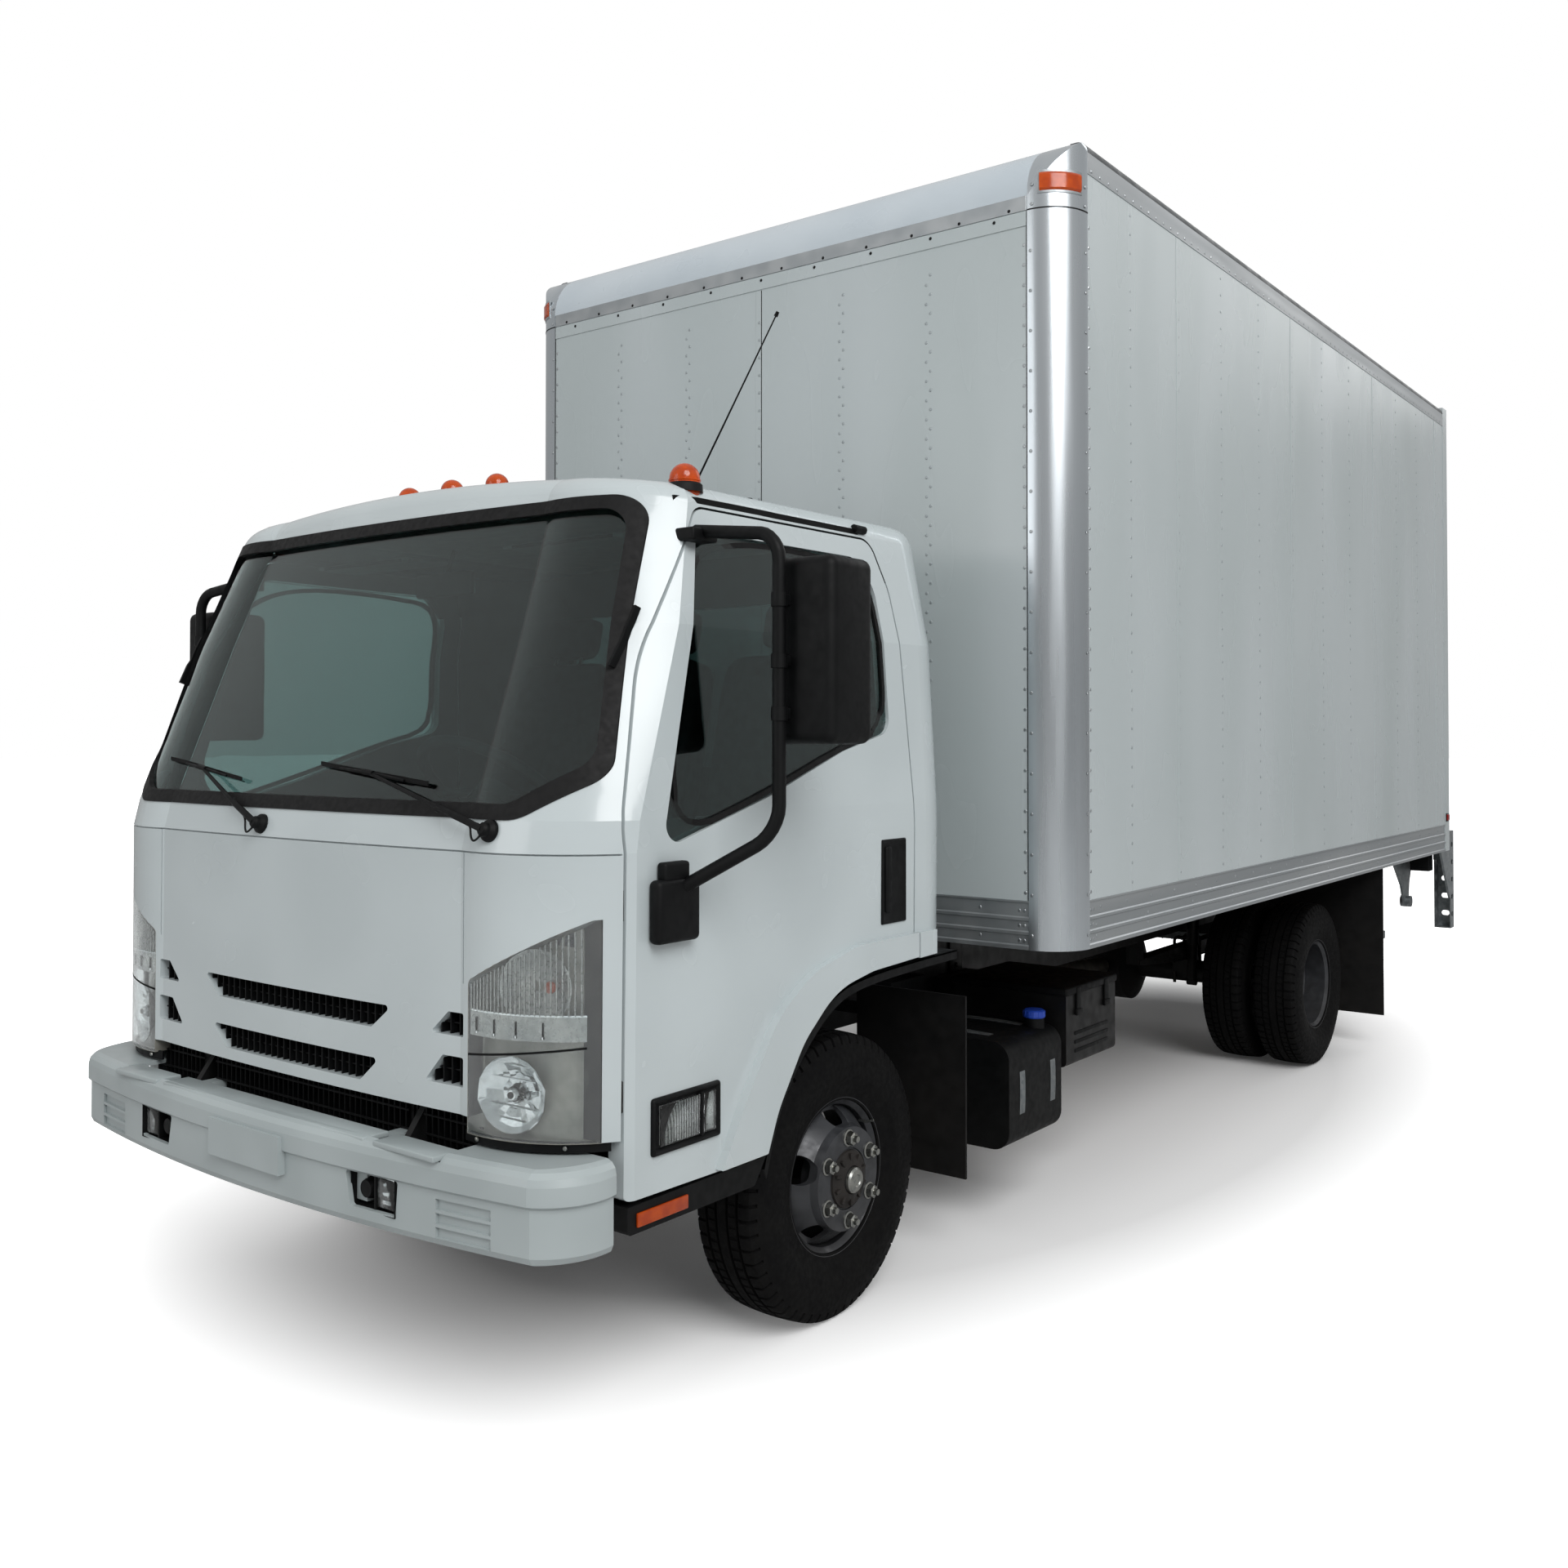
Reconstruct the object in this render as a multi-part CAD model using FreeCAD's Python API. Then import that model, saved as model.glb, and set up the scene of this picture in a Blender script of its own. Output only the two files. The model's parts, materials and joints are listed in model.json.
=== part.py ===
"""Low-cab-forward box truck: chassis, tilting cab, riveted freight body and tuck-under liftgate.

Millimetres. +X is the truck's left, -Y its front, +Z up. Every size below is measured from the
front axle line on the ground; write() shifts the whole truck so that the origin lies under the
middle of its bounding box.
"""
import FreeCAD
import Part
import math
import os

V = FreeCAD.Vector

# ---------------------------------------------------------------- driving sizes
# wheels and axles
WHEELBASE = 3810.0
REAR_OVERHANG = 1884.0
BODY_REAR = WHEELBASE + REAR_OVERHANG
TYRE_RADIUS = 386.0
TYRE_WIDTH = 215.0
RIM_RADIUS = 203.0
FRONT_TYRE_X = 838.0
TWIN_MIDDLE_X = 825.0
TWIN_SPACING = 250.0
KINGPIN_X = 690.0
KINGPIN_RADIUS = 20.0
STEERING_ARM = 165.0
RUNNING_GAP = 0.3

# frame
FRAME_HALF = 425.0
RAIL_TOP = 800.0
RAIL_HEIGHT = 190.0
RAIL_FLANGE = 62.0
RAIL_WALL = 7.0
RAIL_FRONT = -1010.0
RAIL_REAR = BODY_REAR - 94.0

# freight body
BOX_HALF = 1219.0
BOX_FRONT = 817.0
BOX_LENGTH = BODY_REAR - BOX_FRONT
BOX_BOTTOM = 915.0
BOX_TOP = 3486.0
BOX_WALL = 42.0
BOX_ROOF_WALL = 34.0
BOX_FLOOR_TOP = 1040.0
BOX_FLOOR_BOARD = 35.0
LOWER_RAIL_TOP = 1069.0
UPPER_RAIL_BOTTOM = 3378.0
CAP_BOTTOM = 3250.0
POST_RADIUS = 141.0
ROOF_RADIUS = 190.0
UPPER_EDGE_RADIUS = 40.0
REAR_POST = 90.0

# cab
CAB_HALF = 1016.0
CAB_NOSE = -1080.0
CAB_BACK = 516.0
CAB_BOTTOM = 700.0
CAB_TOP = 2255.0
CAB_WALL = 44.0
COWL_SEAM = 1330.0
SCREEN_BOTTOM = 1402.0
SCREEN_TOP = 2168.0
ROOF_SEAM = 2186.0
ROOF_EDGE_RADIUS = 70.0
ROOF_CROWN_RADIUS = 7800.0
REAR_CORNER_RADIUS = 200.0
PILLAR_X = 760.0
CRUMB = 1.0e5
GLASS = 6.0
GLASS_INSET = 10.0
SEAL_WIDTH = 34.0
DOOR_GAP = 6.0
SEAM = 4.0
SEAM_DEPTH = 9.0
FLARE_PROUD = 18.0
FLARE_REAR = 345.0
DOOR_BOTTOM = 566.0
DOOR_FRONT = -902.0
DOOR_REAR = 250.0
TILT_Y = -1100.0
TILT_Z = 560.0
TILT_PIN = 15.0

# bumper
BUMPER_FRONT = -1205.0
BUMPER_BOTTOM = 466.0
BUMPER_TOP = 672.0
BUMPER_WALL = 12.0
BUMPER_STEP = 595.0
BUMPER_SETBACK = 9.0
BUMPER_PAD = 8.0
SHELF_REAR = -1152.0

# liftgate
LIFT_PIVOT_Y = BODY_REAR - 744.0
LIFT_PIVOT_Z = 560.0
LIFT_ARM = 730.0
LIFT_ARM_X = 560.0
PLATFORM_HALF = 850.0
REAR_END = BODY_REAR + 96.0

CENTRE_Y = (BUMPER_FRONT + REAR_END) / 2


# ---------------------------------------------------------------- small tools
def box(x, y, z):
    """A block between the two values of each pair."""
    return Part.makeBox(x[1] - x[0], y[1] - y[0], z[1] - z[0], V(x[0], y[0], z[0]))


def place(axis, a, b, c):
    """The point whose coordinate along axis is c and whose other two, in X, Y, Z order, are a and b."""
    return {"x": V(c, a, b), "y": V(a, c, b), "z": V(a, b, c)}[axis]


def outline(points, axis, at):
    """A closed wire of (a, b) or (a, b, corner radius) points in the plane where axis is at."""
    count = len(points)
    starts, ends, middles = [], [], []
    for i, point in enumerate(points):
        here = V(point[0], point[1], 0)
        before = V(*points[i - 1][:2], 0)
        after = V(*points[(i + 1) % count][:2], 0)
        radius = point[2] if len(point) > 2 else 0
        if not radius:
            starts.append(here)
            ends.append(here)
            middles.append(None)
            continue
        back = (before - here).normalize()
        on = (after - here).normalize()
        half = back.getAngle(on) / 2
        reach = radius / math.tan(half)
        middle = (back + on).normalize() * (radius / math.sin(half) - radius)
        starts.append(here + back * reach)
        ends.append(here + on * reach)
        middles.append(here + middle)
    edges = []
    for i in range(count):
        if middles[i]:
            arc = [place(axis, p.x, p.y, at) for p in (starts[i], middles[i], ends[i])]
            edges.append(Part.Arc(*arc).toShape())
        a, b = ends[i], starts[(i + 1) % count]
        if a.distanceToPoint(b) > 1e-6:
            line = [place(axis, p.x, p.y, at) for p in (a, b)]
            edges.append(Part.makeLine(*line))
    return Part.Wire(edges)


def prism(points, axis, span):
    """The outline of points run along axis from span[0] to span[1]."""
    face = Part.Face(outline(points, axis, span[0]))
    return face.extrude(place(axis, 0, 0, span[1] - span[0]))


def cylinder(axis, a, b, radius, span, bore=0.0):
    """A round bar, or a tube if bore is given, along axis."""
    way = {"x": V(1, 0, 0), "y": V(0, 1, 0), "z": V(0, 0, 1)}[axis]
    start = place(axis, a, b, span[0])
    solid = Part.makeCylinder(radius, span[1] - span[0], start, way)
    if bore:
        solid = solid.cut(Part.makeCylinder(bore, span[1] - span[0], start, way))
    return solid


def turned(points, centre):
    """The ring that (x, radius) points sweep about the line through centre along X."""
    wire = outline([(p[0], centre[1] + p[1]) for p in points], "y", centre[0])
    return Part.Face(wire).revolve(V(0, centre[0], centre[1]), V(1, 0, 0), 360)


def mirrored(shape):
    """The same piece on the truck's other side."""
    return shape.mirror(V(0, 0, 0), V(1, 0, 0))


def both(shape):
    """A piece and its mirror image as two solids."""
    return [shape, mirrored(shape)]


def fused(shapes):
    """One solid of pieces that meet."""
    return shapes[0].multiFuse(shapes[1:]).removeSplitter()


def rod(start, end, radius):
    """A round bar between two points."""
    way = end - start
    return Part.makeCylinder(radius, way.Length, start, way)


# ---------------------------------------------------------------- chassis
def frame_rails():
    """Two channels with their open sides facing each other."""
    outer, inner = FRAME_HALF, FRAME_HALF - RAIL_FLANGE
    web = outer - RAIL_WALL
    low = RAIL_TOP - RAIL_HEIGHT
    channel = [
        (outer, low), (outer, RAIL_TOP), (inner, RAIL_TOP), (inner, RAIL_TOP - RAIL_WALL),
        (web, RAIL_TOP - RAIL_WALL), (web, low + RAIL_WALL), (inner, low + RAIL_WALL), (inner, low),
    ]
    return both(prism(channel, "y", (RAIL_FRONT, RAIL_REAR)))


CROSSMEMBERS = [
    # y of the middle, top below the rail's top
    (-960.0, 60.0),
    (1120.0, 20.0),
    (WHEELBASE - 1360.0, 20.0),
    (WHEELBASE - 560.0, 20.0),
    (WHEELBASE + 670.0, 20.0),
    (WHEELBASE + 1010.0, 20.0),
    (RAIL_REAR - 60.0, 20.0),
]
CROSSMEMBER_HEIGHT = 110.0
CROSSMEMBER_WIDTH = 60.0
CROSSMEMBER_WALL = 6.0


def crossmembers():
    """Channels between the rails' webs, open to the rear."""
    reach = FRAME_HALF - RAIL_WALL
    pieces = []
    for middle, drop in CROSSMEMBERS:
        top = RAIL_TOP - drop
        low = top - CROSSMEMBER_HEIGHT
        front, back = middle - CROSSMEMBER_WIDTH / 2, middle + CROSSMEMBER_WIDTH / 2
        wall = CROSSMEMBER_WALL
        channel = [
            (back, low), (front, low), (front, top), (back, top), (back, top - wall),
            (front + wall, top - wall), (front + wall, low + wall), (back, low + wall),
        ]
        pieces.append(prism(channel, "x", (-reach, reach)))
    return pieces


AXLE_BEAM_Z = 318.0
AXLE_BEAM_HALF_HEIGHT = 36.0
AXLE_BEAM_HALF_DEPTH = 38.0
SPRING_X = 385.0
SPRING_WIDTH = 70.0
FRONT_SPRING_SEAT = AXLE_BEAM_Z + AXLE_BEAM_HALF_HEIGHT + 10.0
REAR_SPRING_SEAT = TYRE_RADIUS + 72.0
KNUCKLE_EYE_HALF = 45.0


def front_axle():
    """Dropped beam with a kingpin through each end."""
    low = AXLE_BEAM_Z - AXLE_BEAM_HALF_HEIGHT
    high = AXLE_BEAM_Z + AXLE_BEAM_HALF_HEIGHT
    end = KINGPIN_X - 8
    eye_low, eye_high = TYRE_RADIUS - KNUCKLE_EYE_HALF, TYRE_RADIUS + KNUCKLE_EYE_HALF
    beam = prism(
        [(-end, eye_low), (-635, eye_low), (-530, low), (530, low), (635, eye_low), (end, eye_low),
         (end, eye_high), (640, eye_high), (530, high), (-530, high), (-640, eye_high), (-end, eye_high)],
        "y", (-AXLE_BEAM_HALF_DEPTH, AXLE_BEAM_HALF_DEPTH))
    parts = [beam]
    for side in (-1, 1):
        parts.append(cylinder("z", side * KINGPIN_X, 0, 40, (eye_low, eye_high)))
        seat = side * SPRING_X
        parts.append(box((seat - 45, seat + 45), (-80, 80), (high - 4, FRONT_SPRING_SEAT)))
    solid = fused(parts)
    for side in (-1, 1):
        pin = cylinder("z", side * KINGPIN_X, 0, KINGPIN_RADIUS, (eye_low - 52, eye_high + 52))
        solid = solid.fuse(pin)
    return [solid.removeSplitter()]


SPRINGS = [
    # y of the axle, seat height, half length, pack thickness, rise of the ends
    (0.0, FRONT_SPRING_SEAT, 620.0, 56.0, 120.0),
    (WHEELBASE, REAR_SPRING_SEAT, 660.0, 70.0, 40.0),
]


def leaf_springs():
    """Curved leaf packs with hangers under the rails."""
    pieces = []
    for middle, seat, half, thick, rise in SPRINGS:
        low_end, top_end = seat + rise, seat + rise + 24
        pack = Part.Wire([
            Part.Arc(V(SPRING_X, middle - half, low_end), V(SPRING_X, middle, seat),
                     V(SPRING_X, middle + half, low_end)).toShape(),
            Part.makeLine(V(SPRING_X, middle + half, low_end), V(SPRING_X, middle + half, top_end)),
            Part.Arc(V(SPRING_X, middle + half, top_end), V(SPRING_X, middle, seat + thick),
                     V(SPRING_X, middle - half, top_end)).toShape(),
            Part.makeLine(V(SPRING_X, middle - half, top_end), V(SPRING_X, middle - half, low_end)),
        ])
        leaf = Part.Face(pack).extrude(V(SPRING_WIDTH, 0, 0))
        leaf.translate(V(-SPRING_WIDTH / 2, 0, 0))
        rail_bottom = RAIL_TOP - RAIL_HEIGHT
        for end in (-1, 1):
            y = middle + end * (half - 20)
            hanger = box((SPRING_X - 30, SPRING_X + 30), (y - 30, y + 30), (low_end + 6, rail_bottom))
            leaf = leaf.fuse(hanger)
        pieces += both(leaf.removeSplitter())
    return pieces


def rear_axle():
    """Banjo housing with its tubes; the hubs turn on their ends."""
    z = TYRE_RADIUS
    half = TWIN_MIDDLE_X - 40
    tube = cylinder("x", WHEELBASE, z, 55, (-half, half))
    banjo = turned([(-150, 0), (-150, 60), (-90, 175, 60), (90, 175, 60), (150, 60), (150, 0)],
                   (WHEELBASE, z))
    parts = [tube, banjo]
    for side in (-1, 1):
        seat = side * SPRING_X
        parts.append(box((seat - 45, seat + 45), (WHEELBASE - 80, WHEELBASE + 80), (z, REAR_SPRING_SEAT)))
    return [fused(parts)]


ENGINE_HALF = 270.0
ENGINE_FRONT = -560.0
ENGINE_REAR = 470.0
ENGINE_BOTTOM = 440.0
ENGINE_TOP = 975.0


def engine():
    """One plain block between the rails under the seats, and the radiator in front of it."""
    block = box((-ENGINE_HALF, ENGINE_HALF), (ENGINE_FRONT, ENGINE_REAR), (ENGINE_BOTTOM, ENGINE_TOP))
    half = FRAME_HALF - RAIL_FLANGE - 50
    radiator = box((-half, half), (-830, -760), (560, 960))
    reach = FRAME_HALF - RAIL_WALL
    feet = box((-reach, reach), (-815, -775), (640, 680))
    mounts = box((-reach, reach), (-40, 60), (640, 700))
    return [block.fuse(mounts), radiator.fuse(feet)]


def driveshaft():
    """Gearbox behind the engine, and the shaft that slopes down to the rear axle."""
    gearbox = prism([(ENGINE_REAR, 480), (ENGINE_REAR, 760), (1010, 690), (1010, 510)], "x", (-150, 150))
    start = V(0, 1010, 590)
    end = V(0, WHEELBASE - 190, TYRE_RADIUS + 10)
    shaft = rod(start, end, 42)
    return [fused([gearbox, shaft])]


def exhaust():
    """Silencer under the right rail with its tail pipe, hung from the rail."""
    x, z = -570.0, 560.0
    can = cylinder("y", x, z, 120, (1350, 2250))
    pipe = cylinder("y", x, z, 38, (1000, 2900))
    straps = [box((x - 20, -FRAME_HALF), (y - 15, y + 15), (z + 95, z + 145)) for y in (1500, 2100)]
    return [fused([can, pipe] + straps)]


def fuel_tank():
    """Rounded tank between the rails behind the rear axle, hung from the crossmembers."""
    half = FRAME_HALF - RAIL_FLANGE - 22
    top = RAIL_TOP - 20 - CROSSMEMBER_HEIGHT
    deep = 180
    return [prism([(-half, top - deep, 60), (half, top - deep, 60), (half, top, 40), (-half, top, 40)], "y",
                  (WHEELBASE + 610, LIFT_PIVOT_Y - 70))]


def def_tank():
    """Fluid tank on the left side behind the cab, on brackets from the rail."""
    tank = prism([(500, 268, 40), (1000, 268, 60), (1000, 610, 60), (500, 610, 40)], "y", (830, 1190))
    neck = cylinder("z", 930, 1130, 34, (600, 640))
    bracket = box((FRAME_HALF, 505), (900, 1120), (620 - 50, 740))
    return [fused([tank, neck, bracket])]


def battery_box():
    """Covered box behind the fluid tank."""
    case = prism([(560, 459, 20), (1000, 459, 20), (1000, 715, 20), (560, 715, 20)], "y", (1227, 1615))
    bracket = box((FRAME_HALF, 565), (1300, 1540), (640, 700))
    return [fused([case, bracket])]


BUMPER_HALF = 1020.0
BUMPER_CORNER_Y = -1122.0
BUMPER_END_Y = -945.0


def bumper_wire(inset, z):
    """Plan outline of the bumper at height z, set in by inset at the front and the ends."""
    half = BUMPER_HALF - inset
    end = BUMPER_END_Y
    front = BUMPER_FRONT + BUMPER_PAD + inset
    corner = BUMPER_CORNER_Y + inset
    return Part.Wire([
        Part.Arc(V(-930, corner, z), V(0, front, z), V(930, corner, z)).toShape(),
        Part.Arc(V(930, corner, z), V(half - 18, corner + 62, z), V(half, end, z)).toShape(),
        Part.makeLine(V(half, end, z), V(-half, end, z)),
        Part.Arc(V(-half, end, z), V(-half + 18, corner + 62, z), V(-930, corner, z)).toShape(),
    ])


def bumper_form(inset, low, high):
    """The bumper's plan outline run up from low to high."""
    return Part.Face(bumper_wire(inset, low)).extrude(V(0, 0, high - low))


BUMPER_SECTIONS = [
    # inset, height
    (BUMPER_SETBACK + 22.0, BUMPER_BOTTOM),
    (BUMPER_SETBACK + 7.0, BUMPER_BOTTOM + 7.0),
    (BUMPER_SETBACK, BUMPER_BOTTOM + 22.0),
    (BUMPER_SETBACK, BUMPER_STEP - 4.0),
    (0.0, BUMPER_STEP + 4.0),
    (0.0, BUMPER_TOP - 32.0),
    (4.0, BUMPER_TOP - 16.0),
    (14.0, BUMPER_TOP - 5.0),
    (28.0, BUMPER_TOP),
]


BUMPER_RIBS = [
    # bottom, top of each groove in the blocks beside the lamp pockets
    (488.0, 512.0),
    (519.0, 543.0),
    (550.0, 574.0),
]


def front_bumper():
    """Curved steel bumper with its shelf, lamp pockets, ribbed blocks, plate pad and mounting arms."""
    outer = Part.makeLoft([bumper_wire(inset, z) for inset, z in BUMPER_SECTIONS], True, True)
    inner = bumper_form(BUMPER_SETBACK + BUMPER_WALL, BUMPER_BOTTOM - 1, BUMPER_TOP - BUMPER_WALL)
    shell = outer.cut(inner)
    shell = shell.cut(box((-685, 685), (SHELF_REAR, -900), (600, 700)))
    pad = box((-152, 152), (BUMPER_FRONT, BUMPER_FRONT + BUMPER_PAD + BUMPER_SETBACK + 8), (540, 632))
    shell = shell.fuse(pad)
    skin = bumper_form(BUMPER_SETBACK + 8, BUMPER_BOTTOM, BUMPER_TOP)
    for side in (-1, 1):
        pocket = [(side * 395, 512, 8), (side * 545, 512, 8), (side * 552, 592, 8), (side * 378, 592, 8)]
        shell = shell.cut(prism(pocket, "y", (BUMPER_FRONT - 10, BUMPER_FRONT + 80)))
        for low, high in BUMPER_RIBS:
            x = sorted((side * 668, side * 826))
            shell = shell.cut(box(x, (BUMPER_FRONT, -1050), (low, high)).cut(skin))
    arms = []
    for side in (-1, 1):
        a, b = sorted((side * (FRAME_HALF - 40), side * FRAME_HALF))
        arms.append(box((a, b), (BUMPER_FRONT + BUMPER_PAD + 24, RAIL_FRONT), (600, 655)))
        arms.append(box((a, b), (-1150, RAIL_FRONT), (520, 655)))
        pin = sorted((side * (FRAME_HALF - 5), side * (FRAME_HALF + 42)))
        arms.append(cylinder("x", TILT_Y, TILT_Z, TILT_PIN, pin))
    return [fused([shell] + arms)]


MUDFLAPS = [
    # inner x, outer x, y, bottom, top
    (600.0, 1000.0, 560.0, 250.0, 800.0),
    (560.0, 1200.0, WHEELBASE + 550.0, 165.0, BOX_BOTTOM),
]


def mudflaps():
    """Rubber flaps behind the front and the rear wheels, hung from brackets on the rails."""
    pieces = []
    for near, far, y, low, high in MUDFLAPS:
        flap = box((near, far), (y, y + 8), (low, high))
        arm = box((FRAME_HALF, far - 40), (y + 8, y + 38), (700, 740))
        pieces += both(flap.fuse(arm))
    return pieces


# ---------------------------------------------------------------- freight body
FLOOR_BEAMS = 12
FLOOR_BEAM_WIDTH = 45.0
SILL_WIDTH = 62.0


def box_floor():
    """Board deck of the body, rounded to clear the corner posts."""
    inside = BOX_HALF - BOX_WALL
    front, rear = BOX_FRONT + BOX_WALL, BOX_FRONT + BOX_LENGTH - REAR_POST
    round_in = POST_RADIUS - BOX_WALL
    deck = [(-inside, front, round_in), (inside, front, round_in), (inside, rear), (-inside, rear)]
    return [prism(deck, "z", (BOX_FLOOR_TOP - BOX_FLOOR_BOARD, BOX_FLOOR_TOP))]


def floor_beams():
    """Cross beams under the deck, and the two sills that carry them on the rails."""
    inside = BOX_HALF - BOX_WALL
    front, rear = BOX_FRONT + BOX_WALL, BOX_FRONT + BOX_LENGTH - REAR_POST
    start = front + POST_RADIUS - BOX_WALL + 10
    pitch = (rear - 70 - start) / (FLOOR_BEAMS - 1)
    pieces = []
    for i in range(FLOOR_BEAMS):
        y = start + i * pitch
        height = (BOX_BOTTOM, BOX_FLOOR_TOP - BOX_FLOOR_BOARD)
        pieces.append(box((-inside, inside), (y, y + FLOOR_BEAM_WIDTH), height))
    return pieces + both(box((FRAME_HALF - SILL_WIDTH, FRAME_HALF), (front, rear), (RAIL_TOP, BOX_BOTTOM)))


def box_front_wall():
    """Front wall between the corner posts."""
    half = BOX_HALF - POST_RADIUS
    height = (LOWER_RAIL_TOP, BOX_TOP - ROOF_RADIUS)
    return [box((-half, half), (BOX_FRONT + 2, BOX_FRONT + BOX_WALL), height)]


def box_side_walls():
    """Side walls between the corner posts and the rear frame."""
    front, rear = BOX_FRONT + POST_RADIUS, BOX_FRONT + BOX_LENGTH - REAR_POST
    wall = box((BOX_HALF - BOX_WALL, BOX_HALF - 2), (front, rear), (LOWER_RAIL_TOP, UPPER_RAIL_BOTTOM))
    return both(wall)


def box_roof():
    """Flat roof between the upper rails."""
    half = BOX_HALF - 60
    front, rear = BOX_FRONT + POST_RADIUS, BOX_FRONT + BOX_LENGTH - REAR_POST
    return [box((-half, half), (front, rear), (BOX_TOP - BOX_ROOF_WALL, BOX_TOP - 3))]


def nose_wire(x, low_front, low_rear):
    """Side outline of the roof's rounded nose, from the front wall's face to the posts' rear edge."""
    y, z, r = BOX_FRONT + ROOF_RADIUS, BOX_TOP - ROOF_RADIUS, ROOF_RADIUS
    end = BOX_FRONT + POST_RADIUS
    end_z = z + math.sqrt(r ** 2 - (y - end) ** 2)
    half = math.atan2(end_z - z, y - end) / 2
    points = [V(x, BOX_FRONT, low_front), V(x, BOX_FRONT, z), V(x, end, end_z), V(x, end, low_rear)]
    middle = V(x, y - r * math.cos(half), z + r * math.sin(half))
    edges = [Part.Arc(points[1], middle, points[2]).toShape(), Part.makeLine(points[2], points[3]),
             Part.makeLine(points[3], points[0])]
    if low_front < z:
        edges.append(Part.makeLine(points[0], points[1]))
    return Part.Wire(edges)


def corner_posts():
    """Large-radius vertical corner extrusions with a rounded casting on top of each."""
    radius, wall = POST_RADIUS, BOX_WALL
    cx, cy = BOX_HALF - radius, BOX_FRONT + radius
    s = math.sqrt(0.5)
    inner = radius - wall
    wire = Part.Wire([
        Part.Arc(V(cx, cy - radius, 0), V(cx + radius * s, cy - radius * s, 0),
                 V(cx + radius, cy, 0)).toShape(),
        Part.makeLine(V(cx + radius, cy, 0), V(cx + inner, cy, 0)),
        Part.Arc(V(cx + inner, cy, 0), V(cx + inner * s, cy - inner * s, 0), V(cx, cy - inner, 0)).toShape(),
        Part.makeLine(V(cx, cy - inner, 0), V(cx, cy - radius, 0)),
    ])
    post = Part.Face(wire).extrude(V(0, 0, CAP_BOTTOM - BOX_BOTTOM))
    post.translate(V(0, 0, BOX_BOTTOM))
    low, high = CAP_BOTTOM, BOX_TOP
    over = Part.Face(nose_wire(cx, low, low)).extrude(V(radius, 0, 0))
    along = prism([(cx, low), (BOX_HALF, low), (BOX_HALF, high, UPPER_EDGE_RADIUS), (cx, high)],
                  "y", (cy - radius, cy))
    cap = cylinder("z", cx, cy, radius, (low, high)).common(over).common(along)
    return both(post) + both(cap)


def lower_rails():
    """Ribbed extrusions along the bottom of the sides and the front of the body."""
    depth, rib = BOX_WALL, 5.0
    low, high = BOX_BOTTOM, LOWER_RAIL_TOP
    face = BOX_HALF - rib
    section = [
        (BOX_HALF - depth, low), (BOX_HALF, low), (BOX_HALF, low + 12), (face, low + 16),
        (face, low + 44), (BOX_HALF, low + 48), (BOX_HALF, low + 56), (face, low + 60),
        (face, low + 88), (BOX_HALF, low + 92), (BOX_HALF, low + 100), (face, low + 104),
        (face, high - 8), (BOX_HALF, high - 6), (BOX_HALF, high), (BOX_HALF - depth, high),
    ]
    front, rear = BOX_FRONT + POST_RADIUS, BOX_FRONT + BOX_LENGTH - REAR_POST
    side = prism(section, "y", (front, rear))
    across = [(BOX_FRONT + BOX_HALF - x, z) for x, z in section]
    nose = prism(across, "x", (-BOX_HALF + POST_RADIUS, BOX_HALF - POST_RADIUS))
    return both(side) + [nose]


def upper_rails():
    """Side rails with a rounded upper edge and the rounded nose of the roof."""
    low, high, out = UPPER_RAIL_BOTTOM, BOX_TOP, BOX_HALF
    front, rear = BOX_FRONT + POST_RADIUS, BOX_FRONT + BOX_LENGTH - REAR_POST
    section = [(out - BOX_WALL, low), (out, low), (out, high, UPPER_EDGE_RADIUS), (out - 60, high),
               (out - 60, high - BOX_ROOF_WALL), (out - BOX_WALL, high - BOX_ROOF_WALL - 20)]
    side = prism(section, "y", (front, rear))
    x = BOX_HALF - POST_RADIUS
    low = BOX_TOP - ROOF_RADIUS
    nose = Part.Face(nose_wire(-x, low, low)).extrude(V(2 * x, 0, 0))
    hollow = cylinder("x", BOX_FRONT + ROOF_RADIUS, low, ROOF_RADIUS - BOX_ROOF_WALL, (-x, x))
    nose = nose.cut(hollow)
    return both(side) + [nose]


def rear_frame():
    """Hoop of posts, header and sill round the rear door."""
    rear = BOX_FRONT + BOX_LENGTH
    front = rear - REAR_POST
    outside = box((-BOX_HALF, BOX_HALF), (front, rear), (BOX_BOTTOM, BOX_TOP))
    inside = box((-BOX_HALF + 80, BOX_HALF - 80), (front - 1, rear + 1), (BOX_FLOOR_TOP, BOX_TOP - 130))
    return [outside.cut(inside)]


def rear_door():
    """Roll-up door of ribbed panels, shut."""
    rear = BOX_FRONT + BOX_LENGTH
    half = BOX_HALF - 80
    low, high = BOX_FLOOR_TOP, BOX_TOP - 130
    panels = 7
    pitch = (high - low) / panels
    points = [(rear - 60, low), (rear - 32, low)]
    for i in range(1, panels):
        z = low + i * pitch
        points += [(rear - 32, z - 5), (rear - 38, z), (rear - 32, z + 5)]
    points += [(rear - 32, high), (rear - 60, high)]
    return [prism(points, "x", (-half, half))]


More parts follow.
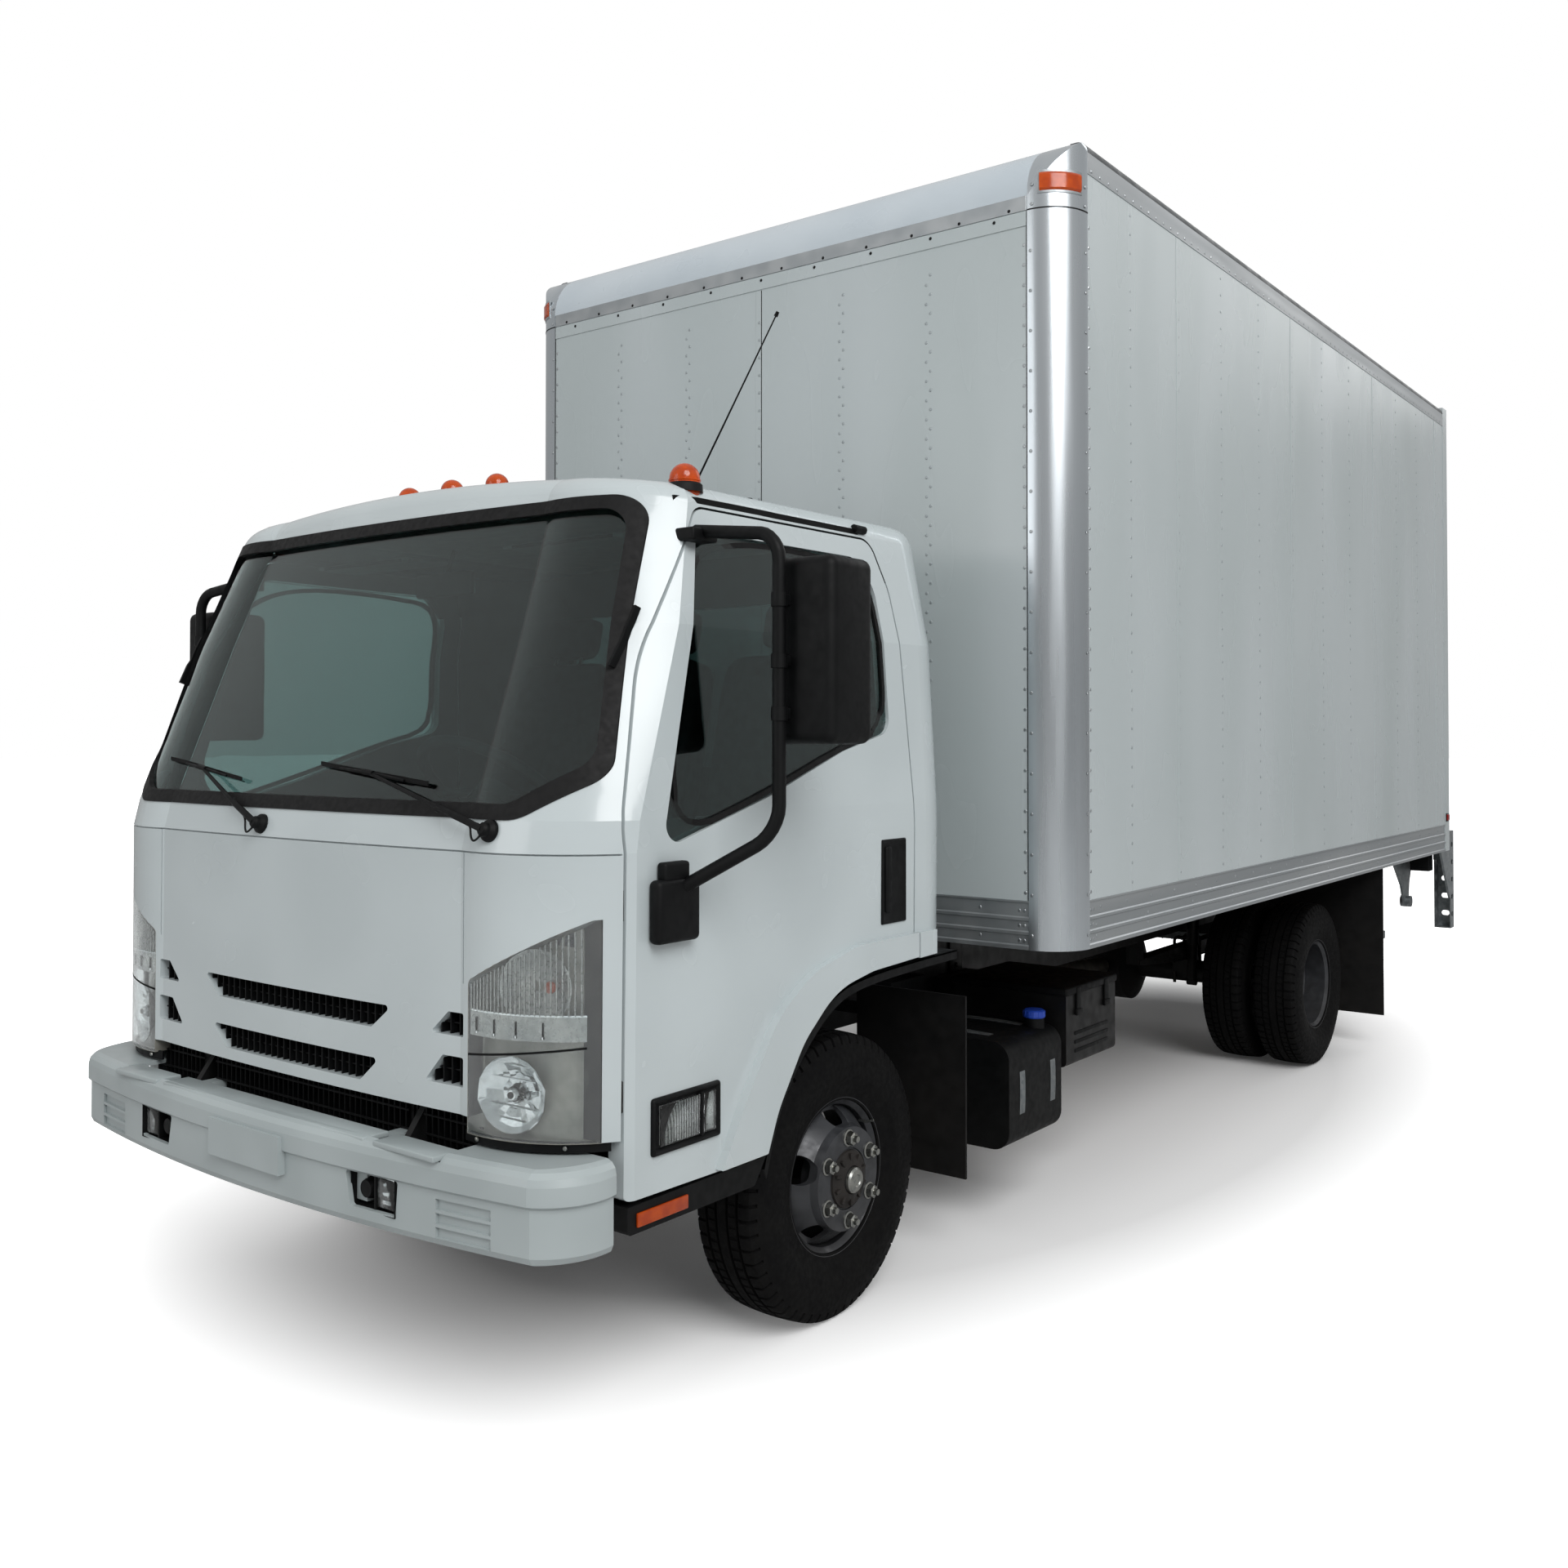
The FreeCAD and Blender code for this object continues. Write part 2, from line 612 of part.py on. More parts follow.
def box_lamps():
    """Marker lamps at the corners and tail lamps in the sill."""
    pieces = []
    rear = BOX_FRONT + BOX_LENGTH
    for x in (BOX_HALF - 459, BOX_HALF - 319):
        pieces += both(cylinder("y", x, (BOX_BOTTOM + BOX_FLOOR_TOP) / 2, 50, (rear, rear + 12)))
    for x in (0.0, 160.0):
        lamp = box((x - 35, x + 35), (rear, rear + 14), (BOX_TOP - 80, BOX_TOP - 50))
        pieces += [lamp] if x == 0 else both(lamp)
    height = (LOWER_RAIL_TOP + 20, LOWER_RAIL_TOP + 60)
    pieces += both(box((BOX_HALF, BOX_HALF + 12), (rear - 80, rear - 30), height))
    return pieces


UPRIGHT_WIDTH = 90.0
UPRIGHT_WALL = 6.0
UPRIGHT_LOW = 459.0
UPRIGHT_TOP = 1026.0
UPRIGHT_SLOTS = 5


def rear_upright():
    """Slotted step channel below the body's left rear corner, open to the front."""
    low, high, wall = UPRIGHT_LOW, UPRIGHT_TOP, UPRIGHT_WALL
    x0, x1 = BOX_HALF - UPRIGHT_WIDTH, BOX_HALF
    channel = box((x0, x1), (BODY_REAR + 15, REAR_END), (low, high))
    hollow = box((x0 + wall, x1 - wall), (BODY_REAR + 14, REAR_END - wall), (low + wall, high - wall))
    channel = channel.cut(hollow)
    pitch = (high - low - 60) / UPRIGHT_SLOTS
    for i in range(UPRIGHT_SLOTS):
        z = low + 30 + (i + 0.5) * pitch
        a, b = x0 + 24, x1 - 24
        rear_slot = [(a, z - 14, 13), (b, z - 14, 13), (b, z + 14, 13), (a, z + 14, 13)]
        channel = channel.cut(prism(rear_slot, "y", (REAR_END - 20, REAR_END + 10)))
        y = (BODY_REAR + 15 + REAR_END) / 2
        side_slot = [(y - 22, z - 14, 13), (y + 22, z - 14, 13), (y + 22, z + 14, 13), (y - 22, z + 14, 13)]
        channel = channel.cut(prism(side_slot, "x", (x1 - 20, x1 + 10)))
    plate = box((x0, x1), (BODY_REAR, BODY_REAR + 15), (BOX_BOTTOM - 60, high))
    gusset = prism([(BODY_REAR - 200, BOX_BOTTOM), (BODY_REAR, 640), (BODY_REAR + 16, 640),
                    (BODY_REAR + 16, BOX_BOTTOM)], "x", (x1 - 12, x1))
    return fused([channel, plate, gusset])


def lift_bracket():
    """Tapered side bracket under the body's sill, with its round boss."""
    x, y, z = BOX_HALF - 200, BODY_REAR - 200, BOX_BOTTOM
    web = prism([(y - 330, z), (y + 160, z), (y + 60, z - 190, 40), (y + 38, z - 320, 30),
                 (y - 38, z - 320, 30), (y - 110, z - 190, 40)], "x", (x, x + 12))
    foot = box((x - 30, x + 42), (y - 330, y + 160), (z - 12, z))
    return fused([web, foot, cylinder("x", y, z - 290, 32, (x - 20, x + 36))])


def liftgate_frame():
    """Fixed part of the liftgate: rear step uprights, side brackets and the main tube on its hangers."""
    y, z = LIFT_PIVOT_Y, LIFT_PIVOT_Z
    tube = cylinder("x", y, z, 36, (-LIFT_ARM_X - 60, LIFT_ARM_X + 60))
    hangers = []
    for s in (-1, 1):
        a, b = sorted((s * FRAME_HALF, s * (FRAME_HALF + 14)))
        top = RAIL_TOP - 10
        plate = prism([(y - 110, top), (y + 170, top), (y + 170, z + 90, 30), (y + 55, z - 50, 30),
                       (y - 55, z - 50, 40), (y - 110, z + 90, 30)], "x", (a, b))
        hangers.append(plate)
    return both(rear_upright()) + both(lift_bracket()) + [fused([tube] + hangers)]


def liftgate_arms():
    """Two arms on the main tube, joined by a cross tube; they carry the platform."""
    y0, z = LIFT_PIVOT_Y, LIFT_PIVOT_Z
    y1 = y0 + LIFT_ARM
    parts = []
    for s in (-1, 1):
        x0, x1 = sorted((s * (LIFT_ARM_X - 20), s * (LIFT_ARM_X + 20)))
        arm = prism([(y0 - 60, z - 60, 55), (y1 + 34, z - 34, 30), (y1 + 34, z + 34, 30),
                     (y0 - 60, z + 60, 55)], "x", (x0, x1))
        bore = cylinder("x", y0, z, 36 + RUNNING_GAP, (x0 - 1, x1 + 1))
        eye = cylinder("x", y1, z, 15 + RUNNING_GAP, (x0 - 1, x1 + 1))
        parts.append(arm.cut(bore).cut(eye))
    tie = cylinder("x", y1 - 200, z, 24, (-LIFT_ARM_X + 20, LIFT_ARM_X - 20))
    return [fused(parts + [tie])]


def liftgate_platform():
    """Folded platform under the body, hung from the arm ends on two lugs."""
    y1, z = LIFT_PIVOT_Y + LIFT_ARM, LIFT_PIVOT_Z
    half = PLATFORM_HALF
    main = box((-half, half), (y1 - 760, y1 + 40), (z - 190, z - 145))
    flip = box((-half, half), (y1 - 760, y1 - 40), (z - 140, z - 95))
    hinge = cylinder("x", y1 - 760, z - 142.5, 18, (-half, half))
    parts = [main, flip, hinge]
    for s in (-1, 1):
        for offset in (-45, 25):
            x0 = s * LIFT_ARM_X + offset
            lug = prism([(y1 - 30, z - 150), (y1 + 40, z - 150), (y1 + 26, z + 26, 20),
                         (y1 - 26, z + 26, 20)], "x", (x0, x0 + 20))
            parts.append(lug)
        pin = cylinder("x", y1, z, 15, (s * LIFT_ARM_X - 45, s * LIFT_ARM_X + 45))
        parts.append(pin)
    return [fused(parts)]


# ---------------------------------------------------------------- cab shell
CAB_SECTIONS = [
    # z, half width, nose y at the middle, x and y where the corner starts, y where the side starts
    (540.0, 1010.0, -1078.0, 640.0, -1060.0, -880.0),
    (COWL_SEAM, CAB_HALF, CAB_NOSE, 640.0, -1058.0, -880.0),
    (SCREEN_BOTTOM, 1014.0, -1062.0, 640.0, -1040.0, -868.0),
    (1850.0, 988.0, -896.0, 620.0, -872.0, -712.0),
    (CAB_TOP, 905.0, -745.0, 580.0, -720.0, -580.0),
]


def cab_section(z, half, nose, corner_x, corner_y, side_y, inset):
    """One level of the cab's outside, set in all round by inset."""
    w, back, r = half - inset, CAB_BACK - inset, REAR_CORNER_RADIUS - inset
    nose, corner_y = nose + inset, corner_y + inset
    mid_x = corner_x + (w - corner_x) * 0.72
    mid_y = corner_y + (side_y - corner_y) * 0.32
    s = math.sqrt(0.5)
    rx, ry = w - r, back - r
    return Part.Wire([
        Part.Arc(V(-corner_x, corner_y, z), V(0, nose, z), V(corner_x, corner_y, z)).toShape(),
        Part.Arc(V(corner_x, corner_y, z), V(mid_x, mid_y, z), V(w, side_y, z)).toShape(),
        Part.makeLine(V(w, side_y, z), V(w, ry, z)),
        Part.Arc(V(w, ry, z), V(rx + r * s, ry + r * s, z), V(rx, back, z)).toShape(),
        Part.makeLine(V(rx, back, z), V(-rx, back, z)),
        Part.Arc(V(-rx, back, z), V(-rx - r * s, ry + r * s, z), V(-w, ry, z)).toShape(),
        Part.makeLine(V(-w, ry, z), V(-w, side_y, z)),
        Part.Arc(V(-w, side_y, z), V(-mid_x, mid_y, z), V(-corner_x, corner_y, z)).toShape(),
    ])


def cab_form(inset):
    """The cab's whole outer form, set in by inset at the sides and the top."""
    wires = []
    for z, half, nose, corner_x, corner_y, side_y in CAB_SECTIONS:
        level = z - inset if z == CAB_TOP else z
        wires.append(cab_section(level, half, nose, corner_x, corner_y, side_y, inset))
    solid = Part.makeLoft(wires, True, True)
    radius = ROOF_CROWN_RADIUS - inset
    crown = cylinder("y", 0, CAB_TOP - ROOF_CROWN_RADIUS, radius, (CAB_NOSE - 100, CAB_BACK + 100))
    solid = solid.common(crown)
    if inset < ROOF_EDGE_RADIUS / 2:
        drop = CAB_HALF ** 2 / (2 * radius)
        top = [e for e in solid.Edges if e.BoundBox.ZMin > CAB_TOP - inset - drop]
        solid = solid.makeFillet(ROOF_EDGE_RADIUS - inset, top)
    return solid


def door_outline(grow):
    """Side view of the door, (y, z); grow sets the outline out all round."""
    points = [
        (DOOR_FRONT, DOOR_BOTTOM, 12), (-440, DOOR_BOTTOM - 8, 4), (-395, 665, 300), (-290, 815, 260),
        (-150, 925, 300), (20, 953, 300), (DOOR_REAR, 962, 6), (DOOR_REAR, 1380, 900), (205, 2000, 150),
        (150, 2140, 60), (-590, 2140, 50), (-800, 1780, 600), (DOOR_FRONT + 2, 1400, 300),
    ]
    wire = outline(points, "x", 500)
    if grow:
        wire = wire.makeOffset2D(grow)
    return Part.Face(wire)


def window_outline():
    """Side view of the door's glass opening."""
    return [(-800, 1330, 40), (-400, 1440, 200), (-80, 1548, 120), (145, 1600, 50), (135, 2005, 90),
            (60, 2085, 60), (-600, 2085, 40)]


def screen_outline(shrink):
    """Front view of the windshield opening, (x, z)."""
    half_low, half_wide, half_top = 800.0, 962.0, 872.0
    s = shrink
    right = [(half_low - s, SCREEN_BOTTOM + s, 120 - s / 2), (half_wide - s, 1500 + s, 60),
             (half_top - s, SCREEN_TOP - s, 90 - s / 2)]
    left = [(-x, z, r) for x, z, r in reversed(right)]
    return right + left


def arch_cut():
    """Wheel arch through the cab's side behind and under the door."""
    return [(-520, 500), (-440, 520), (-395, 665, 300), (-290, 815, 260), (-150, 925, 300),
            (20, 953, 300), (CAB_BACK + 50, 966), (CAB_BACK + 50, 500)]


def make_cab():
    """All pieces cut from the cab's form, by node name."""
    out, inn = cab_form(0), cab_form(CAB_WALL)
    tall = box((-1100, 1100), (-1200, 700), (CAB_BOTTOM, CAB_TOP + 10))
    shell = out.cut(inn)
    side = V(700, 0, 0)
    door_hole = door_outline(DOOR_GAP).extrude(side)
    door_block = door_outline(0).extrude(side)
    glass_out, glass_in = cab_form(GLASS_INSET), cab_form(GLASS_INSET + GLASS)
    sheet = glass_out.cut(glass_in)
    screen = prism(screen_outline(0), "y", (-1200, -420))
    screen_glass = prism(screen_outline(SEAL_WIDTH), "y", (-1200, -420))
    rear_hole = prism([(-640, 1480, 60), (640, 1480, 60), (640, 2020, 60), (-640, 2020, 60)], "y", (300, 700))
    window = prism(window_outline(), "x", (500, 1200))
    nodes = {}
    door = shell.common(door_block)
    lip = flare()
    door = door.cut(window).fuse(lip.common(door_block)).removeSplitter()
    nodes["left_door"] = [door]
    nodes["left_door_window"] = [sheet.common(window)]
    body = shell.common(tall)
    for piece in (door_hole, mirrored(door_hole), screen, rear_hole):
        body = body.cut(piece)
    arch = prism(arch_cut(), "x", (500, 1200))
    under = box((-520, 520), (-800, 700), (500, SEAT_FLOOR - FLOOR_SHEET))
    body = body.cut(arch).cut(mirrored(arch)).cut(under)
    nodes["cab_glass"] = [sheet.common(screen_glass), sheet.common(rear_hole)]
    nodes["windshield_seal"] = [cab_form(-3).cut(glass_in).common(screen.cut(screen_glass))]
    above = box((-1200, 1200), (-1300, 800), (ROOF_SEAM, CAB_TOP + 50))
    nodes["cab_roof"] = [body.common(above)]
    nose = box((-1200, 1200), (-1300, DOOR_FRONT - DOOR_GAP), (CAB_BOTTOM, COWL_SEAM))
    panel = body.common(nose)
    behind = lip.common(box((900, 1100), (DOOR_REAR + DOOR_GAP, FLARE_REAR), (900, 1100)))
    shell = fused([body.cut(above).cut(nose)] + both(behind))
    back = box((-1200, 1200), (DOOR_REAR + DOOR_GAP, CAB_BACK + 50), (500, CAB_TOP))
    nodes["cab_back"] = [shell.common(back)]
    frame = shell.cut(back)
    between = box((-PILLAR_X, PILLAR_X), (-1300, 800), (500, CAB_TOP))
    side_frames = [s for s in frame.cut(between).Solids if s.Volume > CRUMB]
    nodes["cab_pillars"] = [frame.common(between)] + side_frames
    grille_zone = prism([(-690, 735, 12), (690, 735, 12), (662, 972, 12), (-662, 972, 12)],
                        "y", (-1200, -1000))
    lamp_zone = prism([(672, CAB_BOTTOM - 10), (1100, CAB_BOTTOM - 10), (1100, 1196), (960, 1186, 20),
                       (672, 1040, 20)], "y", (-1200, DOOR_FRONT - 40))
    lamp_zone = lamp_zone.cut(mirrored(lamp_zone))
    below = box((-672, 672), (-1200, -900), (CAB_BOTTOM - 10, 735))
    panel = panel.cut(below)
    grille = panel.common(grille_zone)
    for zone in both(lamp_zone):
        grille = grille.cut(zone)
    nodes["grille"] = [grille_openings(grille)]
    lamps = []
    for zone in both(lamp_zone):
        lamps.append(panel.common(zone))
    nodes["cab_lamps"] = lamps
    nodes["roof_lamps"] = roof_lamps(out)
    panel = panel.cut(grille_zone)
    for zone in both(lamp_zone):
        panel = panel.cut(zone)
    groove = [box((-1100, 1100), (-1200, DOOR_FRONT), (COWL_SEAM - SEAM, COWL_SEAM))]
    groove += both(box((648, 648 + SEAM), (-1200, -1000), (1030, COWL_SEAM)))
    under_skin = cab_form(SEAM_DEPTH)
    for slot in groove:
        panel = panel.cut(slot.cut(under_skin))
    nodes["front_panel"] = [panel]
    nodes["cab_floor"] = [fused([cab_floor()] + tilt_ears())]
    nodes["dashboard"] = [dashboard().common(inn).cut(column_room())]
    nodes["wipers"] = [wiper.cut(out) for wiper in wipers()]
    for name in ("left_door", "left_door_window"):
        nodes[name.replace("left", "right")] = [mirrored(s) for s in nodes[name]]
    return nodes


GRILLE_OPENINGS = [
    # half width at the top, at the bottom, top, bottom
    (406.0, 331.0, 953.0, 896.0),
    (361.0, 290.0, 824.0, 765.0),
]
GRILLE_SIDE_OPENINGS = [
    # bottom inner x, top inner x, outer x, bottom, top
    (540.0, 600.0, 652.0, 909.0, 962.0),
    (522.0, 582.0, 652.0, 796.0, 862.0),
]


ROOF_LAMPS = [
    # x, radius, height of the straight part over the roof's middle line
    (0.0, 31.0, CAB_TOP),
    (190.0, 31.0, CAB_TOP - 3),
    (879.0, 38.0, CAB_TOP - 36),
]
ROOF_LAMP_Y = -572.0


def roof_lamps(roof):
    """Five domed marker lamps along the front of the roof, each cut to sit on it."""
    pieces = []
    for x, radius, level in ROOF_LAMPS:
        stem = cylinder("z", x, ROOF_LAMP_Y, radius, (level - 60, level))
        lamp = stem.fuse(Part.makeSphere(radius, V(x, ROOF_LAMP_Y, level))).removeSplitter().cut(roof)
        pieces += [lamp] if x == 0 else both(lamp)
    return pieces


def flare():
    """Raised lip round the front of the left wheel arch, on the door and the shell behind it."""
    x0, x1 = CAB_HALF - 14, CAB_HALF + FLARE_PROUD
    low = DOOR_BOTTOM + 2
    edge = [(-606, low), (-440, low), (-300, 620), (FLARE_REAR, 620), (FLARE_REAR, 1030),
            (-46, 1030, 400), (-254, 983, 300), (-396, 894, 300), (-529, 700, 400)]
    return prism(edge, "x", (x0, x1)).cut(prism(arch_cut(), "x", (x0 - 1, x1 + 1)))


def grille_openings(panel):
    """Two wide openings and two small ones a side cut through the grille."""
    for top_half, low_half, top, low in GRILLE_OPENINGS:
        hole = [(-low_half, low, 8), (low_half, low, 8), (top_half, top, 8), (-top_half, top, 8)]
        panel = panel.cut(prism(hole, "y", (-1200, -900)))
    for low_in, top_in, far, low, top in GRILLE_SIDE_OPENINGS:
        hole = prism([(low_in, low, 5), (far, low, 5), (far, top, 5), (top_in, top, 5)], "y", (-1200, -900))
        panel = panel.cut(hole).cut(mirrored(hole))
    return panel


FOOT_FLOOR = 845.0
SEAT_FLOOR = 1035.0
FLOOR_SHEET = 25.0
FLOOR_FRONT = -1012.0
FOOT_FRONT = -937.0
TUNNEL_HALF = 345.0
STEP_Y = -490.0


def cab_floor():
    """Footwells each side of the engine tunnel, and the raised floor under the seats."""
    wide = CAB_HALF - CAB_WALL - 3
    rear = CAB_BACK - CAB_WALL
    t = FLOOR_SHEET
    front = FLOOR_FRONT
    parts = [box((-wide + 60, wide - 60), (STEP_Y, rear - 150), (SEAT_FLOOR - t, SEAT_FLOOR)),
             box((-700, 700), (rear - 150, rear), (SEAT_FLOOR - t, SEAT_FLOOR)),
             box((-TUNNEL_HALF, TUNNEL_HALF), (front, STEP_Y), (SEAT_FLOOR - t, SEAT_FLOOR))]
    for s in (-1, 1):
        x0, x1 = sorted((s * TUNNEL_HALF, s * (wide - 60)))
        parts.append(box((x0, x1), (FOOT_FRONT, STEP_Y), (FOOT_FLOOR - t, FOOT_FLOOR)))
        parts.append(box((x0, x1), (STEP_Y, STEP_Y + t), (FOOT_FLOOR - t, SEAT_FLOOR)))
        a, b = sorted((s * TUNNEL_HALF, s * (TUNNEL_HALF - t)))
        parts.append(box((a, b), (FOOT_FRONT, STEP_Y + t), (FOOT_FLOOR - t, SEAT_FLOOR)))
    return fused(parts)


def tilt_ears():
    """Plates from the floor down to the pins that the cab tilts on."""
    y0, under = FOOT_FRONT, FOOT_FLOOR - FLOOR_SHEET
    ears = []
    for s in (-1, 1):
        x = sorted((s * (FRAME_HALF + 17), s * (FRAME_HALF + 37)))
        plate = prism([(TILT_Y - 20, TILT_Z + 12), (TILT_Y + 20, TILT_Z - 12), (y0 + 120, under), (y0, under)],
                      "x", x)
        ear = fused([plate, cylinder("x", TILT_Y, TILT_Z, TILT_PIN + 11, x)])
        ears.append(ear.cut(cylinder("x", TILT_Y, TILT_Z, TILT_PIN + RUNNING_GAP, (x[0] - 1, x[1] + 1))))
    return ears


def dashboard():
    """Padded dash across the cab under the windshield."""
    section = [(-995, 1130), (-860, 1100, 30), (-800, 1180, 40), (-830, 1290, 40), (-900, 1330, 40),
               (-995, 1345)]
    return prism(section, "x", (-900, 900))


SEATS = [
    # middle x, width
    (500.0, 500.0),
    (-30.0, 400.0),
    (-500.0, 500.0),
]


def seats():
    """Three seats: cushion, back and headrest blocks on their bases."""
    pieces = []
    for middle, width in SEATS:
        a, b = middle - width / 2, middle + width / 2
        base = box((a + 40, b - 40), (-300, 120), (SEAT_FLOOR, 1130))
        cushion = prism([(-380, 1130, 20), (160, 1130), (190, 1250, 30), (-380, 1270, 40)], "x", (a, b))
        back = prism([(160, 1235), (290, 1215), (400, 1830, 40), (290, 1850, 40)], "x", (a + 10, b - 10))
        head = prism([(325, 1855, 15), (395, 1845, 15), (410, 2010, 30), (335, 2020, 30)], "x",
                     (middle - 120, middle + 120))
        posts = [rod(V(middle + d, 345, 1800), V(middle + d, 362, 1900), 7) for d in (-60, 60)]
        pieces.append(fused([base, cushion, back, head] + posts))
    return pieces


WHEEL_CENTRE = V(430, -770, 1440)
COLUMN_TILT = math.radians(50)
STEERING_RADIUS = 212.0
COLUMN_RADIUS = 34.0
COLUMN_LENGTH = 200.0
HUB_REACH = 55.0
COLUMN_WAY = V(0, -math.cos(COLUMN_TILT), -math.sin(COLUMN_TILT))


def steering_column():
    """Column from the wheel's hub into the dash, and the shaft on down to the footwell floor."""
    top = WHEEL_CENTRE + COLUMN_WAY * (HUB_REACH + RUNNING_GAP)
    knee = WHEEL_CENTRE + COLUMN_WAY * COLUMN_LENGTH
    shaft = cylinder("z", knee.x, knee.y, 22, (FOOT_FLOOR, knee.z))
    return [fused([rod(top, knee, COLUMN_RADIUS), Part.makeSphere(COLUMN_RADIUS, knee), shaft])]


def column_room():
    """Hole through the dash for the column and its shaft."""
    knee = WHEEL_CENTRE + COLUMN_WAY * COLUMN_LENGTH
    room = COLUMN_RADIUS + 3
    shaft = cylinder("z", knee.x, knee.y, room, (FOOT_FLOOR, knee.z))
    return fused([rod(WHEEL_CENTRE, knee, room), Part.makeSphere(room, knee), shaft])


def steering_wheel():
    """Rim, two spokes and hub on the column's end."""
    rim = Part.makeTorus(STEERING_RADIUS, 15, WHEEL_CENTRE, COLUMN_WAY)
    hub = rod(WHEEL_CENTRE - COLUMN_WAY * 10, WHEEL_CENTRE + COLUMN_WAY * HUB_REACH, 55)
    across = rod(WHEEL_CENTRE - V(STEERING_RADIUS, 0, 0), WHEEL_CENTRE + V(STEERING_RADIUS, 0, 0), 11)
    return [fused([hub, rim, across])]


STEP_INNER_X = 800.0


def cab_steps():
    """Step under each door, hung from the cab floor's edge."""
    top = DOOR_BOTTOM - 8 - DOOR_GAP
    tread = prism([(-895, 489, 12), (-452, 489, 12), (-408, top), (-895, top)],
                  "x", (STEP_INNER_X, CAB_HALF - 12))
    wall = box((STEP_INNER_X, STEP_INNER_X + 20), (-880, -560), (top - 5, FOOT_FLOOR - FLOOR_SHEET))
    return both(tread.fuse(wall))


def wipers():
    """Two arms and blades parked along the bottom of the glass."""
    pieces = []
    for pivot in (-136.0, 731.0):
        y = -1088.0 if pivot < 300 else -1052.0
        base = cylinder("y", pivot, 1366, 16, (y + 5, y + 60))
        arm = rod(V(pivot, y, 1366), V(pivot - 330, y - 4, 1480), 7)
        pieces.append(base.fuse(arm))
    return pieces


# ---------------------------------------------------------------- doors' mirrors
def left_mirror():
    """Tube bow on the door's front edge with the mirror head at its middle."""
    x, y = 1215.0, -625.0
    tube = 12.0
    top, low = V(x, y, 2050), V(x, y, 1370)
    bow = [rod(top, low, tube), Part.makeSphere(tube, top), Part.makeSphere(tube, low)]
    bow.append(rod(low, V(1030, -760, 1240), tube))
    bow.append(rod(top, V(950, -610, 2080), tube))
    bow += [box((x - 15, x + 15), (y, -600), (z, z + 40)) for z in (1680, 1860)]
    foot = box((1016, 1042), (-850, -700), (1122, 1270))
    head = prism([(1165, -600, 30), (1345, -600, 40), (1345, -430, 40), (1165, -410, 30)], "z", (1570, 2000))
    rims = [e for e in head.Edges if e.BoundBox.ZLength < 1]
    return [fused(bow + [foot]), head.makeFillet(18, rims)]


# ---------------------------------------------------------------- running gear
def left_knuckle():
    """Fork round the axle's eye with the stub axle and the steering arm."""
    z, r = TYRE_RADIUS, KINGPIN_RADIUS + RUNNING_GAP
    eye = KNUCKLE_EYE_HALF + 2
    yoke = box((KINGPIN_X + 44, KINGPIN_X + 84), (-45, 45), (z - eye - 45, z + eye + 45))
    parts = [yoke]
    for low, high in ((z - eye - 45, z - eye), (z + eye, z + eye + 45)):
        ear = fused([cylinder("z", KINGPIN_X, 0, 42, (low, high)),
                     box((KINGPIN_X, KINGPIN_X + 60), (-40, 40), (low, high))])
        parts.append(ear)
    parts.append(cylinder("x", 0, z, 30, (KINGPIN_X + 80, FRONT_TYRE_X + DISC_FACE - 24)))
    parts.append(cylinder("x", 0, z, 165, (KINGPIN_X + 84, KINGPIN_X + 92)))
    parts.append(box((KINGPIN_X - 26, KINGPIN_X + 26), (36, STEERING_ARM + 26), (z - eye - 45, z - eye - 20)))
    solid = fused(parts)
    pin = cylinder("z", KINGPIN_X, 0, r, (z - eye - 60, z + eye + 60))
    bore = cylinder("z", KINGPIN_X, STEERING_ARM, 10 + RUNNING_GAP, (z - eye - 60, z - eye))
    return [solid.cut(pin).cut(bore)]


def tie_rod():
    """Bar between the steering arms behind the axle."""
    z = TYRE_RADIUS - KNUCKLE_EYE_HALF - 47
    x, y = KINGPIN_X, STEERING_ARM
    bar = cylinder("x", y, z - 18, 14, (-x, x))
    parts = [bar]
    for s in (-1, 1):
        parts.append(cylinder("z", s * x, y, 10, (z - 20, z + 8)))
        parts.append(cylinder("z", s * x, y, 22, (z - 36, z - 3)))
    return [fused(parts)]


def tyre(middle, axle_y):
    """One tyre as a plain closed ring."""
    r, half = TYRE_RADIUS, TYRE_WIDTH / 2
    seat, flange = RIM_RADIUS - 4, RIM_RADIUS + 16
    side = [(RIM_HALF - 22, seat), (RIM_HALF + 2, flange + 3), (half, r - 95), (half - 12, r - 28),
            (half - 34, r)]
    section = [(middle - x, y) for x, y in side] + [(middle + x, y) for x, y in reversed(side)]
    return turned(section, (axle_y, TYRE_RADIUS))


RIM_HALF = 88.0
DISC = 10.0
DISC_FACE = TWIN_SPACING / 2
HUB_FACE_RADIUS = 138.0
WHEEL_BORE = 82.0
HAND_HOLES = 5
HAND_HOLE_HALF = 24.0
HAND_HOLE_LENGTH = 76.0
HAND_HOLE_CIRCLE = 164.0
HAND_HOLE_TURN = 90.0


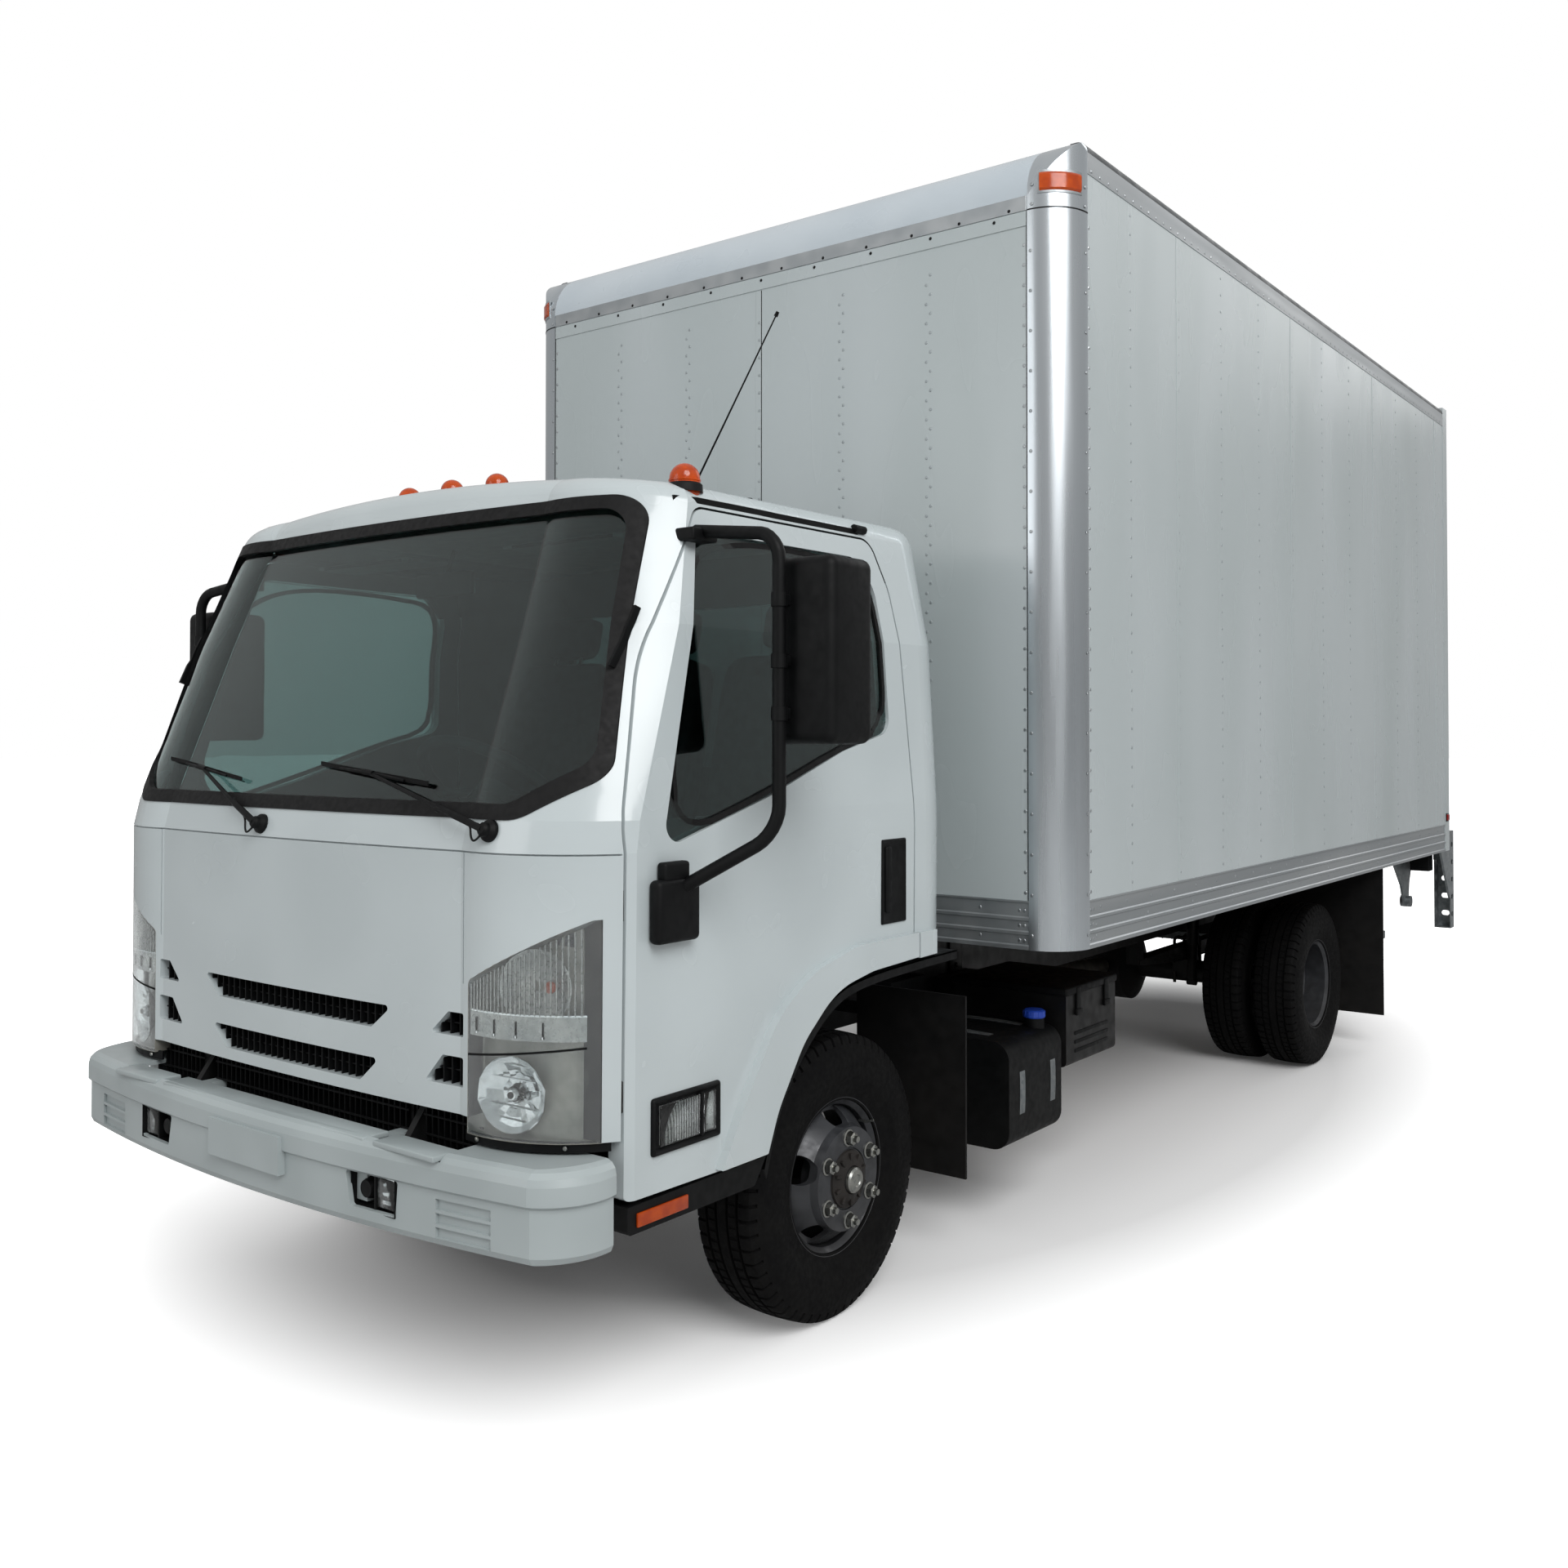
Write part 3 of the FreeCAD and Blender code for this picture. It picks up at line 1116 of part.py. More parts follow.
def rim(middle, out, axle_y):
    """Steel wheel: a barrel under the tyre and a dished disc; out is the side of the disc."""
    lip = RIM_RADIUS + 16
    barrel = RIM_RADIUS - 4
    inside = barrel - 9
    section = [
        (-RIM_HALF, lip), (-RIM_HALF + 20, barrel), (RIM_HALF - 20, barrel), (RIM_HALF, lip),
        (RIM_HALF, lip - 9), (RIM_HALF - 20, inside), (42, inside), (54, 184), (104, HUB_FACE_RADIUS + 8),
        (DISC_FACE, HUB_FACE_RADIUS), (DISC_FACE, WHEEL_BORE), (DISC_FACE - DISC, WHEEL_BORE),
        (DISC_FACE - DISC, HUB_FACE_RADIUS - 6), (96, HUB_FACE_RADIUS), (44, 176), (30, inside),
        (-RIM_HALF + 20, inside), (-RIM_HALF, lip - 9),
    ]
    ring = turned([(middle + out * x, r) for x, r in section], (axle_y, TYRE_RADIUS))
    span = sorted((middle + out * 50, middle + out * (DISC_FACE + 20)))
    half, reach = HAND_HOLE_HALF, HAND_HOLE_LENGTH / 2
    slot = prism([(-reach, -half, half - 0.1), (reach, -half, half - 0.1), (reach, half, half - 0.1),
                  (-reach, half, half - 0.1)], "x", span)
    slot.translate(V(0, axle_y, TYRE_RADIUS + HAND_HOLE_CIRCLE))
    for i in range(HAND_HOLES):
        hole = slot.copy()
        turn = HAND_HOLE_TURN - 90 + i * 360 / HAND_HOLES
        hole.rotate(V(0, axle_y, TYRE_RADIUS), V(1, 0, 0), turn)
        ring = ring.cut(hole)
    return ring


def left_front_wheel():
    """Steel wheel on its hub."""
    wheel = rim(FRONT_TYRE_X, 1, 0)
    face = FRONT_TYRE_X + DISC_FACE
    seat = face - DISC
    section = [(seat - 80, 30 + RUNNING_GAP), (seat - 80, 95), (seat - 14, 95),
               (seat - 14, HUB_FACE_RADIUS - 10), (seat, HUB_FACE_RADIUS - 10), (seat, 80), (face - 2, 80),
               (face - 2, 36), (face + 18, 34), (face + 18, 0), (face - 20, 0), (face - 20, 30 + RUNNING_GAP)]
    hub = turned(section, (0, TYRE_RADIUS))
    return [wheel, hub]


def left_rear_wheels():
    """Twin wheels back to back on the rear hub."""
    inner = rim(TWIN_MIDDLE_X - TWIN_SPACING / 2, 1, WHEELBASE)
    outer = rim(TWIN_MIDDLE_X + TWIN_SPACING / 2, -1, WHEELBASE)
    middle, bore = TWIN_MIDDLE_X, 55 + RUNNING_GAP
    end = middle - 40 + RUNNING_GAP
    section = [(middle - 90, bore), (middle - 90, 110), (middle - DISC - 16, 110),
               (middle - DISC - 16, HUB_FACE_RADIUS - 10), (middle - DISC, HUB_FACE_RADIUS - 10),
               (middle - DISC, 80), (middle + 60, 78), (middle + 95, 60), (middle + 95, 0), (end, 0),
               (end, bore)]
    hub = turned(section, (WHEELBASE, TYRE_RADIUS))
    return [inner, outer, hub]


def front_tyre():
    """The left front tyre."""
    return [tyre(FRONT_TYRE_X, 0)]


def rear_tyres():
    """The left pair of rear tyres."""
    return [tyre(TWIN_MIDDLE_X + s * TWIN_SPACING / 2, WHEELBASE) for s in (-1, 1)]


# ---------------------------------------------------------------- writing
def write(name, solids):
    """Write one node's solids, shifted to the row's origin."""
    shape = Part.Compound([s for s in solids])
    flat = []
    for solid in shape.Solids:
        moved = solid.copy()
        moved.translate(V(0, -CENTRE_Y, 0))
        flat.append(moved)
    if not flat:
        raise ValueError(name + " has no solid")
    result = flat[0] if len(flat) == 1 else Part.Compound(flat)
    result.exportStep(os.path.join("parts", name + ".step"))


NODES = {
    "ladder_frame": (frame_rails, crossmembers),
    "front_axle": (front_axle,),
    "rear_axle": (rear_axle,),
    "leaf_springs": (leaf_springs,),
    "engine": (engine,),
    "driveshaft": (driveshaft,),
    "exhaust": (exhaust,),
    "fuel_tank": (fuel_tank,),
    "def_tank": (def_tank,),
    "battery_box": (battery_box,),
    "front_bumper": (front_bumper,),
    "mudflaps": (mudflaps,),
    "box_floor": (box_floor,),
    "floor_beams": (floor_beams,),
    "box_walls": (box_front_wall, box_side_walls),
    "box_roof": (box_roof,),
    "corner_posts": (corner_posts,),
    "body_rails": (lower_rails, upper_rails),
    "rear_frame": (rear_frame,),
    "rear_door": (rear_door,),
    "box_lamps": (box_lamps,),
    "liftgate_frame": (liftgate_frame,),
    "liftgate_arms": (liftgate_arms,),
    "liftgate_platform": (liftgate_platform,),
    "seats": (seats,),
    "steering_column": (steering_column,),
    "steering_wheel": (steering_wheel,),
    "cab_steps": (cab_steps,),
    "tie_rod": (tie_rod,),
}
LEFT_NODES = {
    "left_mirror": (left_mirror,),
    "left_knuckle": (left_knuckle,),
    "left_front_wheel": (left_front_wheel,),
    "left_rear_wheels": (left_rear_wheels,),
    "left_front_tyre": (front_tyre,),
    "left_rear_tyres": (rear_tyres,),
}


def main():
    """Build every node and write it to parts/."""
    os.makedirs("parts", exist_ok=True)
    nodes = {name: [s for make in makers for s in make()] for name, makers in NODES.items()}
    nodes.update(make_cab())
    for name, makers in LEFT_NODES.items():
        nodes[name] = [s for make in makers for s in make()]
        nodes[name.replace("left", "right")] = [mirrored(s) for s in nodes[name]]
    for name, solids in nodes.items():
        write(name, solids)


main()
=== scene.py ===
"""Looks of the low-cab-forward box truck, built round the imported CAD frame.

Metres, +X to the truck's left, -Y its front, +Z up. Sizes in the classes below are millimetres and
places are measured from the front axle line on the ground, as a body builder's drawing gives them;
at() turns such a place, and mm() such a step, into the frame's metres.
"""

import json
import logging
import math
from dataclasses import dataclass, field
from enum import Enum, IntEnum
from typing import Callable, Optional, Sequence, Union

import bmesh
import bpy
from mathutils import Matrix, Vector
from mathutils.bvhtree import BVHTree

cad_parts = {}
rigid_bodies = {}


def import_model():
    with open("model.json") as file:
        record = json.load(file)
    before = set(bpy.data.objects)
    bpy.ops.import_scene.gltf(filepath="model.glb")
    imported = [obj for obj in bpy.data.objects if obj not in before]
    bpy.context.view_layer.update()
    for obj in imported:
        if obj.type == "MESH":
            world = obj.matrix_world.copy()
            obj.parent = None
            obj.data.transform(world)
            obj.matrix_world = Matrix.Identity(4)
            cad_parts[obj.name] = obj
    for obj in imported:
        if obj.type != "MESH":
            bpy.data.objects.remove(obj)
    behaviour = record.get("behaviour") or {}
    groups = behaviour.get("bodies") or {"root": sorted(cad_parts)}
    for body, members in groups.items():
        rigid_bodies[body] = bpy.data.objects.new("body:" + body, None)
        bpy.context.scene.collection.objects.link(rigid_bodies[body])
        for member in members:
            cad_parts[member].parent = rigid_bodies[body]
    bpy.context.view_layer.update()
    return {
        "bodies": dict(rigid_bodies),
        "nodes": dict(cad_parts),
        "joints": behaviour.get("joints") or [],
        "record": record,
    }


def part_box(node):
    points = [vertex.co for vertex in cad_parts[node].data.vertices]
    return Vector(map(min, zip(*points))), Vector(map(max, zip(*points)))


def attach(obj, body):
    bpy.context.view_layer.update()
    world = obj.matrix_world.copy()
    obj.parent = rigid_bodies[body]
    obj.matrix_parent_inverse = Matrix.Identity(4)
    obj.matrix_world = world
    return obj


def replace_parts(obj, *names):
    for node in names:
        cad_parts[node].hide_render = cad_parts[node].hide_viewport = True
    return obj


LOG = logging.getLogger("box_truck")
MM = 0.001
FULL = 2 * math.pi
REACH = 0.45  # most of an edge or a straight run that the rounding at one end may take
BEND_PULL = 0.55  # how far a bend's handles reach towards its corner
WELD = 1e-6  # points closer than this are one, in metres
COAT_ROUGHNESS = 0.08
AHEAD = -1500  # y ahead of the whole cab, from which surfaces are looked for
ASIDE = 1500  # x beside the cab
ABOVE = 2600  # z over its roof
WHEELBASE = 3810
WHEEL_RADIUS = 386
Tree, Node, Socket = bpy.types.NodeTree, bpy.types.Node, bpy.types.NodeSocket
Solid = bpy.types.Object
Point = Sequence[float]
Span = tuple[float, float]
Span3 = tuple[float, float, float]


# ---------------------------------------------------------------- frame
class Side(IntEnum):
    """Side of the truck, as the sign of its X."""

    LEFT = 1
    RIGHT = -1

    @property
    def word(self) -> str:
        """The side in the names of pieces and bodies."""
        return self.name.lower()


class Axis(Enum):
    """Direction that a bar, a ring or a row of details runs in."""

    X = (1, 0, 0)
    Y = (0, 1, 0)
    Z = (0, 0, 1)

    @property
    def way(self) -> Vector:
        """The direction as a unit vector."""
        return Vector(self.value)


class Datum:
    """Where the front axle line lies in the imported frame, in metres."""

    axle_y: float = 0

    @classmethod
    def fix(cls) -> None:
        """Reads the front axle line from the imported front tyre."""
        low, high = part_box("left_front_tyre")
        cls.axle_y = (low.y + high.y) / 2


def at(x: float, y: float, z: float) -> Vector:
    """A point in metres, from millimetres off the front axle line."""
    return Vector((x * MM, y * MM + Datum.axle_y, z * MM))


def mm(x: float, y: float, z: float) -> Vector:
    """A step in metres, from millimetres."""
    return Vector((x * MM, y * MM, z * MM))


class Surfaces:
    """Search trees of the CAD nodes' meshes, made when first asked for."""

    trees: dict[str, BVHTree] = {}

    @classmethod
    def tree(cls, name: str) -> BVHTree:
        """The search tree of one node.

        Args:
            name: The CAD node.

        Returns:
            Its search tree.
        """
        if name not in cls.trees:
            bm = bmesh.new()
            bm.from_mesh(bpy.data.objects[name].data)
            cls.trees[name] = BVHTree.FromBMesh(bm)
            bm.free()
        return cls.trees[name]


def hit(names: Union[str, Sequence[str]], start: Vector, way: Vector) -> tuple[Vector, Vector]:
    """Finds where a line meets the first of some CAD nodes.

    Args:
        names: The CAD node, or several in the order in which they are tried.
        start: Where the line starts, outside the node.
        way: The line's direction.

    Returns:
        The point on the node's surface and the surface's normal there, turned against the line.

    Raises:
        ValueError: The line misses them all.
    """
    for name in [names] if isinstance(names, str) else names:
        point, normal, _, _ = Surfaces.tree(name).ray_cast(start, way.normalized())
        if point is not None:
            return point, -normal if normal.dot(way) > 0 else normal
    raise ValueError(f"no surface of {names} along {way} from {start}")


# ---------------------------------------------------------------- mesh work
class Form:
    """A mesh in the making: bmesh operators add shapes to it, and piece() turns it into an object.

    Every shape returns its new vertices, so that it can be repeated, mirrored or recessed.
    """

    def __init__(self) -> None:
        """Starts with nothing in it."""
        self.bm = bmesh.new()

    def block(self, low: Point, high: Point, bevel: float = 2, segments: int = 2) -> list:
        """Adds a box with rounded edges.

        Args:
            low: One corner in mm.
            high: The opposite corner in mm.
            bevel: Radius of its edges in mm.
            segments: Steps round each edge.

        Returns:
            The new vertices.
        """
        a, b = at(*low), at(*high)
        size = Vector([abs(b[i] - a[i]) for i in range(3)])
        matrix = Matrix.Translation((a + b) / 2) @ Matrix.Diagonal((*size, 1))
        made = bmesh.ops.create_cube(self.bm, size=1, matrix=matrix)["verts"]
        return self.soften(made, min(bevel * MM, min(size) * REACH), segments)

    def soften(self, verts: list, width: float, segments: int = 2) -> list:
        """Bevels every edge of the given vertices.

        Args:
            verts: Vertices whose edges are rounded.
            width: Width of the bevel in metres.
            segments: Steps across it.

        Returns:
            The vertices of the rounded shape.
        """
        edges = list({edge for vert in verts for edge in vert.link_edges})
        done = bmesh.ops.bevel(self.bm, geom=edges, offset=width, offset_type="OFFSET", segments=segments,
            profile=0.5, affect="EDGES", material=-1, clamp_overlap=True)
        return list({vert for vert in verts if vert.is_valid} | set(done["verts"]))

    def recess(self, verts: list, way: Vector, least: float, rim: float, depth: float) -> None:
        """Sinks or lifts the face of a shape that looks one way and leaves a rim round it.

        Args:
            verts: Vertices of the shape.
            way: Where the face looks.
            least: Area in square metres that tells the face from the rounded edges beside it.
            rim: Width of the rim in mm.
            depth: How far the face is lifted, in mm.
        """
        faces = {face for vert in verts for face in vert.link_faces}
        chosen = [face for face in faces if face.normal.dot(way) > 0.9 and face.calc_area() > least]
        bmesh.ops.inset_region(self.bm, faces=chosen, thickness=rim * MM, depth=depth * MM)

    def bar(self, start: Vector, end: Vector, radius: float, tip: Optional[float] = None,
            segments: int = 16) -> list:
        """Adds a round bar or a cone between two points in metres.

        Args:
            start: Middle of its first end.
            end: Middle of its other end.
            radius: Radius in mm.
            tip: Radius of the other end, if it differs.
            segments: Sides round it.

        Returns:
            The new vertices.
        """
        way = end - start
        turn = way.to_track_quat("Z", "Y").to_matrix().to_4x4()
        return bmesh.ops.create_cone(self.bm, cap_ends=True, segments=segments, radius1=radius * MM,
            radius2=(radius if tip is None else tip) * MM, depth=way.length,
            matrix=Matrix.Translation((start + end) / 2) @ turn)["verts"]

    def lathe(self, profile: Sequence[Span], centre: Vector, axis: Vector, steps: int = 48,
            closed: bool = False, angle: float = FULL, start: Optional[Vector] = None) -> list:
        """Spins a profile about an axis.

        Args:
            profile: (along, radius) points in mm.
            centre: Point on the axis that the profile is measured from.
            axis: Direction of the axis.
            steps: Steps round it.
            closed: Whether the profile joins up into a loop.
            angle: How far it turns.
            start: Direction from the axis in which the turn starts, if that matters.

        Returns:
            The new vertices.
        """
        out = (start or axis.orthogonal()).normalized()
        verts = [self.bm.verts.new(centre + axis.normalized() * (u * MM) + out * (r * MM)) for u, r in profile]
        pairs = list(zip(verts, verts[1:])) + ([(verts[-1], verts[0])] if closed else [])
        edges = [self.bm.edges.new(pair) for pair in pairs]
        before = set(self.bm.verts)
        bmesh.ops.spin(self.bm, geom=verts + edges, cent=centre, axis=axis.normalized(), angle=angle,
            steps=steps, use_merge=angle == FULL, use_duplicate=False)
        made = [vert for vert in self.bm.verts if vert not in before] + verts
        if angle != FULL and closed:
            rims = [edge for edge in {e for v in made for e in v.link_edges} if edge.is_boundary]
            bmesh.ops.holes_fill(self.bm, edges=rims, sides=0)
        bmesh.ops.remove_doubles(self.bm, verts=[v for v in made if v.is_valid], dist=WELD)
        return [vert for vert in made if vert.is_valid]

    def plate(self, outline: Sequence[Vector], way: Vector, bevel: float, segments: int = 2) -> list:
        """Adds a flat plate: a face through points, extruded.

        Args:
            outline: Its corners in order, in metres.
            way: How far and which way it is thickened, in metres.
            bevel: Radius of its edges in mm.
            segments: Steps round each edge.

        Returns:
            The new vertices.
        """
        verts = [self.bm.verts.new(point) for point in outline]
        grown = bmesh.ops.extrude_face_region(self.bm, geom=[self.bm.faces.new(verts)])["geom"]
        top = [item for item in grown if isinstance(item, bmesh.types.BMVert)]
        bmesh.ops.translate(self.bm, verts=top, vec=way)
        return self.soften(verts + top, bevel * MM, segments)

    def ribbon(self, path: Sequence[Vector], across: Vector, thickness: float) -> None:
        """Adds a strip that follows a path: its edges extruded sideways and given a thickness.

        Args:
            path: Points along one edge of the strip, in metres.
            across: From that edge to the other, in metres.
            thickness: Thickness of the strip in mm.
        """
        verts = [self.bm.verts.new(point) for point in path]
        edges = [self.bm.edges.new(pair) for pair in zip(verts, verts[1:])]
        grown = bmesh.ops.extrude_edge_only(self.bm, edges=edges)["geom"]
        faces = [item for item in grown if isinstance(item, bmesh.types.BMFace)]
        far = [item for item in grown if isinstance(item, bmesh.types.BMVert)]
        bmesh.ops.translate(self.bm, verts=far, vec=across)
        bmesh.ops.recalc_face_normals(self.bm, faces=faces)
        bmesh.ops.solidify(self.bm, geom=faces, thickness=thickness * MM)

    def copies(self, verts: list, count: int, **spin: object) -> list:
        """The shape and count - 1 more, set out by the spin operator with the given settings.

        Args:
            verts: Vertices of the shape.
            count: Copies in all, the first among them.
            spin: The operator's other settings.

        Returns:
            Every copy's vertices.
        """
        before = set(self.bm.verts)
        bmesh.ops.spin(self.bm, geom=self.whole(verts), steps=count - 1, use_merge=False, use_duplicate=True,
            **spin)
        return verts + [vert for vert in self.bm.verts if vert not in before]

    def repeat(self, verts: list, step: Vector, count: int) -> list:
        """Copies a shape in a straight row, step metres from one to the next."""
        return self.copies(verts, count, cent=(0, 0, 0), axis=(0, 0, 1), dvec=step, angle=0)

    def ring(self, verts: list, centre: Vector, axis: Vector, count: int) -> list:
        """Copies a shape evenly round an axis through centre."""
        return self.copies(verts, count, cent=centre, axis=axis.normalized(), angle=FULL / count * (count - 1))

    @staticmethod
    def whole(verts: list) -> list:
        """The vertices with the edges and faces between them."""
        faces = list({face for vert in verts for face in vert.link_faces})
        return verts + list({edge for vert in verts for edge in vert.link_edges}) + faces

    def mirror(self, verts: list) -> None:
        """Adds the shape's mirror image on the truck's other side.

        Args:
            verts: Vertices of the shape.
        """
        made = bmesh.ops.duplicate(self.bm, geom=self.whole(verts))["geom"]
        copies = [item for item in made if isinstance(item, bmesh.types.BMVert)]
        bmesh.ops.scale(self.bm, vec=(-1, 1, 1), verts=copies)
        bmesh.ops.reverse_faces(self.bm, faces=[item for item in made if isinstance(item, bmesh.types.BMFace)])

    def studs(self, start: Vector, way: Vector, radius: float, height: float, steps: int = 8) -> list:
        """Adds one domed rivet or bolt head.

        Args:
            start: Middle of its foot on the surface.
            way: Outward direction.
            radius: Radius in mm.
            height: How far it stands proud, in mm.
            steps: Sides round it.

        Returns:
            The new vertices.
        """
        return self.lathe([(0, radius), (height * 0.6, radius * 0.8), (height, 0)], start, way, steps)

    def piece(self, name: str, body: str, finish: "Finish", slot: str, smooth: float = 32,
            outward: bool = True) -> Solid:
        """Turns the mesh into an object that rides on a body.

        Args:
            name: Name of the object.
            body: CAD body that it moves with.
            finish: What it is made of.
            slot: The record's material slot; not used.
            smooth: Edges sharper than this stay hard, in degrees.
            outward: Whether the normals are worked out again.

        Returns:
            The new object.
        """
        if outward:
            bmesh.ops.recalc_face_normals(self.bm, faces=self.bm.faces)
        mesh = bpy.data.meshes.new(name)
        self.bm.to_mesh(mesh)
        self.bm.free()
        mesh.shade_smooth()
        mesh.set_sharp_from_angle(angle=math.radians(smooth))
        mesh.materials.append(finish.material())
        piece = bpy.data.objects.new(name, mesh)
        bpy.context.scene.collection.objects.link(piece)
        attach(piece, body)
        LOG.info("%s: %d faces on %s", name, len(mesh.polygons), body)
        return piece


def traced(names: Union[str, Sequence[str]], ends: Sequence[Vector], way: Vector, steps: int,
        lift: float) -> list[Vector]:
    """Follows CAD surfaces under a straight line.

    Args:
        names: The CAD node, or several in the order in which they are tried.
        ends: Both ends of the line, outside the nodes.
        way: Direction from the line to the surfaces.
        steps: Steps along the line.
        lift: Distance of the path off the surfaces in mm.

    Returns:
        The points of the path.
    """
    found = [hit(names, ends[0].lerp(ends[1], step / steps), way) for step in range(steps + 1)]
    return [point + out * lift * MM for point, out in found]


def rounded(points: Sequence[Vector], cuts: int = 2, closed: bool = False) -> list[Vector]:
    """Rounds a path's corners by cutting them again and again.

    Args:
        points: Corners of the path, in metres.
        cuts: How many times each corner is cut.
        closed: Whether the path is a loop.

    Returns:
        The smoother path.
    """
    path = list(points)
    for _ in range(cuts):
        pairs = list(zip(path, path[1:])) + ([(path[-1], path[0])] if closed else [])
        cut = [end for a, b in pairs for end in (a.lerp(b, 0.25), a.lerp(b, 0.75))]
        path = cut if closed else [path[0]] + cut[1:-1] + [path[-1]]
    return path


def tube(name: str, body: str, points: Sequence[Vector], radius: float, finish: "Finish", slot: str,
        bend: float = 40) -> Solid:
    """Makes a bent tube along straight runs with rounded corners.

    Args:
        name: Name of the object.
        body: CAD body that it moves with.
        points: Corners of its centre line, in metres.
        radius: Its radius in mm.
        finish: What it is made of.
        slot: The record's material slot.
        bend: Radius of its bends in mm.

    Returns:
        The tube as a mesh object.
    """
    curve = bpy.data.curves.new(name, "CURVE")
    curve.dimensions = "3D"
    curve.bevel_depth = radius * MM
    curve.bevel_resolution = 4
    curve.use_fill_caps = True
    curve.resolution_u = 6
    spots = [(points[0], points[0])]
    for before, here, after in zip(points, points[1:], points[2:]):
        legs = (before - here, after - here)
        reach = min(bend * MM, *(leg.length * REACH for leg in legs))
        spots += [(here + leg.normalized() * reach, here) for leg in legs]
    spots.append((points[-1], points[-1]))
    spline = curve.splines.new("BEZIER")
    spline.bezier_points.add(len(spots) - 1)
    for index, (knot, (spot, corner)) in enumerate(zip(spline.bezier_points, spots)):
        pull = spot.lerp(corner, BEND_PULL)
        knot.co = spot
        knot.handle_left_type = knot.handle_right_type = "FREE"
        knot.handle_left, knot.handle_right = (spot, pull) if index % 2 else (pull, spot)
    holder = bpy.data.objects.new(name + "_line", curve)
    bpy.context.scene.collection.objects.link(holder)
    mesh = bpy.data.meshes.new_from_object(holder.evaluated_get(bpy.context.evaluated_depsgraph_get()))
    bpy.data.objects.remove(holder)
    form = Form()
    form.bm.from_mesh(mesh)
    bmesh.ops.remove_doubles(form.bm, verts=form.bm.verts, dist=WELD)
    return form.piece(name, body, finish, slot, smooth=50)


# ---------------------------------------------------------------- finishes
def linear(code: str) -> tuple[float, float, float, float]:
    """Turns an sRGB hex colour into linear RGBA.

    Args:
        code: Six hex digits.

    Returns:
        Linear red, green, blue and an alpha of 1.
    """
    channels = [int(code[i:i + 2], 16) / 255 for i in (0, 2, 4)]
    values = [c / 12.92 if c <= 0.04045 else ((c + 0.055) / 1.055) ** 2.4 for c in channels]
    return values[0], values[1], values[2], 1


Links = dict[Union[str, int], Union[float, Sequence[float], Socket, Node]]


def node(tree: Tree, kind: str, links: Optional[Links] = None, **settings: object) -> Node:
    """Adds one shader node.

    Args:
        tree: The material's node tree.
        kind: Type of the node, without ShaderNode.
        links: For each input, its plain value, the socket that feeds it, or the node whose first output does.
        settings: Properties of the node.

    Returns:
        The node.
    """
    made = tree.nodes.new("ShaderNode" + kind)
    for key, value in settings.items():
        setattr(made, key, value)
    for key, value in (links or {}).items():
        if isinstance(value, Node):
            value = value.outputs[0]
        if isinstance(value, Socket):
            tree.links.new(value, made.inputs[key])
        else:
            made.inputs[key].default_value = value
    return made


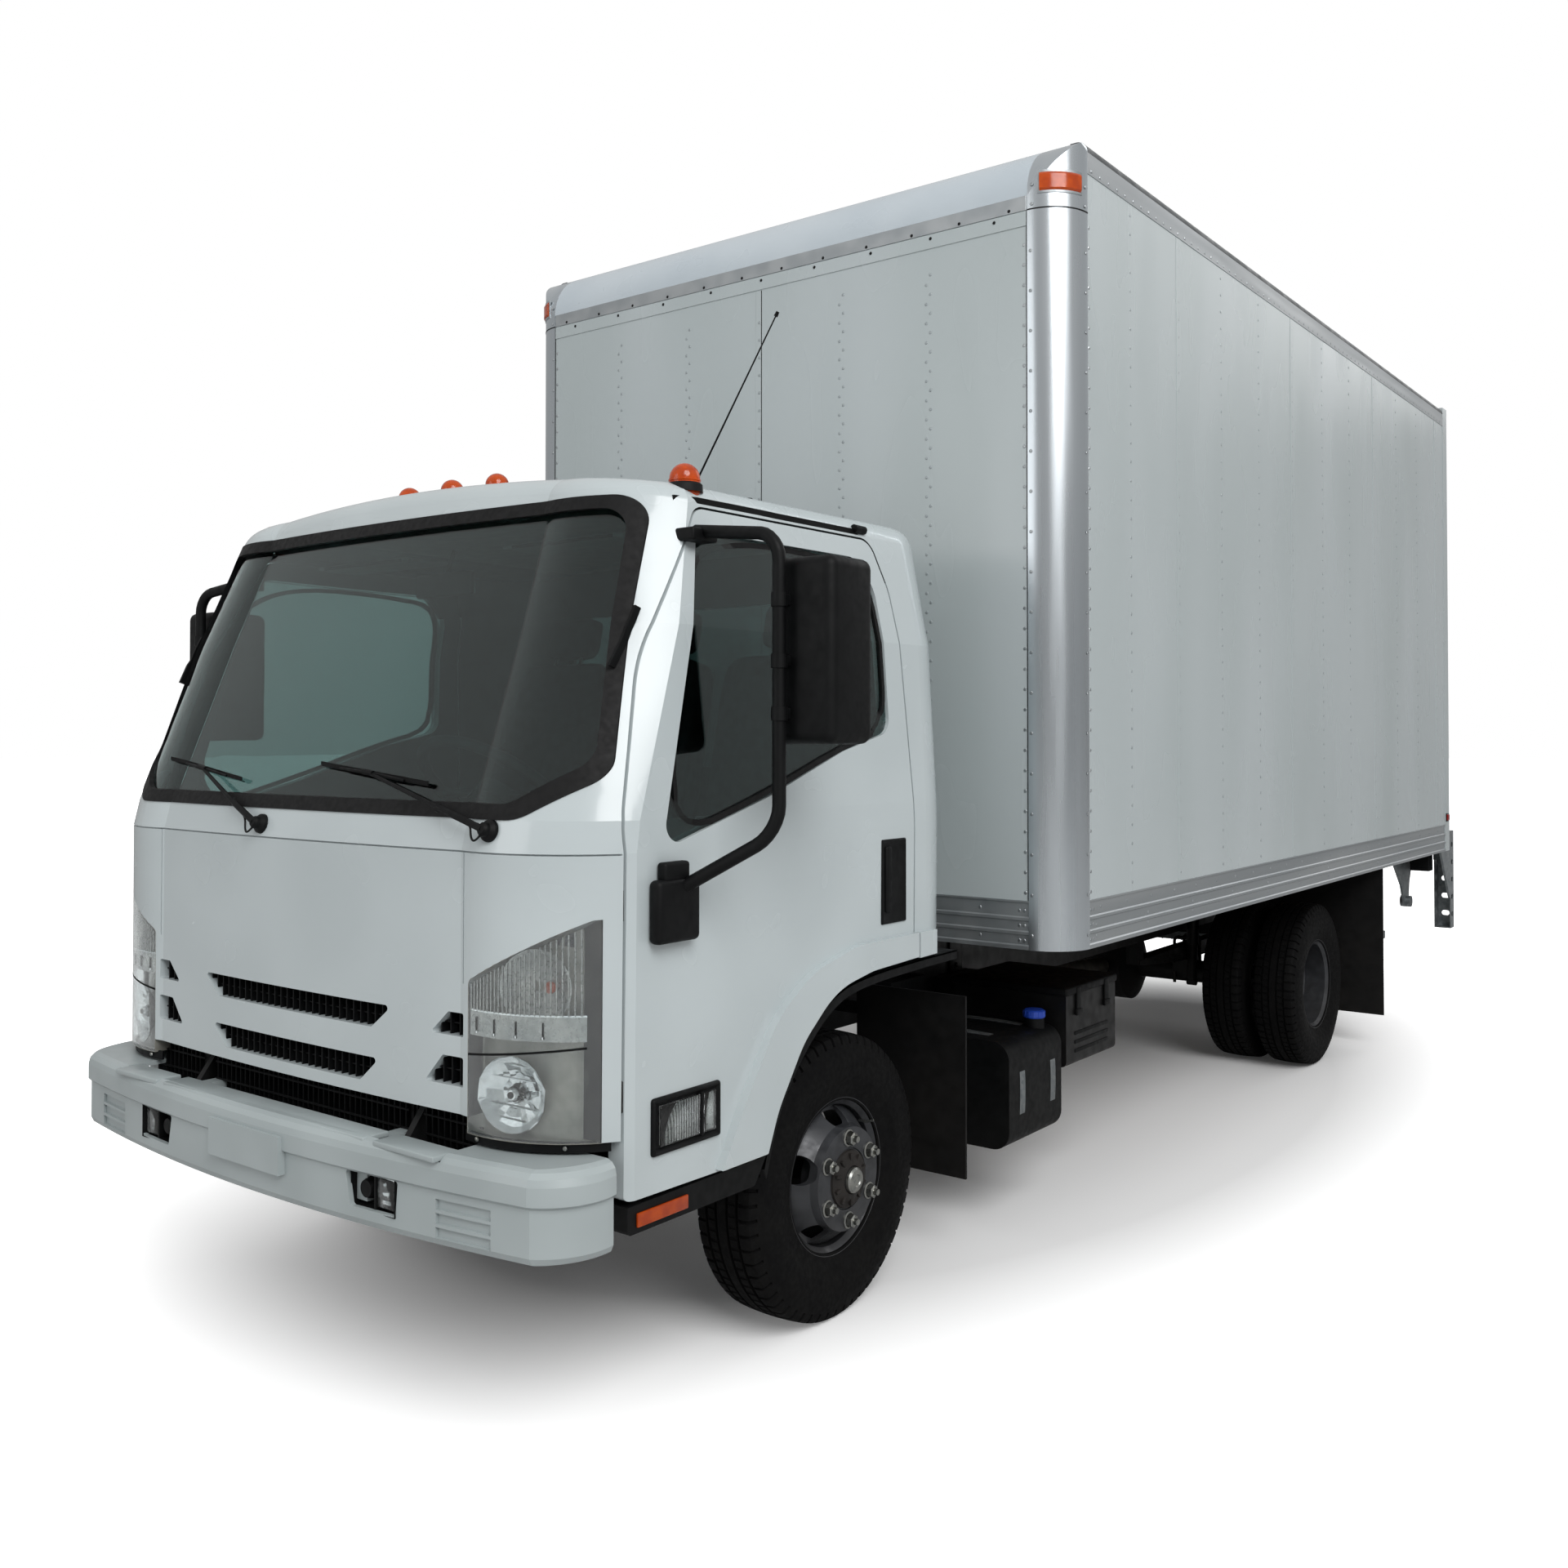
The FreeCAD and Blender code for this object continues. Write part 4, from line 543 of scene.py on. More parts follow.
@dataclass(frozen=True)
class Finish:
    """A painted, moulded, cast or bare surface: two close colours, uneven gloss, grain and road dust.

    The sizes are millimetres; mottle is the size of the colour's patches.
    """

    name: str
    colour: str
    second: str
    roughness: float
    uneven: float
    mottle: float
    grain: float
    depth: float
    metallic: float = 0
    ior: float = 1.5
    specular: float = 0.5
    coat: float = 0
    stretch: tuple[float, float, float] = (1, 1, 1)
    dust: float = 0
    dust_top: float = 900
    dust_colour: str = "8C857A"
    bump: float = 0.6

    def material(self) -> bpy.types.Material:
        """The finish as a material, made once."""
        return bpy.data.materials.get(self.name) or self.build()

    def build(self) -> bpy.types.Material:
        """Makes the material: shader, relief, then what the surface is made of.

        Returns:
            The material.
        """
        material = bpy.data.materials.new(self.name)
        material.use_nodes = True
        tree = material.node_tree
        tree.nodes.clear()
        shader = node(tree, "BsdfPrincipled", {"Metallic": self.metallic})
        if self.metallic < 1:
            shader.inputs["IOR"].default_value = self.ior
            shader.inputs["Specular IOR Level"].default_value = self.specular
        if self.coat:
            shader.inputs["Coat Weight"].default_value = self.coat
            shader.inputs["Coat Roughness"].default_value = COAT_ROUGHNESS
        node(tree, "OutputMaterial", {"Surface": shader})
        place = node(tree, "TexCoord").outputs["Object"]
        vector = node(tree, "Mapping", {"Vector": place, "Scale": self.stretch})
        self.surface(tree, shader, vector)
        bump = node(tree, "Bump", {"Height": self.relief(tree, vector), "Strength": self.bump,
            "Distance": self.depth * MM})
        tree.links.new(bump.outputs["Normal"], shader.inputs["Normal"])
        return material

    def spread(self, tree: Tree, vector: Node) -> Node:
        """How far each spot is from the first colour to the second.

        Args:
            tree: The material's node tree.
            vector: The stretched object coordinates.

        Returns:
            The node whose first output runs from 0 to 1.
        """
        spots = node(tree, "TexNoise", {"Vector": vector, "Scale": 1 / (self.mottle * MM), "Detail": 1})
        return node(tree, "MapRange", {"Value": spots, "From Min": 0.3, "From Max": 0.7},
            interpolation_type="SMOOTHSTEP")

    def colours(self, tree: Tree, vector: Node) -> Socket:
        """The surface's own colour, before dust."""
        return node(tree, "Mix", {0: self.spread(tree, vector), 6: linear(self.colour), 7: linear(self.second)},
            data_type="RGBA").outputs[2]

    def relief(self, tree: Tree, vector: Node) -> Node:
        """Height of the surface's grain."""
        return node(tree, "TexNoise", {"Vector": vector, "Scale": 1 / (self.grain * MM), "Detail": 2})

    def dusted(self, tree: Tree, colour: Socket) -> tuple:
        """Lays road dust over the colour, thickest near the ground.

        Args:
            tree: The material's node tree.
            colour: The clean colour.

        Returns:
            The dusty colour and how much dust there is.
        """
        place = node(tree, "TexCoord").outputs["Object"]
        height = node(tree, "SeparateXYZ", {"Vector": place}).outputs["Z"]
        near = node(tree, "MapRange", {"Value": height, "From Min": 0.1, "From Max": self.dust_top * MM,
            "To Min": self.dust, "To Max": 0})
        film = node(tree, "TexNoise", {"Vector": place, "Scale": 9, "Detail": 2})
        patches = node(tree, "MapRange", {"Value": film, "From Min": 0.3, "From Max": 0.75, "To Min": 0.35,
            "To Max": 1})
        amount = node(tree, "Math", {0: near, 1: patches}, operation="MULTIPLY").outputs[0]
        mixed = node(tree, "Mix", {0: amount, 6: colour, 7: linear(self.dust_colour)}, data_type="RGBA")
        return mixed.outputs[2], amount

    def surface(self, tree: Tree, shader: Node, vector: Node) -> None:
        """Gives the shader its colour and its uneven gloss.

        Args:
            tree: The material's node tree.
            shader: The shader.
            vector: The stretched object coordinates.
        """
        colour = self.colours(tree, vector)
        gloss = node(tree, "TexNoise", {"Vector": vector, "Scale": 2.5 / (self.mottle * MM), "Detail": 1.5})
        low, high = max(self.roughness - self.uneven, 0.02), min(self.roughness + self.uneven, 1)
        rough = node(tree, "MapRange", {"Value": gloss, "From Min": 0.3, "From Max": 0.7, "To Min": low,
            "To Max": high}).outputs[0]
        if self.dust:
            colour, amount = self.dusted(tree, colour)
            rough = node(tree, "Math", {0: rough, 1: amount}, operation="MAXIMUM").outputs[0]
        tree.links.new(colour, shader.inputs["Base Color"])
        tree.links.new(rough, shader.inputs["Roughness"])


@dataclass(frozen=True)
class Spangle(Finish):
    """Hot-dip galvanised steel: crystals of zinc a thumbnail across, each its own grey."""

    crystal_mm: float = 14

    def spread(self, tree: Tree, vector: Node) -> Node:
        """Each crystal's own shade of zinc."""
        cells = node(tree, "TexVoronoi", {"Vector": vector, "Scale": 1 / (self.crystal_mm * MM)})
        return node(tree, "SeparateColor", {"Color": cells.outputs["Color"]})


@dataclass(frozen=True)
class Weave(Finish):
    """Woven seat cloth: two crossing sets of threads, drawn coarse enough to show."""

    thread_mm: float = 3

    def relief(self, tree: Tree, vector: Node) -> Node:
        """Height of the crossing threads.

        Args:
            tree: The material's node tree.
            vector: The stretched object coordinates.

        Returns:
            The node whose first output is the height.
        """
        bands = [node(tree, "TexWave", {"Vector": vector, "Scale": 0.5 / (self.thread_mm * MM),
            "Distortion": 0.4}, bands_direction=way).outputs["Fac"] for way in ("X", "Z")]
        return node(tree, "Math", {0: bands[0], 1: bands[1]}, operation="MULTIPLY")


@dataclass(frozen=True)
class Planks(Finish):
    """Laminated hardwood deck: narrow sticks glued side by side along the body."""

    stick_mm: float = 32

    def spread(self, tree: Tree, vector: Node) -> Node:
        """Each stick's own brown, with grain along it.

        Args:
            tree: The material's node tree.
            vector: The stretched object coordinates.

        Returns:
            The node whose first output runs from 0 to 1.
        """
        parts = node(tree, "SeparateXYZ", {"Vector": vector})
        across = node(tree, "Math", {0: parts.outputs["X"], 1: self.stick_mm * MM}, operation="SNAP")
        along = node(tree, "Math", {0: parts.outputs["Y"], 1: 0.9}, operation="SNAP")
        corner = node(tree, "CombineXYZ", {"X": across, "Y": along})
        own = node(tree, "TexWhiteNoise", {"Vector": corner}, noise_dimensions="3D")
        fine = node(tree, "Mapping", {"Vector": vector, "Scale": (1, 0.06, 1)})
        grain = node(tree, "TexNoise", {"Vector": fine, "Scale": 160, "Detail": 6})
        return node(tree, "Math", {0: own.outputs["Value"], 1: grain}, operation="MULTIPLY")


@dataclass(frozen=True)
class Glazing(Finish):
    """Glass or clear plastic: light goes through it and takes its tint; grime makes it uneven."""

    clear: float = 1
    bump: float = 0.3

    def surface(self, tree: Tree, shader: Node, vector: Node) -> None:
        """Lets light through the shader, tints it and films it with grime.

        Args:
            tree: The material's node tree.
            shader: The shader.
            vector: The stretched object coordinates.
        """
        shader.inputs["Transmission Weight"].default_value = self.clear
        tree.links.new(self.colours(tree, vector), shader.inputs["Base Color"])
        film = node(tree, "TexNoise", {"Vector": vector, "Scale": 2 / (self.mottle * MM), "Detail": 5})
        rough = node(tree, "MapRange", {"Value": film, "From Min": 0.45, "From Max": 0.8,
            "To Min": self.roughness, "To Max": self.roughness + self.uneven})
        tree.links.new(rough.outputs[0], shader.inputs["Roughness"])


class Paint:
    """The finishes of the truck, by what each real surface is."""

    # two-pack cab enamel over filler: hard gloss, faint orange peel, dust towards the sills; the white paint is
    # given a cool grey base colour, painted shade
    cab_enamel = Finish("white_two_pack_enamel", "B8C1C3", "BFC8CA", 0.24, 0.05, 420, 5, 0.012, coat=0.5,
        dust=0.2, dust_top=1000, dust_colour="94938C")
    # the same enamel low on the bumper, greyer than the cab: partly a film of road dirt, partly painted shade
    # for the dark ground under it
    bumper_enamel = Finish("road_filmed_white_enamel", "9EA7A8", "A8B1B2", 0.36, 0.08, 260, 5, 0.012, coat=0.2,
        dust=0.15, dust_top=760, dust_colour="7E7D77")
    # coil-coated aluminium sheet: even, softer gloss than the cab, oil-canned a little between rivets; the
    # white sheet is given a grey base colour, painted shade
    coil_sheet = Finish("coil_coated_aluminium_sheet", "ADB6B7", "B6BEC0", 0.26, 0.06, 520, 210, 0.7,
        stretch=(1, 1, 0.3), dust=0.1, dust_top=1500, dust_colour="94938C")
    # rivet heads painted with the sheet, the paint worn to a soft shine on the domes
    rivet_painted = Finish("painted_rivet_head", "949C9F", "A3AAAC", 0.32, 0.06, 9, 1, 0.02, metallic=0.2)
    # mill-finish extrusion: brushed-looking die lines along Y, dulled by weather
    mill_rail = Finish("mill_finish_aluminium_extrusion", "9FA4A7", "AEB2B4", 0.42, 0.06, 90, 3, 0.012,
        metallic=0.8, stretch=(1, 0.05, 1), dust=0.15, dust_top=1100, dust_colour="77746C")
    # upper edge of the side rails: a dark grey band painted along their top
    weathered_rail = Finish("dirt_streaked_rail_edge", "35383A", "4A4D4F", 0.55, 0.08, 140, 3, 0.03,
        metallic=0.3)
    # pre-painted nose sheet of the box: smooth; its colour is painted lighter and bluer than the walls, a
    # painted reflection of the sky that it faces
    nose_sheet = Finish("prepainted_nose_sheet", "B9C3CA", "C1CAD0", 0.3, 0.05, 300, 90, 0.15, coat=0.2)
    # rolled and anodised corner sheet: die lines run up and down, broad soft sheen
    corner_sheet = Finish("anodised_aluminium_corner", "BFC6CB", "CDD3D7", 0.3, 0.06, 120, 4, 0.02, metallic=1,
        stretch=(1, 1, 0.05))
    # sand-cast corner cap and rivet heads: dull grey, slightly rough
    cast_aluminium = Finish("cast_aluminium", "A4A9AC", "B7BBBD", 0.45, 0.08, 30, 1.5, 0.08, metallic=1)
    # dipped in zinc: flat grey crystals that catch the light one by one
    galvanised = Spangle("hot_dip_galvanised_steel", "7F8588", "999EA0", 0.45, 0.1, 160, 3, 0.05, metallic=0.9,
        dust=0.25, dust_colour="5D5A53")
    # satin chassis black over rolled steel: soft shine under a thin road film
    chassis_black = Finish("satin_chassis_black_enamel", "0A0A0B", "101112", 0.46, 0.1, 120, 4, 0.06,
        specular=0.3, dust=0.22, dust_top=900, dust_colour="3A3733")
    # rusting casting skin: brown-black, open texture
    cast_iron = Finish("sand_cast_iron", "1D1B1A", "2A2725", 0.62, 0.1, 70, 2.5, 0.25, metallic=0.4, dust=0.3,
        dust_colour="453E38")
    # silencer steel: aluminium-dipped, warmed to brown by heat
    aluminised = Finish("aluminised_steel_tube", "5B5955", "6C6862", 0.5, 0.1, 60, 2, 0.08, metallic=0.9,
        dust=0.3)
    # bright zinc under a clear passivate: small sharp highlights on the bolt heads
    zinc_bolt = Finish("zinc_plated_fastener", "8E908D", "A4A49E", 0.34, 0.08, 12, 1, 0.03, metallic=1)
    # moulded bumper and mirror plastic: fine pebble grain, matt
    moulded_black = Finish("grained_black_polypropylene", "050607", "0B0C0D", 0.54, 0.08, 60, 1.6, 0.08,
        specular=0.18, dust=0.1, dust_top=700, dust_colour="403D38")
    # weather strip: dull, slightly powdery black
    seal_rubber = Finish("extruded_epdm_rubber", "070708", "0D0D0E", 0.6, 0.08, 40, 2, 0.05, ior=1.52,
        specular=0.25)
    # splash guard: rolled flat, streaked where spray has dried
    flap_rubber = Finish("calendered_rubber_sheet", "070708", "100F0F", 0.62, 0.1, 90, 3, 0.1, ior=1.52,
        specular=0.25, dust=0.2, dust_top=800, dust_colour="3C3933")
    # cured tyre compound: near black, a breath greyer where it has rolled through dust
    tyre_rubber = Finish("cured_tyre_rubber", "040405", "090909", 0.72, 0.1, 40, 2.5, 0.12, ior=1.52,
        specular=0.12, dust=0.05, dust_top=820, dust_colour="35322E")
    # stoved silver on the pressed wheels, given a dark grey colour: painted shade of the silver, with brake
    # dust over it
    wheel_enamel = Finish("silver_wheel_enamel", "313337", "3E4044", 0.4, 0.1, 50, 1.5, 0.05, metallic=0.3,
        dust=0.5, dust_top=780, dust_colour="3F3C38")
    # vacuum metallised plastic: mirror bright in the facets
    bright_chrome = Finish("vacuum_metallised_reflector", "B9BCBD", "C6C9C9", 0.12, 0.04, 20, 2, 0.01,
        metallic=1)
    # fluted reflector: bright ribs that break up what they mirror
    flute_silver = Finish("metallised_fluted_plastic", "8F918F", "A5A6A3", 0.3, 0.06, 20, 3, 0.02, metallic=0.6)
    # inside of the lamp: warm grey satin plastic that the lens makes look deeper
    lamp_case = Finish("grey_lamp_bezel_plastic", "86857E", "94938B", 0.36, 0.06, 30, 3, 0.04, metallic=0.2)
    # silvered behind the glass: a clean reflection
    mirror_silver = Finish("back_silvered_mirror", "D5DADB", "DDE1E2", 0.04, 0.02, 90, 30, 0.005, metallic=1)
    # laminated windscreen with a green-grey tint, wiped and slightly filmed
    tinted_glass = Glazing("tinted_safety_glass", "7C9492", "849B99", 0, 0.02, 600, 400, 0.02, ior=1.52)
    # hard-coated lamp lens: clear with a faint haze
    clear_lens = Glazing("clear_polycarbonate_lens", "D3D8D9", "DEE2E2", 0.03, 0.06, 80, 20, 0.05, ior=1.58)
    # moulded amber: deep orange, bright where it is thin
    amber_lens = Glazing("amber_acrylic_lens", "E2590C", "C9480A", 0.12, 0.08, 30, 4, 0.3, ior=1.49, clear=0.45)
    # moulded red with fine optics
    red_lens = Glazing("red_acrylic_lens", "B3120C", "9A0D0A", 0.12, 0.08, 30, 4, 0.3, ior=1.49, clear=0.4)
    # flat-woven polyester over foam: matt, threads just visible
    cloth = Weave("woven_polyester_seat_cloth", "2A2C2F", "36393D", 0.85, 0.06, 30, 2, 0.5)
    # bolsters in embossed vinyl: small soft highlights
    vinyl = Finish("grained_seat_vinyl", "18191B", "212326", 0.5, 0.07, 40, 2, 0.15)
    # dashboard moulding: leather-like grain, matt
    dash_plastic = Finish("textured_abs_dashboard", "2B2E30", "343739", 0.58, 0.06, 80, 1.5, 0.12)
    # lower trim panels of the cab: dark grey moulding
    trim_panel = Finish("grained_grey_trim_panel", "3C4042", "474B4D", 0.6, 0.06, 90, 1.8, 0.1)
    # moulded headlining: fibrous and soft, no shine
    headlining = Finish("pressed_felt_headlining", "6E7272", "7A7D7C", 0.9, 0.05, 40, 2, 0.3)
    # screw cap of the fluid tank
    blue_cap = Finish("blue_polyethylene_cap", "1B3FA6", "2349B4", 0.4, 0.08, 20, 1, 0.05)
    # truck flooring: glued sticks, each its own brown, greyed by traffic
    deck_wood = Planks("laminated_hardwood_deck", "6B4A2D", "A57C52", 0.6, 0.08, 60, 3, 0.2)


# ---------------------------------------------------------------- running gear
@dataclass
class Tyres:
    """Ribbed radial tyres: a lathed carcass with sipes pressed into its ribs."""

    front_x: float = 838
    twin_x: tuple[float, ...] = (700, 950)
    steps: int = 240
    # half of the section from the middle of the tread: along the axle, radius
    half: tuple[Span, ...] = ((13.5, 385.9), (15, 377), (21, 377), (22.5, 385.6), (45, 384.6), (46.5, 375.5),
        (53, 375.5), (54.5, 384), (80, 381.5), (86, 378), (92, 368), (96, 356), (100, 343), (101, 341),
        (104.5, 325), (107, 305), (107.4, 291), (106.5, 270), (104, 262), (103, 260), (98, 238), (91, 222),
        (86, 204), (66, 199))
    # the cuts: least radius, band across the tread, one step in so many, depth
    sipes: tuple[tuple[float, Span, int, float], ...] = ((360, (56, 95), 4, 6), (383, (23, 45), 3, 3.6))
    sipe_wall: float = 2.4

    def build(self) -> None:
        """Makes the six tyres; each node is stood for by its first one."""
        section = [*self.half, *((-u, r) for u, r in reversed(self.half))]
        for side in Side:
            for name, wheel, middles, axle in (("front_tyre", "front_wheel", (self.front_x,), 0),
                    ("rear_tyres", "rear_wheels", self.twin_x, WHEELBASE)):
                for index, middle in enumerate(middles):
                    form = Form()
                    centre = at(side * middle, axle, WHEEL_RADIUS)
                    form.lathe(section, centre, Axis.X.way, self.steps, closed=True)
                    bmesh.ops.recalc_face_normals(form.bm, faces=form.bm.faces)
                    self.cut(form, centre)
                    piece = form.piece(f"{side.word}_{name}_tread_{index}", f"{side.word}_{wheel}",
                        Paint.tyre_rubber, "tyre", smooth=28)
                    if index == 0:
                        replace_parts(piece, f"{side.word}_{name}")

    def cut(self, form: Form, centre: Vector) -> None:
        """Presses grooves into the shoulder blocks and fine cuts into the ribs.

        Args:
            form: The tyre's mesh.
            centre: Middle of the tyre.
        """
        chosen: list[list] = [[] for _ in self.sipes]
        for face in form.bm.faces:
            spot = (face.calc_center_median() - centre) / MM
            turn = int((math.atan2(spot.z, spot.y) + math.pi) / FULL * self.steps)
            for faces, (least, (near, far), every, _) in zip(chosen, self.sipes):
                chosen_step = (turn + (2 if spot.x > 0 else 0)) % every == 0
                if chosen_step and math.hypot(spot.y, spot.z) > least and near < abs(spot.x) < far:
                    faces.append(face)
        wall = self.sipe_wall * MM
        bmesh.ops.inset_region(form.bm, faces=chosen[0], thickness=wall, depth=-self.sipes[0][3] * MM)
        bmesh.ops.inset_individual(form.bm, faces=chosen[1], thickness=wall, depth=-self.sipes[1][3] * MM)


@dataclass
class WheelTrim:
    """Nuts, studs, hub caps and valves."""

    nut_circle: float = 111
    nuts: int = 6
    nut_height: float = 20
    front_face: float = 963
    rear_face: float = 835
    front_cap: float = 981
    rear_hub: float = 920

    def build(self) -> None:
        """Makes the trim of the four hubs."""
        for side in Side:
            self.fasteners(side, f"{side.word}_front_wheel", 0, self.front_face, -62)
            self.fasteners(side, f"{side.word}_rear_wheels", WHEELBASE, self.rear_face, 40)
            self.front_hub(side, f"{side.word}_front_wheel")
            self.rear_flange(side, f"{side.word}_rear_wheels")

    def fasteners(self, side: Side, body: str, axle: float, face: float, valve: float) -> None:
        """Hex nuts on studs, each with its flange, and the tyre's valve.

        Args:
            side: Side of the truck.
            body: Body that they turn with.
            axle: Where the axle is.
            face: Outer face of the disc along X.
            valve: How far outside that face the valve's foot is.
        """
        form = Form()
        out = Axis.X.way * side
        centre = at(side * face, axle, WHEEL_RADIUS)
        foot = centre + mm(0, 0, self.nut_circle)
        head = foot + out * self.nut_height * MM
        made = form.lathe([(0, 23), (3, 23), (5, 19)], foot, out, 18)
        made += form.bar(foot + out * 4 * MM, head, 19, 18, 6)
        made += form.bar(head, head + out * 3 * MM, 17, 13, 6)
        made += form.bar(head, head + out * 13 * MM, 9.5, 8.5, 12)
        form.ring(made, centre, out, self.nuts)
        form.piece(f"{body}_nuts", body, Paint.zinc_bolt, "wheel_silver", smooth=30)
        root = at(side * (face + valve), axle + 140, WHEEL_RADIUS + 118)
        tube(f"{body}_valve", body, [root, root + out * 26 * MM, root + out * 46 * MM + mm(0, 6, 6)], 4,
            Paint.zinc_bolt, "wheel_silver", 12)

    def front_hub(self, side: Side, body: str) -> None:
        """Black hub barrel with ribs round a bright grease cap.

        Args:
            side: Side of the truck.
            body: Body that the pieces turn with.
        """
        out = Axis.X.way * side
        centre = at(side * self.front_cap, 0, WHEEL_RADIUS)
        form = Form()
        form.lathe([(-20, 78), (-14, 76), (-12, 60), (-4, 50), (-2, 38), (-6, 34)], centre, out, 40)
        rib = form.block((side * (self.front_cap - 14), -4, WHEEL_RADIUS + 40),
            (side * (self.front_cap - 5), 4, WHEEL_RADIUS + 70), 1.5)
        form.ring(rib, centre, out, 10)
        form.piece(f"{body}_hub_face", body, Paint.cast_iron, "wheel_silver")
        form = Form()
        form.lathe([(-2, 35), (6, 34), (11, 29), (13, 17), (10, 14), (10, 0)], centre, out, 32)
        form.piece(f"{body}_grease_cap", body, Paint.zinc_bolt, "wheel_silver")

    def rear_flange(self, side: Side, body: str) -> None:
        """Axle shaft flange with its ring of bolts.

        Args:
            side: Side of the truck.
            body: Body that the pieces turn with.
        """
        out = Axis.X.way * side
        centre = at(side * self.rear_hub, WHEELBASE, WHEEL_RADIUS)
        form = Form()
        form.lathe([(-6, 60), (0, 68), (9, 67), (11, 40), (17, 34), (18, 0)], centre, out, 36)
        foot = centre + mm(0, 0, 54)
        form.ring(form.bar(foot + out * 8 * MM, foot + out * 19 * MM, 8, None, 6), centre, out, 8)
        form.piece(f"{body}_axle_flange", body, Paint.cast_iron, "wheel_silver")


@dataclass
class Undercarriage:
    """Spring clamps, shock absorbers, tank straps, frame bolts and the small fittings on the rails."""

    spring_x: float = 385
    rail_x: float = 425
    # each axle's U-bolts: name, axle line, their low and high end
    clamps: tuple[tuple[str, float, float, float], ...] = (("front", 0, 260, 440),
        ("rear", WHEELBASE, 330, 560))
    # each spring: axle line, height of its seat, rise of its ends, half its length, leaves
    packs: tuple[tuple[float, float, float, float, int], ...] = ((0, 364, 120, 620, 3),
        (WHEELBASE, 458, 40, 660, 4))
    # each damper: y of its foot, height of its foot and top
    dampers: tuple[Span3, ...] = ((130, 330, 700), (WHEELBASE - 150, 360, 720))
    crossmembers: tuple[float, ...] = (1120, 2450, 3250, 4480, 4820)
    mounts: tuple[float, ...] = (1450, 2250, 3050, 4300)
    leaf_pitch: float = 11
    longest_leaf: float = 0.92
    leaf_step: float = 0.17

    def build(self) -> None:
        """Makes the fittings under the truck."""
        for side in Side:
            for name, axle, low, high in self.clamps:
                x0, x1 = side * (self.spring_x - 42), side * (self.spring_x + 42)
                for index, y in enumerate((axle - 62, axle + 62)):
                    tube(f"{side.word}_{name}_ubolt_{index}", "chassis",
                        [at(x0, y, low), at(x0, y, high), at(x1, y, high), at(x1, y, low)], 8, Paint.cast_iron,
                        "frame_black", 22)
        for make in (self.leaves, self.shocks):
            for side in Side:
                make(side)
        self.rail_bolts()
        self.fluid_tank()
        self.battery_lid()
        for side in Side:
            x = side * (self.rail_x - 20)
            tube(f"{side.word}_loom", "chassis", [at(x, 600, 790), at(x, 1400, 808), at(x, 2600, 806),
                at(x, 3500, 806), at(x, 4800, 806)], 9, Paint.seal_rubber, "black_plastic", 60)

    def leaves(self, side: Side) -> None:
        """Edges of the separate leaves, as thin ledges along each pack.

        Args:
            side: Side of the truck.
        """
        form = Form()
        for axle, seat, rise, half, count in self.packs:
            for leaf in range(count):
                reach = half * (self.longest_leaf - self.leaf_step * leaf)
                steps = [-reach + reach * step / 8 for step in range(17)]
                form.ribbon([at(side * (self.spring_x - 38), axle + along,
                    seat + rise * (along / half) ** 2 + 36 - leaf * self.leaf_pitch) for along in steps],
                    mm(side * 76, 0, 0), 5)
        form.piece(f"{side.word}_spring_leaves", "chassis", Paint.chassis_black, "frame_black")

    def shocks(self, side: Side) -> None:
        """Telescopic dampers between the axles and the rails.

        Args:
            side: Side of the truck.
        """
        form = Form()
        for y, foot, top in self.dampers:
            low, high = at(side * 470, y, foot), at(side * 455, y + 60, top)
            middle = low.lerp(high, 0.52)
            form.bar(low, middle, 24)
            form.bar(middle, high, 30)
            form.bar(middle - (high - low) * 0.03, middle, 31)
            for spot in (low, high):
                form.bar(spot - mm(22, 0, 0), spot + mm(22, 0, 0), 20)
        form.piece(f"{side.word}_dampers", "chassis", Paint.chassis_black, "frame_black")

    def rail_bolts(self) -> None:
        """Bolt heads in fours where each crossmember meets the rail's web, and body mounting plates."""
        form = Form()
        bolts = [(self.rail_x, y + dy, z) for y in self.crossmembers for dy in (-22, 22) for z in (690, 760)]
        for y in self.mounts:
            form.mirror(form.block((self.rail_x + 0.5, y - 45, 700), (self.rail_x + 9, y + 45, 880), 2))
            bolts += [(self.rail_x + 9, y, z) for z in (725, 765, 850)]
        for spot in bolts:
            form.mirror(form.studs(at(*spot), Axis.X.way, 10, 8, 6))
        form.piece("frame_bolts_and_plates", "chassis", Paint.chassis_black, "frame_black")

    def fluid_tank(self) -> None:
        """Blue filler cap with its grip ribs, and the steel straps of the exhaust fluid tank."""
        form = Form()
        top = at(930, 1130, 640)
        form.lathe([(0, 36), (4, 38), (22, 36), (26, 31), (27, 0)], top, Axis.Z.way, 30)
        form.ring(form.block((928, 1092, 642), (932, 1099, 662), 1, 1), top, Axis.Z.way, 14)
        form.piece("fluid_tank_cap", "chassis", Paint.blue_cap, "black_plastic")
        form = Form()
        for y in (900, 1110):
            path = [at(x, y, z) for x, z in ((498, 300), (498, 612), (960, 614), (1001, 570), (1003, 330),
                (960, 266), (560, 264))]
            form.ribbon(rounded(path, 2), mm(0, 34, 0), 2.5)
        form.piece("fluid_tank_straps", "chassis", Paint.galvanised, "galvanised")

    def battery_lid(self) -> None:
        """Lid with a raised rim, rubber latches and vents on the battery box."""
        form = Form()
        form.recess(form.block((552, 1220, 700), (1006, 1622, 728), 8, 3), Axis.Z.way, 0.05, 30, 6)
        for y in (1310, 1530):
            form.block((1001, y - 16, 640), (1009, y + 16, 722), 3)
            form.block((1001, y - 22, 628), (1012, y + 22, 650), 3)
        for z in (500, 530, 560):
            form.block((998, 1290, z), (1003, 1550, z + 12), 2)
        form.piece("battery_lid", "chassis", Paint.moulded_black, "black_plastic")


